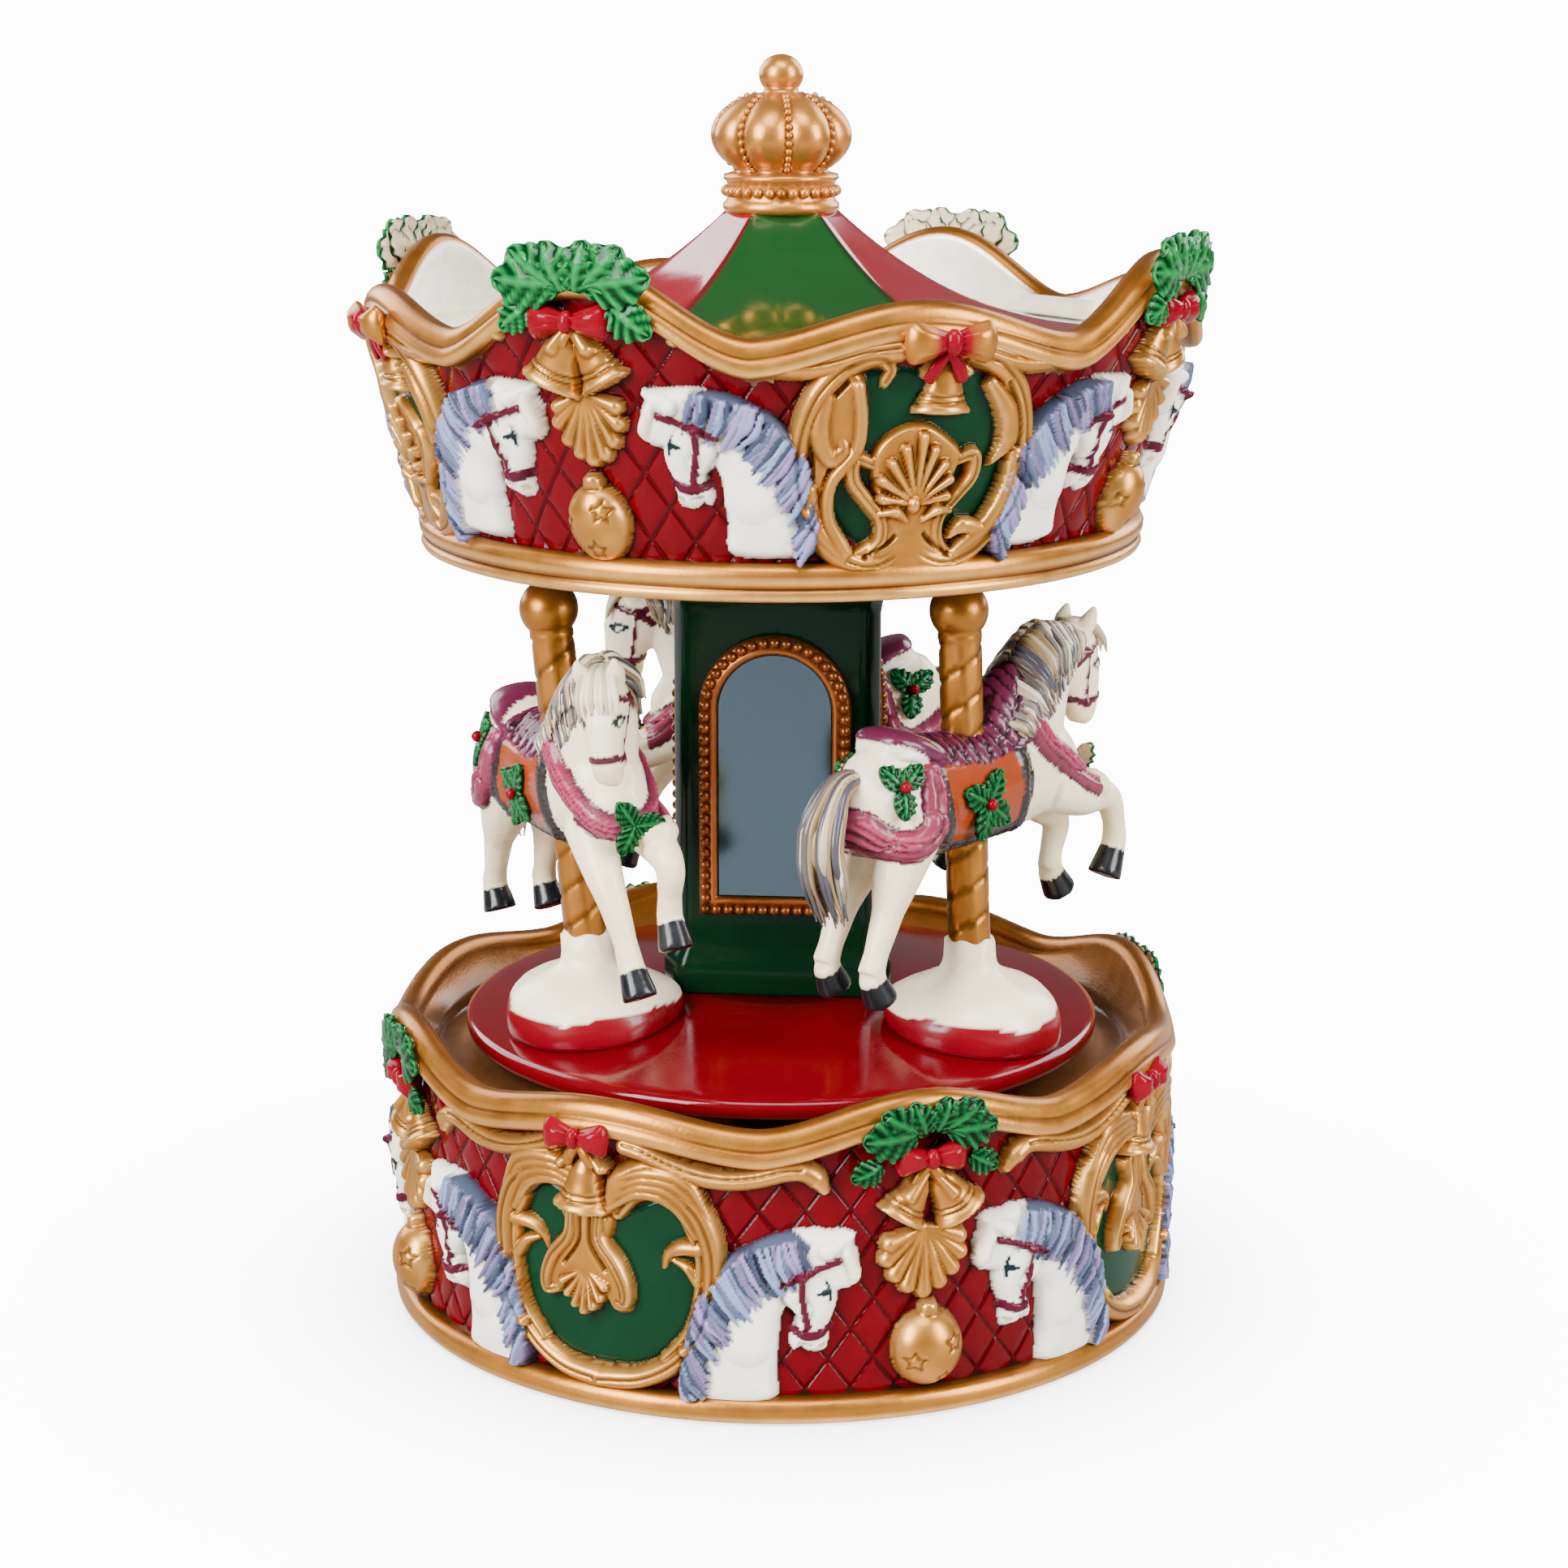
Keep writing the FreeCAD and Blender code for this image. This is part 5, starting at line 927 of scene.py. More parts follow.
carried_round("base_rim", rim_section(60.4, DARK_GOLD, (DARK_GOLD, 0.6), WELL), base_wall.wave, "base",
              "antique_gold", gilding_finish)
carried_round("canopy_rim", rim_section(61.4, DARK_GOLD, (IVORY, 0.0), TRAY), canopy_wall.wave, "carousel",
              "antique_gold", gilding_finish)
carried_round("base_foot", FOOT, level_ground, "base", "antique_gold", gilding_finish)
carried_round("canopy_ring", RING, level_ground, "carousel", "antique_gold", gilding_finish)

# %% [markdown]
# ## Rings and limbs
#
# Bow tails, the horses' legs and their locks of hair are round and bent. A curve with a bevel could make
# them, but here each is a skin through rings set along a path, because the rings can then swell and
# taper freely, and both ends are shut.


# %% Rings and limbs
def turns(sides):
    """The angles of the corners of a ring."""
    return [2 * math.pi * k / sides for k in range(sides)]


def around(section, sides):
    """Every place of a turned form: its radius, its height and its angle."""
    return [(radius, height, angle) for radius, height in section for angle in turns(sides)]


def loft(rings, sides=20):
    """A closed skin through rings: (centre, up direction, reach up, reach to the side)."""
    points = []
    for centre, up, tall, wide in rings:
        up = np.array(up, float) / np.linalg.norm(up)
        for turn in turns(sides):
            aside = np.array([0, wide * math.sin(turn), 0])
            points.append(np.array(centre) + up * tall * math.cos(turn) + aside)
    return np.array(points), tube_faces(len(rings), sides)


def limb(path, radii, sides=12, steps=5):
    """A round limb along a bent path, with its own radius at each joint."""
    line = flowing(path, steps)
    sizes = np.interp(np.linspace(0, 1, len(line)), np.linspace(0, 1, len(radii)), radii)
    points = []
    for k, (spot, size) in enumerate(zip(line, sizes)):
        ahead = line[min(k + 1, len(line) - 1)] - line[max(k - 1, 0)]
        ahead /= np.linalg.norm(ahead)
        side = np.cross(ahead, [0.3, 1.0, 0.1])
        side /= np.linalg.norm(side)
        rise = np.cross(ahead, side)
        for turn in turns(sides):
            points.append(spot + size * (side * math.cos(turn) + rise * math.sin(turn)))
    return np.array(points), tube_faces(len(line), sides)


print("rings and limbs ready")

# %% [markdown]
# ## Holly
#
# Holly leaves stand free of the wall over the rim. A flat cut-out would look like paper, so each leaf is
# a small closed sheet with a raised middle rib, slanting veins and a scalloped edge. Its top is green,
# with a painted highlight on the ridges and painted shade in the valleys, and its underside is cream.
# The leaves are bent onto the wall with the same mapping as the relief, and the same leaf later
# decorates the horses.

# %% Holly
LEAF_GREEN = pot("02501d")
LEAF_ROWS = 22
LEAF_COLUMNS = 9
RIDGE_HIGHLIGHT_GREEN = pot("2f9a54")
UNDERSIDE = pot("e2d3b0")


def leaf(length, half_width, tone, arch=0.8):
    """A holly leaf with a middle rib, slanting veins and a scalloped edge: points (along, across, up)."""
    top, paint = [], []
    for row in range(LEAF_ROWS):
        along = row / (LEAF_ROWS - 1)
        width = math.sin(math.pi * min(1.0, 0.06 + 0.94 * along)) ** 0.6 * half_width
        for column in range(LEAF_COLUMNS):
            across = 2 * column / (LEAF_COLUMNS - 1) - 1
            reach = abs(across)
            vein = 0.5 + 0.5 * math.cos(2 * math.pi * (4.2 * along - 1.1 * reach))
            edge = 1 + 0.16 * (vein - 0.5) * reach ** 3
            up = arch * math.sin(math.pi * along) * (1 - 0.5 * reach ** 2)
            up += 0.45 * vein * reach + 0.35 * (reach == 0)
            top.append((along * length * (1 + 0.04 * vein * reach), across * width * edge, up))
            # Painted highlight on the ridges and the middle rib, and painted shade in the valleys between the
            # veins.
            ridge_highlight = vein ** 3 * reach if reach > 0 else 0.7
            paint.append(tone * LEAF_GREEN * (0.12 + 0.7 * vein) + (0.35 + 0.35 * tone) * ridge_highlight * RIDGE_HIGHLIGHT_GREEN)
    faces = [tuple(reversed(face)) for face in grid_faces(LEAF_ROWS, LEAF_COLUMNS)]
    count = len(top)
    under = [(x, y * 0.96, up - 0.7) for x, y, up in top]
    faces = faces + [tuple(count + k for k in reversed(face)) for face in faces]
    edge = list(range(LEAF_COLUMNS)) + [row * LEAF_COLUMNS + LEAF_COLUMNS - 1 for row in range(1, LEAF_ROWS)]
    edge += [count - 1 - k for k in range(1, LEAF_COLUMNS)]
    edge += [row * LEAF_COLUMNS for row in range(LEAF_ROWS - 2, 0, -1)]
    for a, b in zip(edge, edge[1:] + edge[:1]):
        faces.append((a, b, count + b, count + a))
    below = np.tile(UNDERSIDE, (count, 1))
    below[edge] = LEAF_GREEN * 0.4
    return np.array(top + under), faces, np.vstack([paint, below])


def heap(parts):
    """Joins several (points, faces, paint, gilt) shapes into one."""
    points, faces, paint, gilt = [], [], [], []
    count = 0
    for these, sides, colours, shine in parts:
        points.append(these)
        faces += [tuple(count + k for k in side) for side in sides]
        paint.append(np.broadcast_to(colours, (len(these), 3)))
        gilt.append(np.broadcast_to(shine, (len(these),)))
        count += len(these)
    return np.vstack(points), faces, np.vstack(paint), np.concatenate(gilt)


def bead(centre, radius, paint, gilt=0.0, rows=7, sides=10):
    """A small round berry or bead."""
    points = []
    for polar in np.linspace(0.06, math.pi - 0.06, rows):
        for turn in turns(sides):
            points.append((math.sin(polar) * math.cos(turn), math.sin(polar) * math.sin(turn),
                           -math.cos(polar)))
    return np.array(points) * radius + centre, tube_faces(rows, sides), paint, gilt


def holly_on(wall, leaves, lift, tone):
    """All the leaves of a storey, four times round."""
    parts = []
    for quarter in range(4):
        for u, v, heading, length, rise in leaves:
            points, faces, paint = leaf(length, length * 0.43, tone)
            turn = math.radians(heading)
            across = u + points[:, 0] * math.cos(turn) - points[:, 1] * math.sin(turn)
            up = v + points[:, 0] * math.sin(turn) + points[:, 1] * math.cos(turn)
            height = lift + points[:, 2] + rise * points[:, 0] / length
            parts.append((wall.space(across, up, height, quarter), faces, paint, 0.0))
    return heap(parts)


BASE_LEAVES = [(-1.4, 43.2, 184, 7.6, 0.6), (-1.0, 43.4, 150, 6.2, 0.5), (0.0, 43.0, 112, 5.2, 0.3),
               (1.6, 43.2, 70, 5.2, 0.3), (2.6, 43.4, 32, 6.6, 0.5), (3.4, 43.2, 2, 7.0, 0.6),
               (-6.4, 39.0, 205, 4.6, 0.0), (6.8, 39.0, -30, 4.6, 0.0)]
CANOPY_LEAVES = [(-1.5, 159.6, 176, 8.8, 0.8), (-1.5, 159.2, 142, 8.0, 0.6), (-0.8, 158.6, 110, 7.0, 0.4),
                 (0.8, 158.6, 76, 7.0, 0.4), (1.8, 159.2, 44, 7.6, 0.6), (2.4, 159.6, 8, 8.4, 0.8),
                 (-5.6, 156.6, 215, 5.4, 0.0), (5.6, 156.8, -38, 6.2, 0.0)]
piece("base_holly", *holly_on(base_wall, BASE_LEAVES, 3.1, 0.35), casting_finish, "base", "green_lacquer")
piece("canopy_holly", *holly_on(canopy_wall, CANOPY_LEAVES, 3.0, 1.0), casting_finish, "carousel",
      "green_lacquer")
print("holly leaves:", 4 * (len(BASE_LEAVES) + len(CANOPY_LEAVES)))


# %% [markdown]
# ## Bows
#
# A bow is tied over each pair of bells and over each scroll frame, red on the base and partly gilded on
# the canopy. It could be drawn in the relief, but its loops stand out further than the wall's sheet can
# follow, so each is two puffed loops pleated towards a knot, with two short tails.

# %% Bows
BOW_RINGS = 14
BOW_SIDES = 24


def tied_bow(width, height, loops, gilt, tails):
    """A tied bow: two puffed loops pleated towards a knot, and two short tails; (across, up, out)."""
    parts = []
    for side in (1, -1):
        points = []
        for share in np.linspace(0, 1, BOW_RINGS):
            close = math.sqrt(max(0.0, 1 - max(0.0, (share - 0.7) / 0.3) ** 2)) + 0.01
            tall = height / 2 * (0.3 + 0.7 * share ** 0.8) * close
            deep = (0.9 + 1.0 * math.sin(math.pi * share)) * close
            for turn in turns(BOW_SIDES):
                pleat = 1 + 0.16 * math.cos(6 * turn) * (1 - share)
                points.append((side * width / 2 * (0.08 + 0.92 * share), tall * math.cos(turn) * pleat,
                               1.0 + side * deep * math.sin(turn) * pleat))
        faces = tube_faces(BOW_RINGS, BOW_SIDES)
        reach = np.abs(np.array(points)[:, 0]) / (width / 2)
        worn = np.clip((reach - 0.3) / 0.3, 0, 1)
        parts.append((np.array(points), faces, BOW_RED + worn[:, None] * (loops - BOW_RED), gilt * worn))
        tail, faces = limb([(0.0, -0.2 * height, 0.9), (side * 0.12 * width, -0.5 * height, 0.9),
                            (side * 0.19 * width, -0.78 * height, 0.3)], [0.5, 0.9, 0.8])
        parts.append((tail * [1.0, 1.0, 0.6], faces, GOLD if tails else BOW_RED, tails))
    knot, faces, _, _ = bead(np.zeros(3), 1.0, BOW_RED)
    parts.append((knot * [0.1 * width, 0.3 * height, 1.2] + [0, 0, 1.6], faces, BOW_RED, 0.0))
    return parts


def bows_on(wall, places):
    """Bows tied round a storey, four times: u, v, width, height, lift, loops, gilding, gilt tails."""
    parts = []
    for quarter in range(4):
        for u, v, width, height, lift, loops, gilt, tails in places:
            for points, faces, paint, shine in tied_bow(width, height, loops, gilt, tails):
                x, y, out = points.T
                parts.append((wall.space(u + x, v + y, lift + out, quarter), faces, paint, shine))
    return heap(parts)


BASE_BOWS = [(base_wall.quarter / 2 - 2.6, 41.4, 10.4, 5.6, 2.6, BOW_RED, 0.0, 1.0),
             (1.0, 39.2, 11.0, 5.4, 1.6, BOW_RED, 0.0, 1.0)]
CANOPY_BOWS = [(canopy_wall.quarter / 2 + 2.4, 152.2, 12.2, 6.4, 2.4, GOLD, 1.0, 0.0),
               (-0.4, 154.6, 11.8, 5.6, 1.6, BOW_RED, 0.0, 1.0)]
piece("base_bows", *bows_on(base_wall, BASE_BOWS), casting_finish, "base", "crimson_lacquer")
piece("canopy_bows", *bows_on(canopy_wall, CANOPY_BOWS), casting_finish, "carousel", "crimson_lacquer")
print("bows tied:", 4 * (len(BASE_BOWS) + len(CANOPY_BOWS)))

# %% [markdown]
# ## Roof
#
# The roof has three wide green panels and three narrow red ones, and its slope grows steeper towards
# the crown, as in the photograph. It could be six cut panels, but the casting is one smooth skin with
# softened corners, so rings of points are drawn in towards the top and joined.

# %% Roof
PANEL_TURN = 5.5
WIDE_HALF = 35.0
ROOF_EDGE = 54.4
ROOF_TOP = 8.0
ROOF_FOOT = 150.0
ROOF_RISE = 17.9
ROOF_CURVE = 2.4
ROOF_ROWS = 30
ROOF_GREEN = pot("0c3511")
roof_angles = np.arange(0, 360, 2.5)
roof_points, roof_paint = [], []
for share in np.linspace(0, 1, ROOF_ROWS):
    for angle in roof_angles:
        away = (angle - PANEL_TURN + 60) % 120 - 60
        wide = abs(away) <= WIDE_HALF
        half = WIDE_HALF if wide else 60 - WIDE_HALF
        aside = abs(away) if wide else 60 - abs(away)
        corner = half - aside
        reach = ROOF_EDGE + (ROOF_TOP - ROOF_EDGE) * share
        radius = reach * math.cos(math.radians(half)) / math.cos(math.radians(aside))
        radius -= reach * 0.012 * math.exp(-(corner / 3) ** 2)
        turn = math.radians(angle)
        height = ROOF_FOOT + ROOF_RISE * share ** ROOF_CURVE
        roof_points.append((radius * math.sin(turn), -radius * math.cos(turn), height))
        # Painted shade: the paint is darker along the slight groove where two panels meet.
        seam_shade = 0.35 if corner < 1.3 else 1.0
        roof_paint.append((ROOF_GREEN if wide else BOW_RED) * seam_shade)
columns = len(roof_angles)
skirt = [(x, y, ROOF_FOOT - 1.0) for x, y, z in roof_points[:columns]]
roof_points = skirt + roof_points
roof_paint = roof_paint[:columns] + roof_paint
piece("roof", roof_points, tube_faces(ROOF_ROWS + 1, columns), np.array(roof_paint), 0.0, lacquer_finish,
      "carousel", "green_lacquer", ["canopy_roof"])
print("roof:", len(roof_points), "points")

# %% [markdown]
# ## Disc and mounds
#
# The turning disc is a turned plate that rises to its middle. The three mounds were moulded round the
# feet of the poles, so each is a turned form made uneven by slow waves, and the red of its rim ends in a
# wavy brushed line.

# %% Disc and mounds
DISC_RED = pot("5a000a")
DISC_EDGE = 49.1
DISC_TOP = 44.5
DISC_RISE = 4.5
DISC_FLAT = 19.0
DISC_SLOPE = DISC_RISE / (DISC_EDGE - DISC_FLAT)


def disc_height(radius):
    """The disc's top: it rises evenly to the middle and is flat under the column."""
    return DISC_TOP + DISC_SLOPE * (DISC_EDGE - max(radius, DISC_FLAT))


disc_section = [(9.0, 41.7), (48.4, 41.7), (49.0, 42.1), (49.2, 43.0), (49.1, 43.9), (48.7, 44.4),
                (48.0, 44.65)]
disc_section += [(radius, disc_height(radius)) for radius in np.arange(46, 20, -2.0)]
disc_section += [(19.4, disc_height(19.8)), (18.0, disc_height(18)), (9.0, disc_height(9))]
carried_round("disc", level_rows(DISC_RED, 0.0, *disc_section), level_ground, "carousel", "crimson_lacquer",
              disc_finish, ["turntable"], count=180)

HORSES = {"left": (32.7, -59.7, -65.0, 5.5),
          "right": (34.8, 56.2, 45.0, 2.5),
          "back": (32.0, 177.0, 180.0, 0.0)}


def horse_place(side):
    """The foot of a horse's pole, the pole's lean and the horse's turn."""
    radius, angle, heading, lean = HORSES[side]
    turn = math.radians(angle)
    foot = np.array([radius * math.sin(turn), -radius * math.cos(turn), disc_height(radius)])
    tilt = np.array(Matrix.Rotation(math.radians(-lean), 3, "Y"))
    return foot, tilt, tilt @ np.array(Matrix.Rotation(math.radians(heading), 3, "Z"))


MOUND_SECTION = [(13.0, 0.05), (13.3, 0.8), (13.4, 1.8), (13.4, 2.6), (13.3, 3.1), (13.2, 3.5), (13.0, 3.9),
                 (12.8, 4.3), (12.5, 4.7), (12.1, 5.1), (11.0, 6.0), (9.4, 6.9), (7.6, 7.6), (5.9, 8.3),
                 (4.7, 9.0),
                 (4.2, 9.8), (3.95, 11.0), (3.8, 13.6), (3.2, 14.0)]
MOUND_SIDES = 72
for side in HORSES:
    foot, tilt, turn = horse_place(side)
    lumps = random.Random(side)
    sway = [lumps.uniform(0, 6.28) for _ in range(4)]
    points, paint = [], []
    for radius, height, a in around(MOUND_SECTION, MOUND_SIDES):
        lump = math.sin(3 * a + sway[0] + height / 3) + 0.6 * math.sin(7 * a + sway[1] - height / 2)
        reach = radius * (1 + 0.012 * lump)
        up = height * (1 + 0.02 * math.sin(5 * a + sway[2])) if height > 0.5 else height
        lean = tilt @ np.array([0, 0, up])
        spread = foot + lean + [reach * math.cos(a), reach * math.sin(a), 0]
        settled = DISC_SLOPE * (math.hypot(foot[0], foot[1]) - math.hypot(spread[0], spread[1]))
        points.append(spread + [0, 0, settled * max(0.0, 1 - up / 6)])
        edge = 3.9 + 0.4 * math.sin(3 * a + sway[3]) + 0.2 * math.sin(8 * a)
        paint.append(BOW_RED if up < edge else CREAM)
    piece("mound_%s_cast" % side, points, tube_faces(len(MOUND_SECTION), MOUND_SIDES), np.array(paint), 0.0,
          enamel_finish, "carousel", "ivory_enamel", ["mound_" + side])
print("disc and mounds made")

# %% [markdown]
# ## Column
#
# The column is a triangle with its corners cut off, flared at foot and head. It could be cut from a
# prism, but the flare would then need a second shape, so an outline with rounded corners is grown a
# little at each height, and the outlines are joined into one skin.

# %% Column
COLUMN_GREEN = pot("042010")
COLUMN_TURNS = {"front": -5.0, "right": 115.0, "left": 235.0}
CORNER_STEPS = 5
COLUMN_REACH = 10.5
WIDE_FACE = 27.6


def column_outline(grow, soften=1.2):
    """The column's six-sided outline, grown outward, with its corners rounded."""
    corners = []
    for angle in COLUMN_TURNS.values():
        turn = math.radians(angle)
        out = np.array([math.sin(turn), -math.cos(turn)])
        side = np.array([math.cos(turn), math.sin(turn)])
        half = WIDE_FACE / 2 + grow / math.sqrt(3)
        corners += [out * (COLUMN_REACH + grow) - side * half, out * (COLUMN_REACH + grow) + side * half]
    outline = []
    for k, corner in enumerate(corners):
        before = corners[k - 1] - corner
        after = corners[(k + 1) % 6] - corner
        start = corner + before / np.linalg.norm(before) * soften
        end = corner + after / np.linalg.norm(after) * soften
        for share in np.linspace(0, 1, CORNER_STEPS):
            outline.append((1 - share) ** 2 * start + 2 * share * (1 - share) * corner + share ** 2 * end)
    return outline


COLUMN_STEPS = [(49.0, 1.4), (49.5, 1.6), (53.4, 1.6), (54.6, 1.2), (55.8, 0.4), (56.8, 0.0), (64.0, 0.0),
                (108.0, 0.0), (110.0, 0.3), (111.2, 1.2), (112.0, 2.4), (113.0, 3.0), (118.0, 3.2)]
column_points = []
for height, grow in COLUMN_STEPS:
    column_points += [(x, y, height) for x, y in column_outline(grow)]
piece("mirror_column", column_points, tube_faces(len(COLUMN_STEPS), 6 * CORNER_STEPS), COLUMN_GREEN, 0.0,
      casting_finish, "carousel", "green_lacquer", ["column"])
print("column:", len(column_points), "points")

# %% [markdown]
# ## Beads on the mirrors and the crown
#
# The mirror frames and the crown carry rows of beads. A row is a path, and the beads are the same
# small ball again and again, so this is work for Geometry Nodes: the path becomes a curve, is split
# evenly, and a ball is set on each point. The nodes also write the paint, then the result is turned
# into a plain mesh.


# %% A string of beads
def bead_nodes():
    """The node group: a path in, a string of painted beads out."""
    group = bpy.data.node_groups.new("string_of_beads", "GeometryNodeTree")
    for name, kind in (("Path", "Geometry"), ("Spacing", "Float"), ("Bead Radius", "Float"),
                       ("Paint", "Color"), ("Finish", "Material")):
        group.interface.new_socket(name, in_out="INPUT", socket_type="NodeSocket" + kind)
    group.interface.new_socket("Beads", in_out="OUTPUT", socket_type="NodeSocketGeometry")
    come, go = add(group, "NodeGroupInput"), add(group, "NodeGroupOutput")
    given = come.outputs
    curve = add(group, "GeometryNodeMeshToCurve", {0: given["Path"]})
    split = add(group, "GeometryNodeResampleCurve", mode="LENGTH")
    fill(group, split, {"Curve": curve.outputs[0], "Length": given["Spacing"]})
    ball = add(group, "GeometryNodeMeshUVSphere",
               {"Segments": 10, "Rings": 6, "Radius": given["Bead Radius"]})
    copies = add(group, "GeometryNodeInstanceOnPoints",
                 {"Points": split.outputs[0], "Instance": ball.outputs[0]})
    solid = add(group, "GeometryNodeRealizeInstances", {0: copies.outputs[0]})
    paint = add(group, "GeometryNodeStoreNamedAttribute", data_type="FLOAT_COLOR")
    fill(group, paint, {"Geometry": solid.outputs[0], "Name": "paint", "Value": given["Paint"]})
    shine = add(group, "GeometryNodeStoreNamedAttribute", data_type="FLOAT")
    fill(group, shine, {"Geometry": paint.outputs[0], "Name": "gilt", "Value": 1.0})
    smooth = add(group, "GeometryNodeSetShadeSmooth", {"Geometry": shine.outputs[0]})
    coat = add(group, "GeometryNodeSetMaterial", {"Geometry": smooth.outputs[0], "Material": given["Finish"]})
    fill(group, go, {"Beads": coat.outputs[0]})
    return group


BEADS = bead_nodes()


def string_of_beads(name, paths, spacing, radius, paint, body):
    """Beads along one or more paths, as a plain mesh piece."""
    points = np.vstack(paths) * MM
    edges = []
    start = 0
    for path in paths:
        edges += [(start + k, start + k + 1) for k in range(len(path) - 1)]
        start += len(path)
    thread = raw(name + "_path", points.tolist(), edges, [])
    beading = thread.modifiers.new("beads", "NODES")
    beading.node_group = BEADS
    given = {"Spacing": spacing * MM, "Bead Radius": radius * MM, "Paint": (*paint, 1.0),
             "Finish": gilding_finish}
    for socket in BEADS.interface.items_tree:
        if socket.in_out == "INPUT" and socket.name in given:
            beading[socket.identifier] = given[socket.name]
    mesh = after_modifiers(thread)
    made = bpy.data.objects.new(name, mesh)
    bpy.context.scene.collection.objects.link(made)
    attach(made, body)
    print(name, len(mesh.vertices), "points of beads")
    return made


# %% [markdown]
# ## Mirror frames
#
# Each mirror sits in a copper arch. The moulding is one section carried along the arched outline, and a
# string of beads lies in its hollow.

# %% Mirror frames
COPPER = pot("94552a")
GLASS_HALF = 8.6
GLASS_STRAIGHT = 28.9
MIRROR_FOOT = DISC_TOP + DISC_RISE + 13.0 + 2.7
FRAME_SECTION = [(0.05, 0.0), (0.05, 1.3), (0.35, 1.75), (0.9, 1.85), (1.3, 1.5), (1.6, 1.35), (2.3, 1.4),
                 (2.9, 1.1), (3.0, 0.0)]


def arch_path(grow, closed=True):
    """An arched outline round the glass, grown outward: (across, up)."""
    half = GLASS_HALF + grow
    path = [(-half, -grow)]
    path += [(-half, up) for up in np.linspace(0, GLASS_STRAIGHT, 12)]
    for a in np.linspace(0.12, math.pi - 0.12, 24):
        path.append((-half * math.cos(a), GLASS_STRAIGHT + half * math.sin(a)))
    path += [(half, up) for up in np.linspace(GLASS_STRAIGHT, 0, 12)]
    path += [(half, -grow)]
    path += [(across, -grow) for across in np.linspace(half, -half, 8)[1:-1]]
    return path + path[:1] if closed else path


for side, angle in COLUMN_TURNS.items():
    turn = math.radians(angle)
    out = np.array([math.sin(turn), -math.cos(turn), 0])
    along = np.array([math.cos(turn), math.sin(turn), 0])

    def on_face(path, height):
        """A path drawn on this face of the column, in space."""
        return [out * (COLUMN_REACH + height) + along * x + np.array([0, 0, MIRROR_FOOT + y])
                for x, y in path]

    band = [on_face(arch_path(grow, False), height) for grow, height in FRAME_SECTION]
    count = len(band[0])
    # Painted highlight on the frame's raised lip, and painted shade on the rest of the copper.
    lip_highlight_and_shade = [1.25 if 0.3 < grow < 1.2 else 0.8 for grow, height in FRAME_SECTION]
    paint = np.vstack([np.tile(COPPER * shade, (count, 1)) for shade in lip_highlight_and_shade])
    piece("mirror_moulding_" + side, np.vstack(band),
          grid_faces(len(FRAME_SECTION), count, closed=True, ring=True), paint, 1.0,
          gilding_finish, "carousel", "antique_gold", ["mirror_frame_" + side])
    string_of_beads("mirror_beads_" + side, [np.array(on_face(arch_path(2.0), 1.6))], 1.75, 0.85, COPPER,
                    "carousel")

# %% [markdown]
# ## Crown
#
# The finial is a crown with eight lobes. It is turned from one section like the rims, then its dome dips
# in between the lobes, and strings of beads follow the eight dips and the collar.

# %% Crown
DOME_MIDDLE = 178.3
DOME_RADIUS = 10.7
DOME_HALF = 6.6
CROWN_GOLD = pot("b87a38")
CROWN_TURN = math.radians(7)
CROWN_SIDES = 160


def dome(height, swell=1.0):
    """The dome's radius at a height."""
    return DOME_RADIUS * swell * math.sqrt(max(0.0, 1 - ((height - DOME_MIDDLE) / DOME_HALF) ** 2))


crown_section = [(0.5, 167.0), (8.0, 167.0), (8.6, 167.5), (8.7, 168.3), (8.2, 168.8), (8.0, 169.2),
                 (8.0, 171.2), (8.2, 171.6), (8.6, 172.0), (8.5, 172.6), (7.4, 172.9)]
crown_section += [(dome(z), z) for z in np.linspace(173.3, 184.0, 18)]
crown_section += [(4.0, 184.3), (2.9, 184.4), (2.6, 184.6), (2.6, 185.0)]
crown_section += [(3.3 * math.cos(a), 187.0 + 3.0 * math.sin(a)) for a in np.linspace(-0.75, 1.5, 12)]
points, paint = [], []
for radius, height, a in around(crown_section, CROWN_SIDES):
    lobe = abs(math.sin(4 * (a - CROWN_TURN))) ** 0.6
    on_dome = 172.95 < height < 184.1
    reach = radius * (0.83 + 0.17 * lobe) if on_dome else radius
    points.append((reach * math.sin(a), -reach * math.cos(a), height))
    # Painted shade: the gold is darker in the dips between the lobes.
    paint.append(CROWN_GOLD * (0.35 + 0.65 * min(1, lobe * 1.3)) if on_dome else CROWN_GOLD)
piece("crown", points, tube_faces(len(crown_section), CROWN_SIDES), np.array(paint), 1.0, gilding_finish,
      "carousel", "antique_gold", ["crown_finial"])
arches = []
for k in range(8):
    a = math.pi / 4 * k + CROWN_TURN
    rise = [(dome(z, 0.89), z) for z in np.linspace(173.6, 183.9, 24)]
    arches.append(np.array([(reach * math.sin(a), -reach * math.cos(a), z) for reach, z in rise]))
string_of_beads("crown_arch_beads", arches, 1.2, 0.55, CROWN_GOLD, "carousel")
full_turn = np.linspace(0, 2 * math.pi, 90)
collar = np.array([(8.15 * math.sin(a), -8.15 * math.cos(a), 170.2) for a in full_turn])
string_of_beads("crown_collar_beads", [collar], 1.75, 0.85, CROWN_GOLD, "carousel")

# %% [markdown]
# ## Poles
#
# Each pole is a rod with two spiral grooves and a ball under the ceiling. The grooves are pressed into
# the points of a turned rod, because they must wind evenly whatever the pole's length.

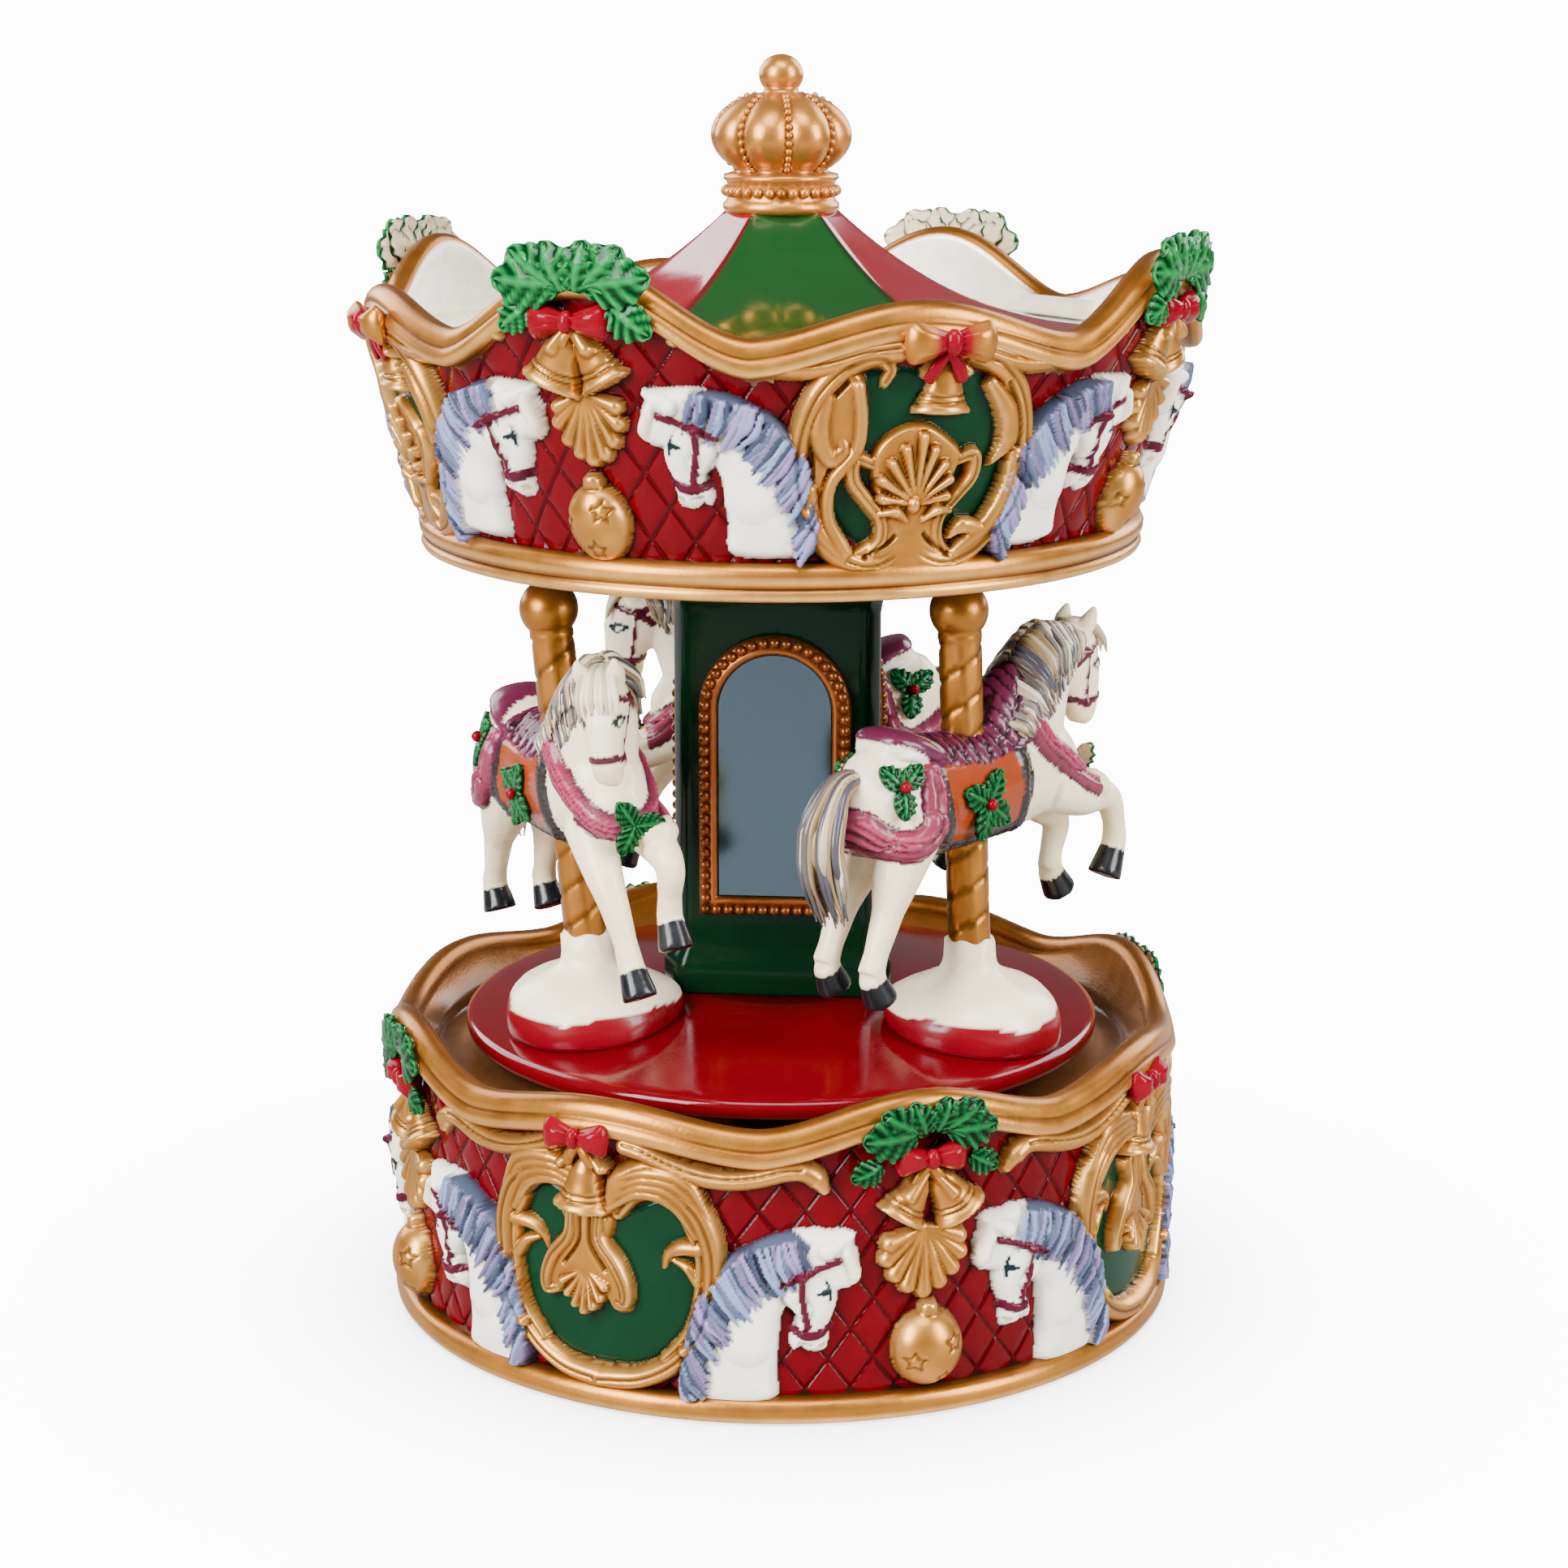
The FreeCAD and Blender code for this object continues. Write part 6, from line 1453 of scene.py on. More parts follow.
# %% Poles
POLE_GOLD = pot("a2682a")
POLE_RADIUS = 3.2
POLE_SIDES = 48
BALL_RADIUS = 4.4
GROOVE_PITCH = 5.6
CEILING = 118.0
for side in HORSES:
    foot, tilt, turn = horse_place(side)
    room = CEILING - foot[2]
    ball = room - 7.4
    section = [(POLE_RADIUS, z) for z in np.linspace(1.0, ball - BALL_RADIUS, 118)]
    section += [(3.3, ball - 4.1), (3.3, ball - 3.6)]
    for a in np.linspace(-0.75, 1.1, 16):
        section.append((BALL_RADIUS * math.cos(a), ball + BALL_RADIUS * math.sin(a)))
    section += [(2.0, ball + 4.0), (2.0, room - 0.6)]
    points, paint = [], []
    for radius, height, a in around(section, POLE_SIDES):
        phase = (height / GROOVE_PITCH - a / (2 * math.pi) * 2) % 1.0
        groove = math.exp(-((phase - 0.5) / 0.07) ** 2) if radius == POLE_RADIUS else 0.0
        facet = 0.07 * math.cos(7 * a + height / 5) if radius == POLE_RADIUS else 0.0
        reach = radius + facet - 0.3 * groove
        points.append(foot + tilt @ np.array([reach * math.cos(a), reach * math.sin(a), height]))
        # Painted shade: the paint darkens in the spiral grooves.
        paint.append(POLE_GOLD * (1 - 0.6 * groove))
    piece("twisted_pole_" + side, points, tube_faces(len(section), POLE_SIDES), np.array(paint), 1.0,
          gilding_finish,
          "carousel", "antique_gold", ["pole_" + side])
print("poles made")

# %% [markdown]
# ## Horses
#
# A horse is first built up from simple swellings, like a clay figure on a wire: rings give the barrel,
# neck and head, and tapered limbs give the legs. Their skins overlap, so they are melted into one skin
# afterwards. Places are measured from the pole: forward, to the left and up.


# %% Clay for a horse
TORSO = [(-25.6, 1.0, 2.0, 2.0), (-24.2, 1.2, 5.0, 4.2), (-21.5, 1.2, 7.8, 6.2), (-17.0, 1.2, 9.2, 7.2),
         (-10.0, 0.4, 8.8, 7.2), (-2.0, -0.2, 8.6, 7.4), (6.0, 0.2, 9.0, 7.4), (13.0, 1.2, 9.2, 7.0),
         (18.0, 0.8, 8.0, 6.0), (21.2, -0.2, 5.8, 4.8), (23.0, -0.8, 2.8, 2.8)]
NECK = [((9.0, 3.5), 10.2, 6.2), ((12.0, 7.5), 9.4, 5.6), ((14.8, 11.0), 7.9, 4.9), ((17.6, 15.0), 6.3, 4.2),
        ((20.5, 18.4), 5.0, 3.8), ((23.0, 20.2), 3.0, 2.8)]
HEAD = [((20.6, 20.2), 2.6, 2.4), ((22.2, 19.2), 4.8, 3.6), ((24.8, 16.6), 6.0, 3.9),
        ((26.6, 13.4), 4.9, 3.1), ((27.4, 10.4), 3.6, 2.5), ((27.2, 7.8), 3.1, 2.5),
        ((26.7, 6.0), 2.5, 2.3), ((26.3, 5.0), 1.4, 1.5)]


def bent_loft(rings):
    """A loft whose rings stand square to the path of their centres, in the horse's middle plane."""
    centres = np.array([[x, 0, z] for (x, z), tall, wide in rings])
    ahead = np.gradient(centres, axis=0)
    square = np.stack([-ahead[:, 2], np.zeros(len(rings)), ahead[:, 0]], 1)
    return loft([(centre, up, tall, wide) for centre, up, (place, tall, wide) in zip(centres, square, rings)])


FORELEG = [3.9, 3.1, 2.3, 1.8, 2.0]
HINDLEG = [5.6, 3.9, 2.4, 1.85, 2.1]
LEG_SET = np.array([1.0, 0.74, 1.0])
LEAN = 0.9
HIND_LEFT = ([(-15, 4.2, -1.5), (-19.6, 5.0, -8.4), (-22.8, 5.2, -13.8),
              (-25.6, 5.2, -19.0), (-27.0, 5.2, -21.8)], (-25.2, 5.2, -26.0))
LEAPING = {
    "fore_right": ([(15, -4.4, -3), (21.5, -5.2, -5.6), (27.6, -5.4, -6.6), (29.4, -5.4, -11.0),
                    (29.4, -5.4, -14.6)], (26.8, -5.4, -19.2)),
    "fore_left": ([(15, 4.4, -3), (20.5, 5.0, -7.4), (24.8, 5.2, -11.0), (23.6, 5.2, -15.6),
                   (23.0, 5.2, -18.4)], (25.4, 5.2, -22.6)),
    "hind_right": ([(-15, -4.2, -1.5), (-19.0, -5.0, -8.6), (-21.6, -5.2, -14.2), (-24.2, -5.2, -19.6),
                    (-25.6, -5.2, -22.6)], (-23.6, -5.2, -27.0)),
    "hind_left": HIND_LEFT,
}
REACHING = {
    "fore_right": ([(15, -4.4, -3), (19.6, -5.0, -8.6), (23.0, -5.0, -13.6), (25.2, -4.6, -19.0),
                    (26.2, -4.4, -22.4)], (28.2, -4.2, -27.0)),
    "fore_left": ([(15, 4.4, -3), (21.6, 5.2, -5.6), (27.0, 5.4, -8.6), (26.2, 5.2, -13.4),
                   (25.6, 5.0, -16.6)], (27.4, 4.8, -21.2)),
    "hind_right": ([(-15, -4.2, -1.5), (-20.0, -5.0, -8.0), (-24.0, -5.2, -13.2), (-27.0, -5.2, -18.4),
                    (-28.6, -5.2, -21.2)], (-27.2, -5.2, -25.4)),
    "hind_left": HIND_LEFT,
}
STANCES = {"left": REACHING, "right": LEAPING, "back": REACHING}
EARS = [([(25.2, side * 2.3, 20.4), (26.8, side * 2.7, 22.4), (28.2, side * 2.9, 24.6)],
         [1.5, 1.5, 0.4]) for side in (1, -1)]


def upright(*rings):
    """A loft whose rings stand upright: (x, y, z, reach up, reach to the side)."""
    return loft([((x, y, z), (0, 0, 1), tall, wide) for x, y, z, tall, wide in rings])


HAUNCHES = [upright((-20.5, side * 2.6, -1, 3.0, 2.4), (-18.0, side * 2.8, -0.6, 6.4, 4.2),
                    (-14.0, side * 2.8, -0.8, 7.2, 4.9), (-10.0, side * 2.8, -1.4, 5.4, 4.3),
                    (-8.0, side * 2.6, -1.6, 2.6, 2.4)) for side in (1, -1)]
POMMEL = upright((7.2, 0, 8.2, 1.5, 4.2), (8.4, 0, 8.8, 3.0, 4.9), (9.4, 0, 8.6, 2.2, 4.2))
CANTLE = upright((-19.6, 0, 9.4, 1.0, 3.4), (-18.0, 0, 9.4, 2.4, 4.8), (-15.0, 0, 8.6, 2.6, 5.6),
                 (-11.0, 0, 7.6, 2.0, 5.6), (-9.0, 0, 7.0, 1.0, 4.8))
print("rings of a horse:", len(TORSO + NECK + HEAD))

# %% [markdown]
# ### Melting the clay
#
# A boolean union of so many skins is fragile, so the overlapping skins are melted by a voxel remesh,
# which closes every joint the same way, and a few rounds of smoothing take away the voxels' steps. The
# horse at the back has the same stance as the left one, so it shares its skin.


# %% Melting the clay
def melt(parts, grain=0.42):
    """Melts overlapping closed skins into one smooth skin: points, faces and outward directions."""
    points, faces, _, _ = heap([(these, sides, CREAM, 0.0) for these, sides in parts])
    lump = raw("clay", points.tolist(), [], faces)
    skin = lump.modifiers.new("one_skin", "REMESH")
    skin.mode = "VOXEL"
    skin.voxel_size = grain
    calm = lump.modifiers.new("smoothed", "SMOOTH")
    calm.factor = 0.5
    calm.iterations = 8
    mesh = after_modifiers(lump)
    count = len(mesh.vertices)
    places = np.empty(count * 3)
    outward = np.empty(count * 3)
    mesh.vertices.foreach_get("co", places)
    mesh.vertices.foreach_get("normal", outward)
    faces = [tuple(face.vertices) for face in mesh.polygons]
    return places.reshape(-1, 3), faces, outward.reshape(-1, 3)


def horse_clay(stance):
    """All the swellings of a horse in one stance, melted."""
    parts = [upright(*[(x, 0, middle, tall, wide * LEAN) for x, middle, tall, wide in TORSO]),
             bent_loft(NECK), bent_loft(HEAD)]
    parts += [limb(path, radii) for path, radii in EARS]
    parts += HAUNCHES + [POMMEL, CANTLE]
    for name, (path, hoof) in stance.items():
        path = np.array(path) * LEG_SET
        parts.append(limb(path, FORELEG if name.startswith("fore") else HINDLEG))
        parts.append(limb([path[-1], np.array(hoof) * LEG_SET], [1.95, 2.8], steps=1))
    return melt(parts)


clay = {side: horse_clay(STANCES[side]) for side in ("left", "right")}
clay["back"] = clay["left"]
for side, (points, faces, outward) in clay.items():
    print(side, "horse skin:", len(points), "points")

# %% [markdown]
# ## Tack and paint
#
# The tack is modelled on the melted skin with the same relief tools as the walls, seen from the side:
# a plum saddle with a quilted seat, an orange blanket with a ribbed fringe, a rose breast collar and a
# rose crupper, and a maroon bridle. Straps of their own would have to be fitted to each horse, while a
# relief follows the skin by itself.

# %% Tack and paint
PLUM = pot("581a36")
ROSE = pot("76283f")
ORANGE = pot("8a3410")
CHARCOAL = pot("2a2524")
HOOF_BLACK = pot("101216")
MUZZLE = pot("ead49a")
BREAST_COLLAR = [(10.2, 7.6), (12.2, 4.8), (15.6, 2.2), (19.0, -0.4), (22.0, -2.6), (24.4, -3.6)]
CRUPPER = [(-25.6, -0.6), (-22.6, -3.2), (-19.0, -4.2), (-15.8, -2.4), (-14.4, 1.4), (-13.6, 5.0)]
WARM_SHADE = pot("dcb987")


def dress_horse(points, outward, stance):
    """Relief and paint on a horse's skin, seen from the side and from the front."""
    side = Relief(points[:, 0], points[:, 2], CREAM)
    x, y, z = points.T
    # Painted shade: the cream turns tan towards the bottom and on faces that look down.
    painted_shade = np.clip((-4 - z) / 22, 0, 1) * 0.5 + 0.35 * np.clip(-outward[:, 2] - 0.2, 0, 1)
    side.paint += painted_shade[:, None] * (WARM_SHADE - CREAM)
    blanket = [(-12.2, 5.2), (-12.4, 0.0), (-11.6, -7.0), (-3.0, -7.4), (6.6, -6.8), (7.0, 0.0), (6.4, 5.2),
               (-3.0, 5.0)]
    fringe = [[(-12.0, 5.0), (-12.2, 0.0), (-11.4, -7.0)],
              [(6.2, 4.6), (6.8, 0.0), (6.4, -6.6)],
              [(-11.4, -7.0), (-3.0, -7.4), (6.4, -6.6)]]
    side.patch(blanket, 0.5, ORANGE, 0.0, 0.8)
    for path in fringe:
        side.strap(path, 1.5, 0.3, CHARCOAL)
    for k in range(26):
        along = -11.8 + 18.2 * k / 25
        side.groove([(along, -8.6), (along, -6.2)], 0.22, 0.25, 0.5)
    for k in range(16):
        up = -6.4 + 11.0 * k / 15
        side.groove([(-13.4, up), (-10.9, up + 0.2)], 0.22, 0.25, 0.5)
        side.groove([(5.4, up), (7.9, up - 0.2)], 0.22, 0.25, 0.5)
    seat = (z > 4.2 + 0.16 * np.abs(x + 1)) & (x > -10.4) & (x < 10.4)
    side.paint[seat] = PLUM
    side.height[seat] = 0.55
    for k in range(-9, 14):
        for slope in (1, -1):
            near = np.abs(((x + slope * (z * 0.9 + np.abs(y) * 0.55)) / 2.6 - k)) < 0.1
            take = near & seat
            side.height[take] -= 0.25
            # Painted shade along the seat's quilting lines.
            side.paint[take] = PLUM * 0.15
    for path, width in ((BREAST_COLLAR, 1.9), (CRUPPER, 2.1)):
        side.strap(path, width + 0.45, 0.3, PLUM * 0.7)
        side.roll(path, width, 1.5, ROSE)
        # Painted highlights: three lighter lines run along the padded band, and the scratched lines between
        # them carry painted shade.
        for slip in (-0.5, 0.4, 1.1):
            side.strap([(u + 0.6 * slip, v + 0.7 * slip) for u, v in path], 0.3, 0.12, ROSE * 2.2)
        for slip in (-0.9, 0.0, 0.8):
            side.groove([(u + 0.6 * slip, v + 0.7 * slip) for u, v in path], 0.34, 0.4, 0.25)
    for u, v in ((13.8, 2.9), (18.6, -1.0), (-20.8, -4.2), (-15.4, -3.4)):
        ring = [(u + 0.6 * math.cos(a), v + 0.6 * math.sin(a)) for a in np.linspace(0, 2 * math.pi, 9)]
        side.groove(ring, 0.2, 0.3, 0.4, steps=2)
    side.roll([(-19.6, 11.4), (-16.6, 10.8), (-13.2, 8.8), (-10.6, 6.2)], [1.0, 1.3, 1.3, 1.0], 0.7, PLUM)
    side.roll([(-17.6, 8.4), (-15.0, 7.6), (-13.6, 5.6), (-15.0, 4.4), (-16.0, 5.4), (-15.2, 6.2)],
              [0.6, 0.9, 0.9, 0.8, 0.6, 0.4], 0.7, IVORY)
    side.strap([(23.0, 18.4), (25.4, 17.6), (28.6, 18.6)], 0.55, 0.25, MAROON)
    side.strap([(25.2, 17.6), (25.6, 14.0), (26.0, 11.0), (26.4, 9.2)], 0.34, 0.25, MAROON)
    side.strap([(23.4, 9.6), (26.4, 9.0), (31.2, 9.6)], 0.6, 0.25, MAROON)
    side.strap([(22.6, 16.0), (25.2, 17.6)], 0.75, 0.4, MAROON)
    side.patch([(25.4, 8.4), (26.4, 9.6), (27.2, 8.6), (26.2, 7.6)], 0.5, MAROON, 0.0, 0.4)
    cheek = np.abs(y) > 1.6
    eye = Relief(x, z, CREAM)
    eye.strap([(27.0, 15.0), (28.4, 15.6), (29.6, 15.0)], 0.42, 0.2, INK)
    eye.strap([(27.6, 14.6), (28.6, 14.2), (29.6, 14.6)], 0.2, 0.1, INK)
    lit = (eye.height > 0) & cheek
    side.paint[lit] = INK
    side.height[lit] += 0.15
    muzzle = (z < 8.0) & (x > 23)
    side.paint[muzzle & (np.abs(y) < 9)] = 0.6 * MUZZLE + 0.4 * CREAM
    under = z < -13
    for path, hoof in stance.values():
        ankle = np.array(path[-1]) * LEG_SET
        toe = np.array(hoof) * LEG_SET
        axis = (toe - ankle) / np.linalg.norm(toe - ankle)
        gone = (points - ankle) @ axis
        aside = np.linalg.norm(points - ankle - gone[:, None] * axis, axis=1)
        shod = (gone > 0.9) & (aside < 4.2) & under
        side.paint[shod] = HOOF_BLACK
    side.paint[(x > 24.5) & (z > 21.6)] = 0.5 * MUZZLE + 0.5 * CREAM
    return side


print("tack ready")

# %% [markdown]
# ### Mane and tail
#
# Hair on a small casting is a bundle of tapered locks, not single hairs. Each lock is a limb along a bent
# path, in grey, brown or cream, and a fixed seed for each horse keeps the bundle the same every time.

# %% Mane and tail
TAIL_LOCKS = 60
FORELOCKS = 9
LOCK_COLOURS = [pot("d8ccb0"), pot("7a7166"), pot("564e48"), pot("b5a282"), pot("45424a"), pot("8c7452")]


def lock(path, thick, paint):
    """One tapered lock of hair."""
    points, faces = limb(path, [thick * 0.7, thick, thick * 0.85, 0.12], sides=7, steps=5)
    return points, faces, paint, 0.0


def horse_hair(seed):
    """Mane, forelock and tail, as bundles of locks."""
    hand = random.Random(seed)
    parts = []
    crest = flowing([(24.6, 21.8), (20.0, 22.4), (15.2, 20.6), (10.8, 17.0), (7.0, 12.4), (5.2, 9.6)], 13)
    lower = flowing([(21.0, 15.4), (18.6, 13.0), (16.0, 10.8), (13.6, 8.4), (10.8, 6.6), (8.2, 5.6)], 13)
    for k, (top, end) in enumerate(zip(crest, lower)):
        for side in (1, -1):
            for layer in (0, 1):
                slip = hand.uniform(-0.8, 0.8)
                wide = 3.7 + 2.0 * k / len(crest)
                reach = 1.0 - 0.28 * layer
                middle = top + (end - top) * 0.5 * reach
                tip = top + (end - top) * reach
                path = [(top[0] + slip, side * 0.3, top[1] - 0.2),
                        (top[0] * 0.8 + middle[0] * 0.2 + slip, side * 1.9, top[1] - 0.7),
                        (middle[0] + slip * 0.6, side * (wide - 0.2 + 0.7 * layer), middle[1]),
                        (tip[0] + hand.uniform(-0.8, 0.8), side * (wide + 0.5 + 0.7 * layer), tip[1])]
                parts.append(lock(path, hand.uniform(0.5, 0.8), hand.choice(LOCK_COLOURS)))
    for k in range(FORELOCKS):
        across = -2.4 + 4.8 * k / (FORELOCKS - 1)
        path = [(23.4, across * 0.4, 22.6), (27.4, across * 0.9, 21.8), (29.8, across * 1.2, 19.0),
                (30.6, across * 1.1 + hand.uniform(-0.5, 0.5), 16.4)]
        parts.append(lock(path, 0.75, LOCK_COLOURS[0] if k % 3 else LOCK_COLOURS[3]))
    for _ in range(TAIL_LOCKS):
        turn = hand.uniform(0, 2 * math.pi)
        out = hand.uniform(0.4, 1.0)
        y, w = 3.2 * out * math.cos(turn), 2.9 * out * math.sin(turn)
        stop = hand.uniform(0.75, 1.0)
        sway = hand.uniform(-0.7, 0.7)
        path = [(-21.5, y * 0.25, 5.6 + w * 0.2), (-27.0, y * 0.6, 5.0 + w * 0.5),
                (-30.0 - w * 0.8, y * 0.95, 1.2),
                (-31.0 - w * 0.9 + sway, y + sway, -3.4), (-30.4 - w - sway, y * 1.1 - sway, -8.2),
                (-29.0 - w * 0.6 * stop, y * 0.9 + sway, -5.0 - 10.0 * stop)]
        parts.append(lock(path, hand.uniform(0.6, 0.9), hand.choice(LOCK_COLOURS)))
    return heap(parts)


print("hair ready:", TAIL_LOCKS, "locks in a tail")


# %% [markdown]
# ### Pinned holly
#
# Holly and berries are pinned to the blanket, the rump and the chest. The leaf of the walls is used
# again. How far out the skin reaches is measured at each pin, so the leaves lie on it on every horse.


# %% Pinned holly
def horse_trim(skin):
    """Holly and berries pinned to the blanket, the rump and the chest."""
    parts = []

    def aside(x, z, side):
        """How far out the skin reaches at a place, on one side."""
        near = skin[(np.abs(skin[:, 0] - x) < 1.0) & (np.abs(skin[:, 2] - z) < 1.0)]
        return (near[:, 1] * side).max()

    def pin(place, out, turn, size):
        """One leaf pinned at a place, facing out and turned about that direction."""
        points, faces, paint = leaf(size, size * 0.38, 0.5, 0.4)
        out = np.array(out, float) / np.linalg.norm(out)
        along = np.cross([0, 1, 0] if abs(out[1]) < 0.8 else [0, 0, 1], out)
        along /= np.linalg.norm(along)
        across = np.cross(out, along)
        angle = math.radians(turn)
        first = along * math.cos(angle) + across * math.sin(angle)
        second = across * math.cos(angle) - along * math.sin(angle)
        moved = np.array(place) + points[:, :1] * first + points[:, 1:2] * second + points[:, 2:] * out
        parts.append((moved, faces, paint, 0.0))

    for side in (1, -1):
        flank = aside(-3.0, -1.2, side)
        for turn in (60, 150, 250, 320):
            pin((-3.0, side * (flank + 0.3), -1.2), (0, side, 0), turn, 5.4)
        parts.append(bead(np.array([-3.0, side * (flank + 1.1), -1.2]), 0.9, BOW_RED))
        rump = aside(-19.5, 4.2, side)
        for turn in (40, 130, 260):
            pin((-19.5, side * (rump + 0.1), 4.2), (-0.3, side, 0.4), turn, 4.6)
        parts.append(bead(np.array([-19.8, side * (rump + 0.9), 4.6]), 0.9, BOW_RED))
    breast = skin[(np.abs(skin[:, 2] + 2.4) < 1.0) & (np.abs(skin[:, 1]) < 1.5), 0].max()
    for turn in (90, 210, 330):
        pin((breast + 0.3, 0, -2.4), (1, 0, -0.2), turn, 4.6)
    return heap(parts)


print("pinned holly ready")

# %% [markdown]
# ### Standing the horses
#
# The finished horses are set on their poles, each with its own turn, and the left one's head is turned
# towards the viewer, fading out down its neck. Skin, hair and holly are three pieces of each horse,
# because their finishes differ.

# %% Standing the horses
POLL = np.array([21.0, 0.0, 17.6])
HEAD_GROWTH = -0.06
HEAD_TURNS = {"left": -34.0, "right": 0.0, "back": 0.0}
HEAD_DROP = 1.2
POLE_TO_SADDLE = 37.5


def held_head(spots, aside):
    """Makes the head a little smaller, lowers it and turns it aside, fading out down the neck."""
    spots = np.asarray(spots, float)
    share = np.clip((spots[:, 0] - 16) / 6, 0, 1) * np.clip((spots[:, 2] - 1) / 5, 0, 1)
    share = share * share * (3 - 2 * share)
    angle = np.radians(aside) * share
    away = (spots - POLL) * (1 + HEAD_GROWTH * share)[:, None]
    turned = np.stack([away[:, 0] * np.cos(angle) - away[:, 1] * np.sin(angle),
                       away[:, 0] * np.sin(angle) + away[:, 1] * np.cos(angle),
                       away[:, 2] - HEAD_DROP * share], 1)
    return POLL + turned


for name in HORSES:
    foot, tilt, turn = horse_place(name)
    points, faces, outward = clay[name]
    coat = dress_horse(points, outward, STANCES[name])
    moulded = points + outward * coat.height[:, None]

    def stand(spots):
        """A horse's own places, in the frame of the whole."""
        return foot + (tilt @ np.array([0, 0, POLE_TO_SADDLE])) + held_head(spots, HEAD_TURNS[name]) @ turn.T

    piece("horse_%s_cast" % name, stand(moulded), faces, coat.paint, 0.0, enamel_finish, "carousel",
          "ivory_enamel", ["horse_" + name])
    spots, faces, paint, gilt = horse_hair(name)
    piece("horse_%s_hair" % name, stand(spots), faces, paint, gilt, enamel_finish, "carousel", "ivory_enamel")
    spots, faces, paint, gilt = horse_trim(moulded)
    piece("horse_%s_holly" % name, stand(spots), faces, paint, gilt, casting_finish, "carousel",
          "green_lacquer")
print("horses stand on their poles")

# %% [markdown]
# ## The clockwork inside
#
# The movement, its key and the closing plate keep their CAD shapes, because they are turned, cut and
# stamped metal already. They get brushed metal and board finishes, so that the underside and any view
# between the pieces is finished too.


# %% The clockwork inside
STREAK_WEAR = 0.2
STREAK_DEPTH = 0.0002


def worked(name, colour, metal, rough, scale, depth):
    """A metal or board finish: fine streaks change its shade, its gloss and its surface."""
    finish = bpy.data.materials.new(name)
    finish.use_nodes = True
    tree = finish.node_tree
    streak = noise(tree, add(tree, "ShaderNodeTexCoord"), scale, 6.0)
    ramp = add(tree, "ShaderNodeValToRGB", {"Fac": streak})
    ramp.color_ramp.elements[0].color = (*(colour * 0.72), 1)
    ramp.color_ramp.elements[1].color = (*np.minimum(colour * 1.15, 1), 1)
    fill(tree, tree.nodes["Principled BSDF"], {
        "Base Color": ramp.outputs["Color"],
        "Metallic": metal,
        "Roughness": sum_node(tree, "MULTIPLY_ADD", streak, STREAK_WEAR, rough),
        "Normal": grained(tree, streak, depth, STREAK_DEPTH)})
    return finish


WORKED = {
    "movement_steel": worked("brushed_steel", pot("aab0b5"), 1.0, 0.25, 900.0, 0.1),
    "movement_brass": worked("stamped_brass", pot("c49a4c"), 1.0, 0.22, 700.0, 0.1),
    "nylon": worked("white_nylon", pot("d9d6cc"), 0.0, 0.4, 400.0, 0.1),
    "backing_board": worked("brown_board", pot("5b4432"), 0.0, 0.6, 350.0, 0.3),
    "mirror_glass": worked("mirror_silvering", pot("54646f"), 1.0, 0.02, 30.0, 0.0),
}
SLOTS = {part["node"]: part.get("material_slot") for part in frame["record"]["subparts"]}
kept = 0
for node, thing in frame["nodes"].items():
    if thing.hide_render:
        continue
    finish = WORKED.get(SLOTS.get(node)) or casting_finish
    thing.data.materials.clear()
    thing.data.materials.append(finish)
    kept += 1
print("CAD pieces kept:", kept)

# %% [markdown]
# ## Table
#
# The photograph is a studio picture on white paper. A bright room would haze the lacquer, so the paper
# glows for the camera's own rays only, with a painted shadow that darkens it near the object, and is
# dull for all other rays. From below it is clear, so that the closing plate and the key can be seen.

# %% Table
REACH = 6.0
corners = [(-REACH, -REACH, 0), (REACH, -REACH, 0), (REACH, REACH, 0), (-REACH, REACH, 0)]
floor = raw("table_top", corners, [], [(0, 1, 2, 3)])
floor_finish = bpy.data.materials.new("white_paper")
floor_finish.use_nodes = True
sheet = floor_finish.node_tree
paper = sheet.nodes["Principled BSDF"]
fill(sheet, paper, {"Base Color": (0.3, 0.3, 0.3, 1), "Roughness": 0.7})
# Painted shadow: the paper's glow is darker where the object hides its surroundings.
near = add(sheet, "ShaderNodeAmbientOcclusion", {"Distance": 0.07}, samples=8)
shade = add(sheet, "ShaderNodeMapRange",
            {"Value": near.outputs["AO"], "From Min": 0.35, "To Min": 3.0, "To Max": 13.0})
glow_with_painted_shadow = add(sheet, "ShaderNodeEmission", {"Strength": shade.outputs["Result"]})
rays = add(sheet, "ShaderNodeLightPath").outputs
either = add(sheet, "ShaderNodeMixShader",
             {"Fac": rays["Is Camera Ray"], 1: paper.outputs["BSDF"], 2: glow_with_painted_shadow.outputs["Emission"]})
below = add(sheet, "ShaderNodeNewGeometry").outputs["Backfacing"]
clear = add(sheet, "ShaderNodeBsdfTransparent")
through = sum_node(sheet, "MAXIMUM", below, rays["Is Shadow Ray"])
one_way = add(sheet, "ShaderNodeMixShader",
              {"Fac": through, 1: either.outputs["Shader"], 2: clear.outputs["BSDF"]})
fill(sheet, sheet.nodes["Material Output"], {"Surface": one_way.outputs["Shader"]})
floor.data.materials.append(floor_finish)
print("table laid:", floor.name)

# %% [markdown]
# ## Light
#
# Large soft windows light the picture. The world is bright for the camera and dim for everything else,
# which keeps the lacquer deep. Two soft boxes stand in front, two behind and one above, and a weak one
# below shows the underside.

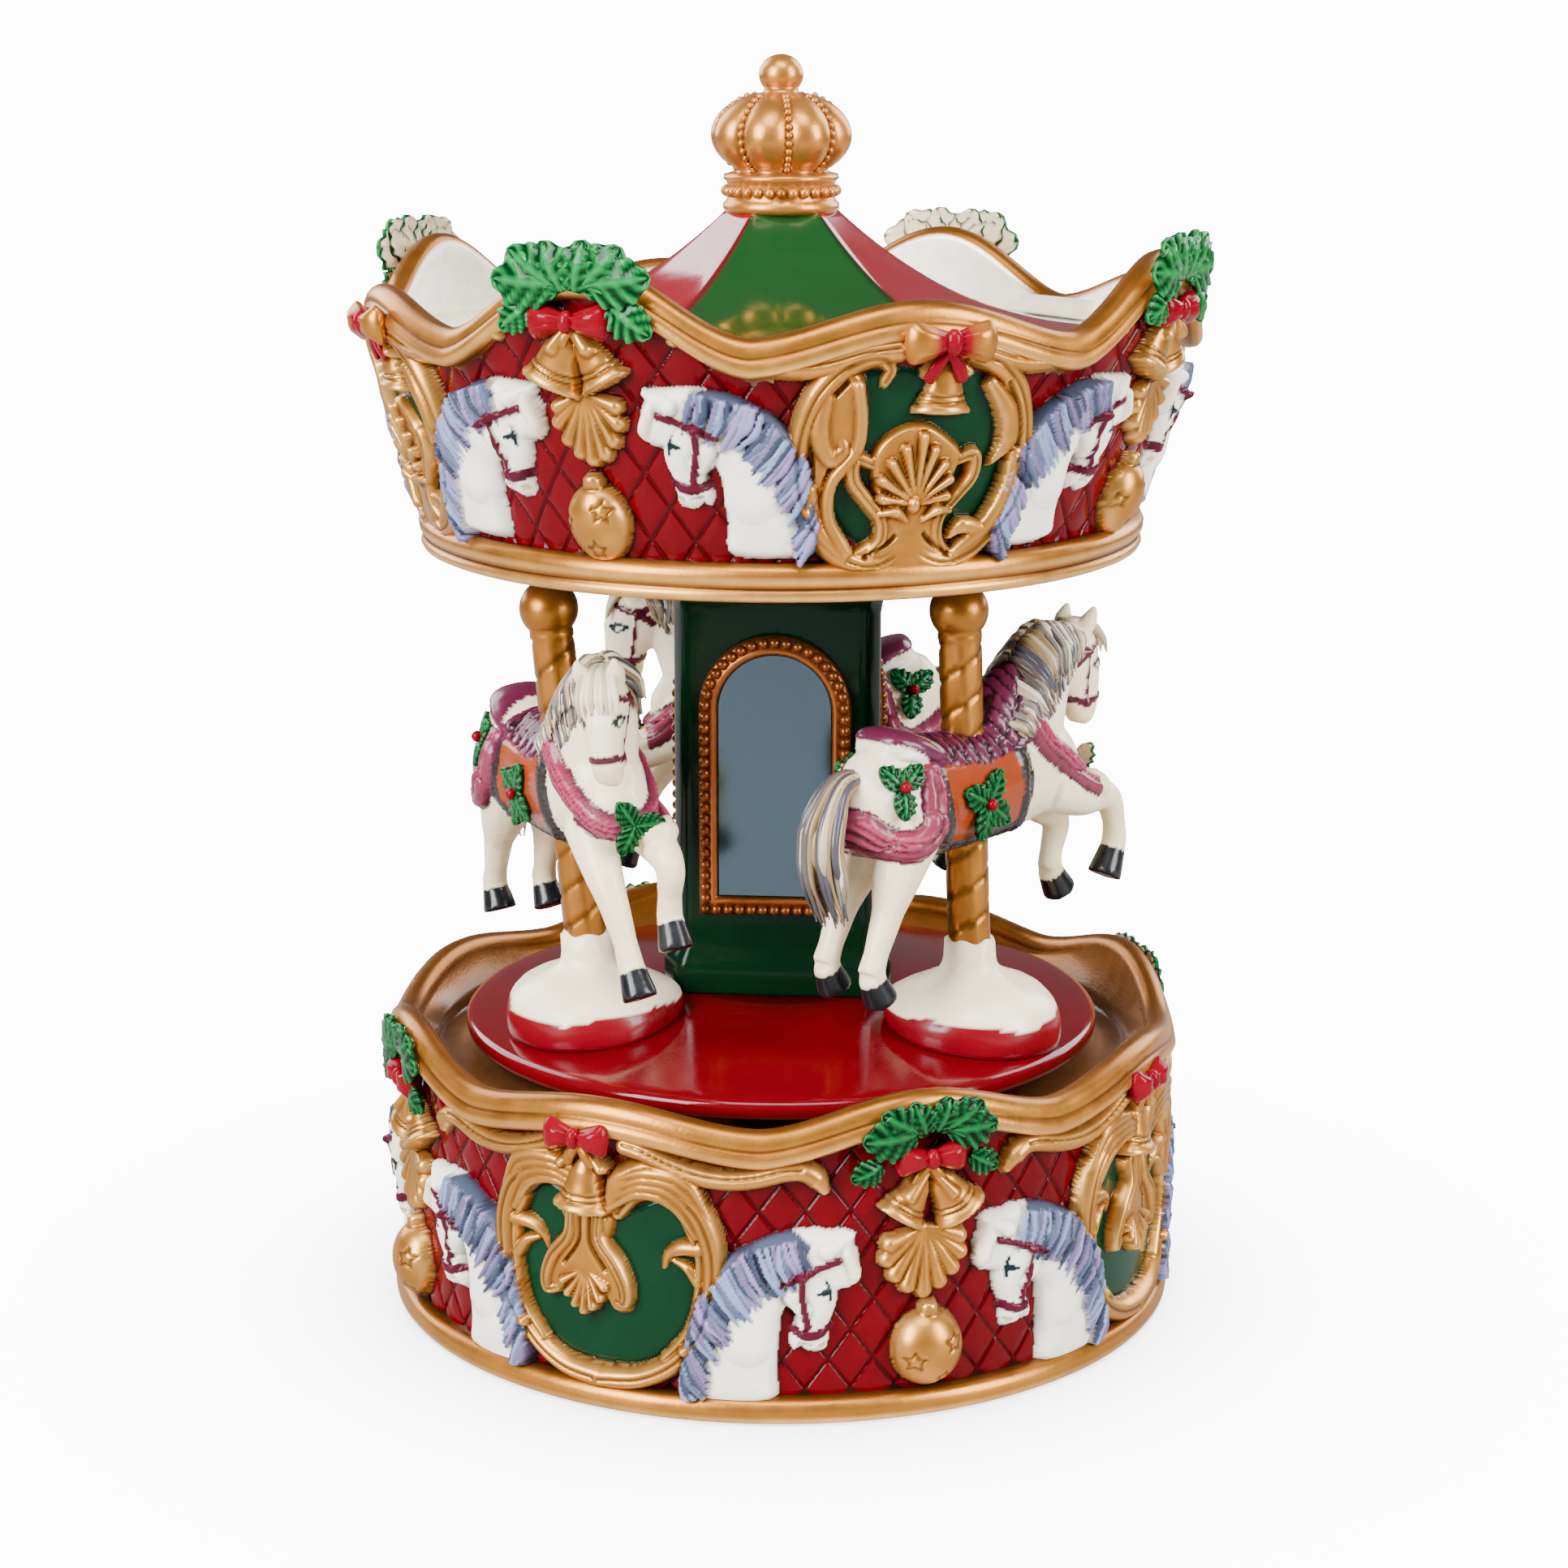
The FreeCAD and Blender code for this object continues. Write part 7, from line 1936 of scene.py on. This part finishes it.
# %% Light
world = bpy.data.worlds.new("studio")
bpy.context.scene.world = world
world.use_nodes = True
room = world.node_tree
seen = add(room, "ShaderNodeLightPath").outputs["Is Camera Ray"]
shown = add(room, "ShaderNodeMapRange", {"Value": seen, "To Min": 0.2, "To Max": 14.0})
fill(room, room.nodes["Background"], {"Color": (1, 1, 1, 1), "Strength": shown.outputs["Result"]})


def soft_box(name, place, aim, size, power):
    """A rectangular soft box at a place, turned towards its aim."""
    light = bpy.data.lights.new(name, "AREA")
    light.shape = "RECTANGLE"
    light.size, light.size_y = size
    light.energy = power
    lamp = bpy.data.objects.new(name, light)
    lamp.location = place
    lamp.rotation_euler = (Vector(aim) - Vector(place)).to_track_quat("-Z", "Y").to_euler()
    bpy.context.scene.collection.objects.link(lamp)
    print(name, power, "watts")


soft_box("left_window", (-0.55, -0.55, 0.45), (0, 0, 0.09), (0.4, 0.6), 22.0)
soft_box("right_window", (0.65, -0.4, 0.4), (0, 0, 0.09), (0.3, 0.6), 13.0)
soft_box("left_back", (-0.6, 0.55, 0.5), (0, 0, 0.1), (0.5, 0.7), 9.0)
soft_box("right_back", (0.6, 0.55, 0.5), (0, 0, 0.1), (0.5, 0.7), 9.0)
soft_box("top_light", (0.0, -0.35, 0.9), (0, 0, 0.1), (0.5, 0.4), 8.0)
soft_box("under_light", (0.1, -0.15, -0.5), (0, 0, 0), (0.3, 0.3), 4.0)

# %% [markdown]
# ## Camera
#
# The camera stands where the photographer's stood, found from the ellipses of the rims. Its focal length
# is given in pixels of the picture.

# %% Camera
SENSOR = 36.0
PICTURE_PIXELS = 1932
FOCAL_PIXELS = 4200
CENTRE_SHIFT = 3.5
LOOK_DOWN = 13.66
camera_data = bpy.data.cameras.new("photograph")
camera_data.sensor_width = SENSOR
camera_data.lens = SENSOR * FOCAL_PIXELS / PICTURE_PIXELS
camera_data.shift_x = CENTRE_SHIFT / PICTURE_PIXELS
camera = bpy.data.objects.new("photograph", camera_data)
camera.location = (0.0, -0.512, 0.204)
camera.rotation_euler = (math.radians(90 - LOOK_DOWN), 0, 0)
bpy.context.scene.collection.objects.link(camera)
bpy.context.scene.camera = camera
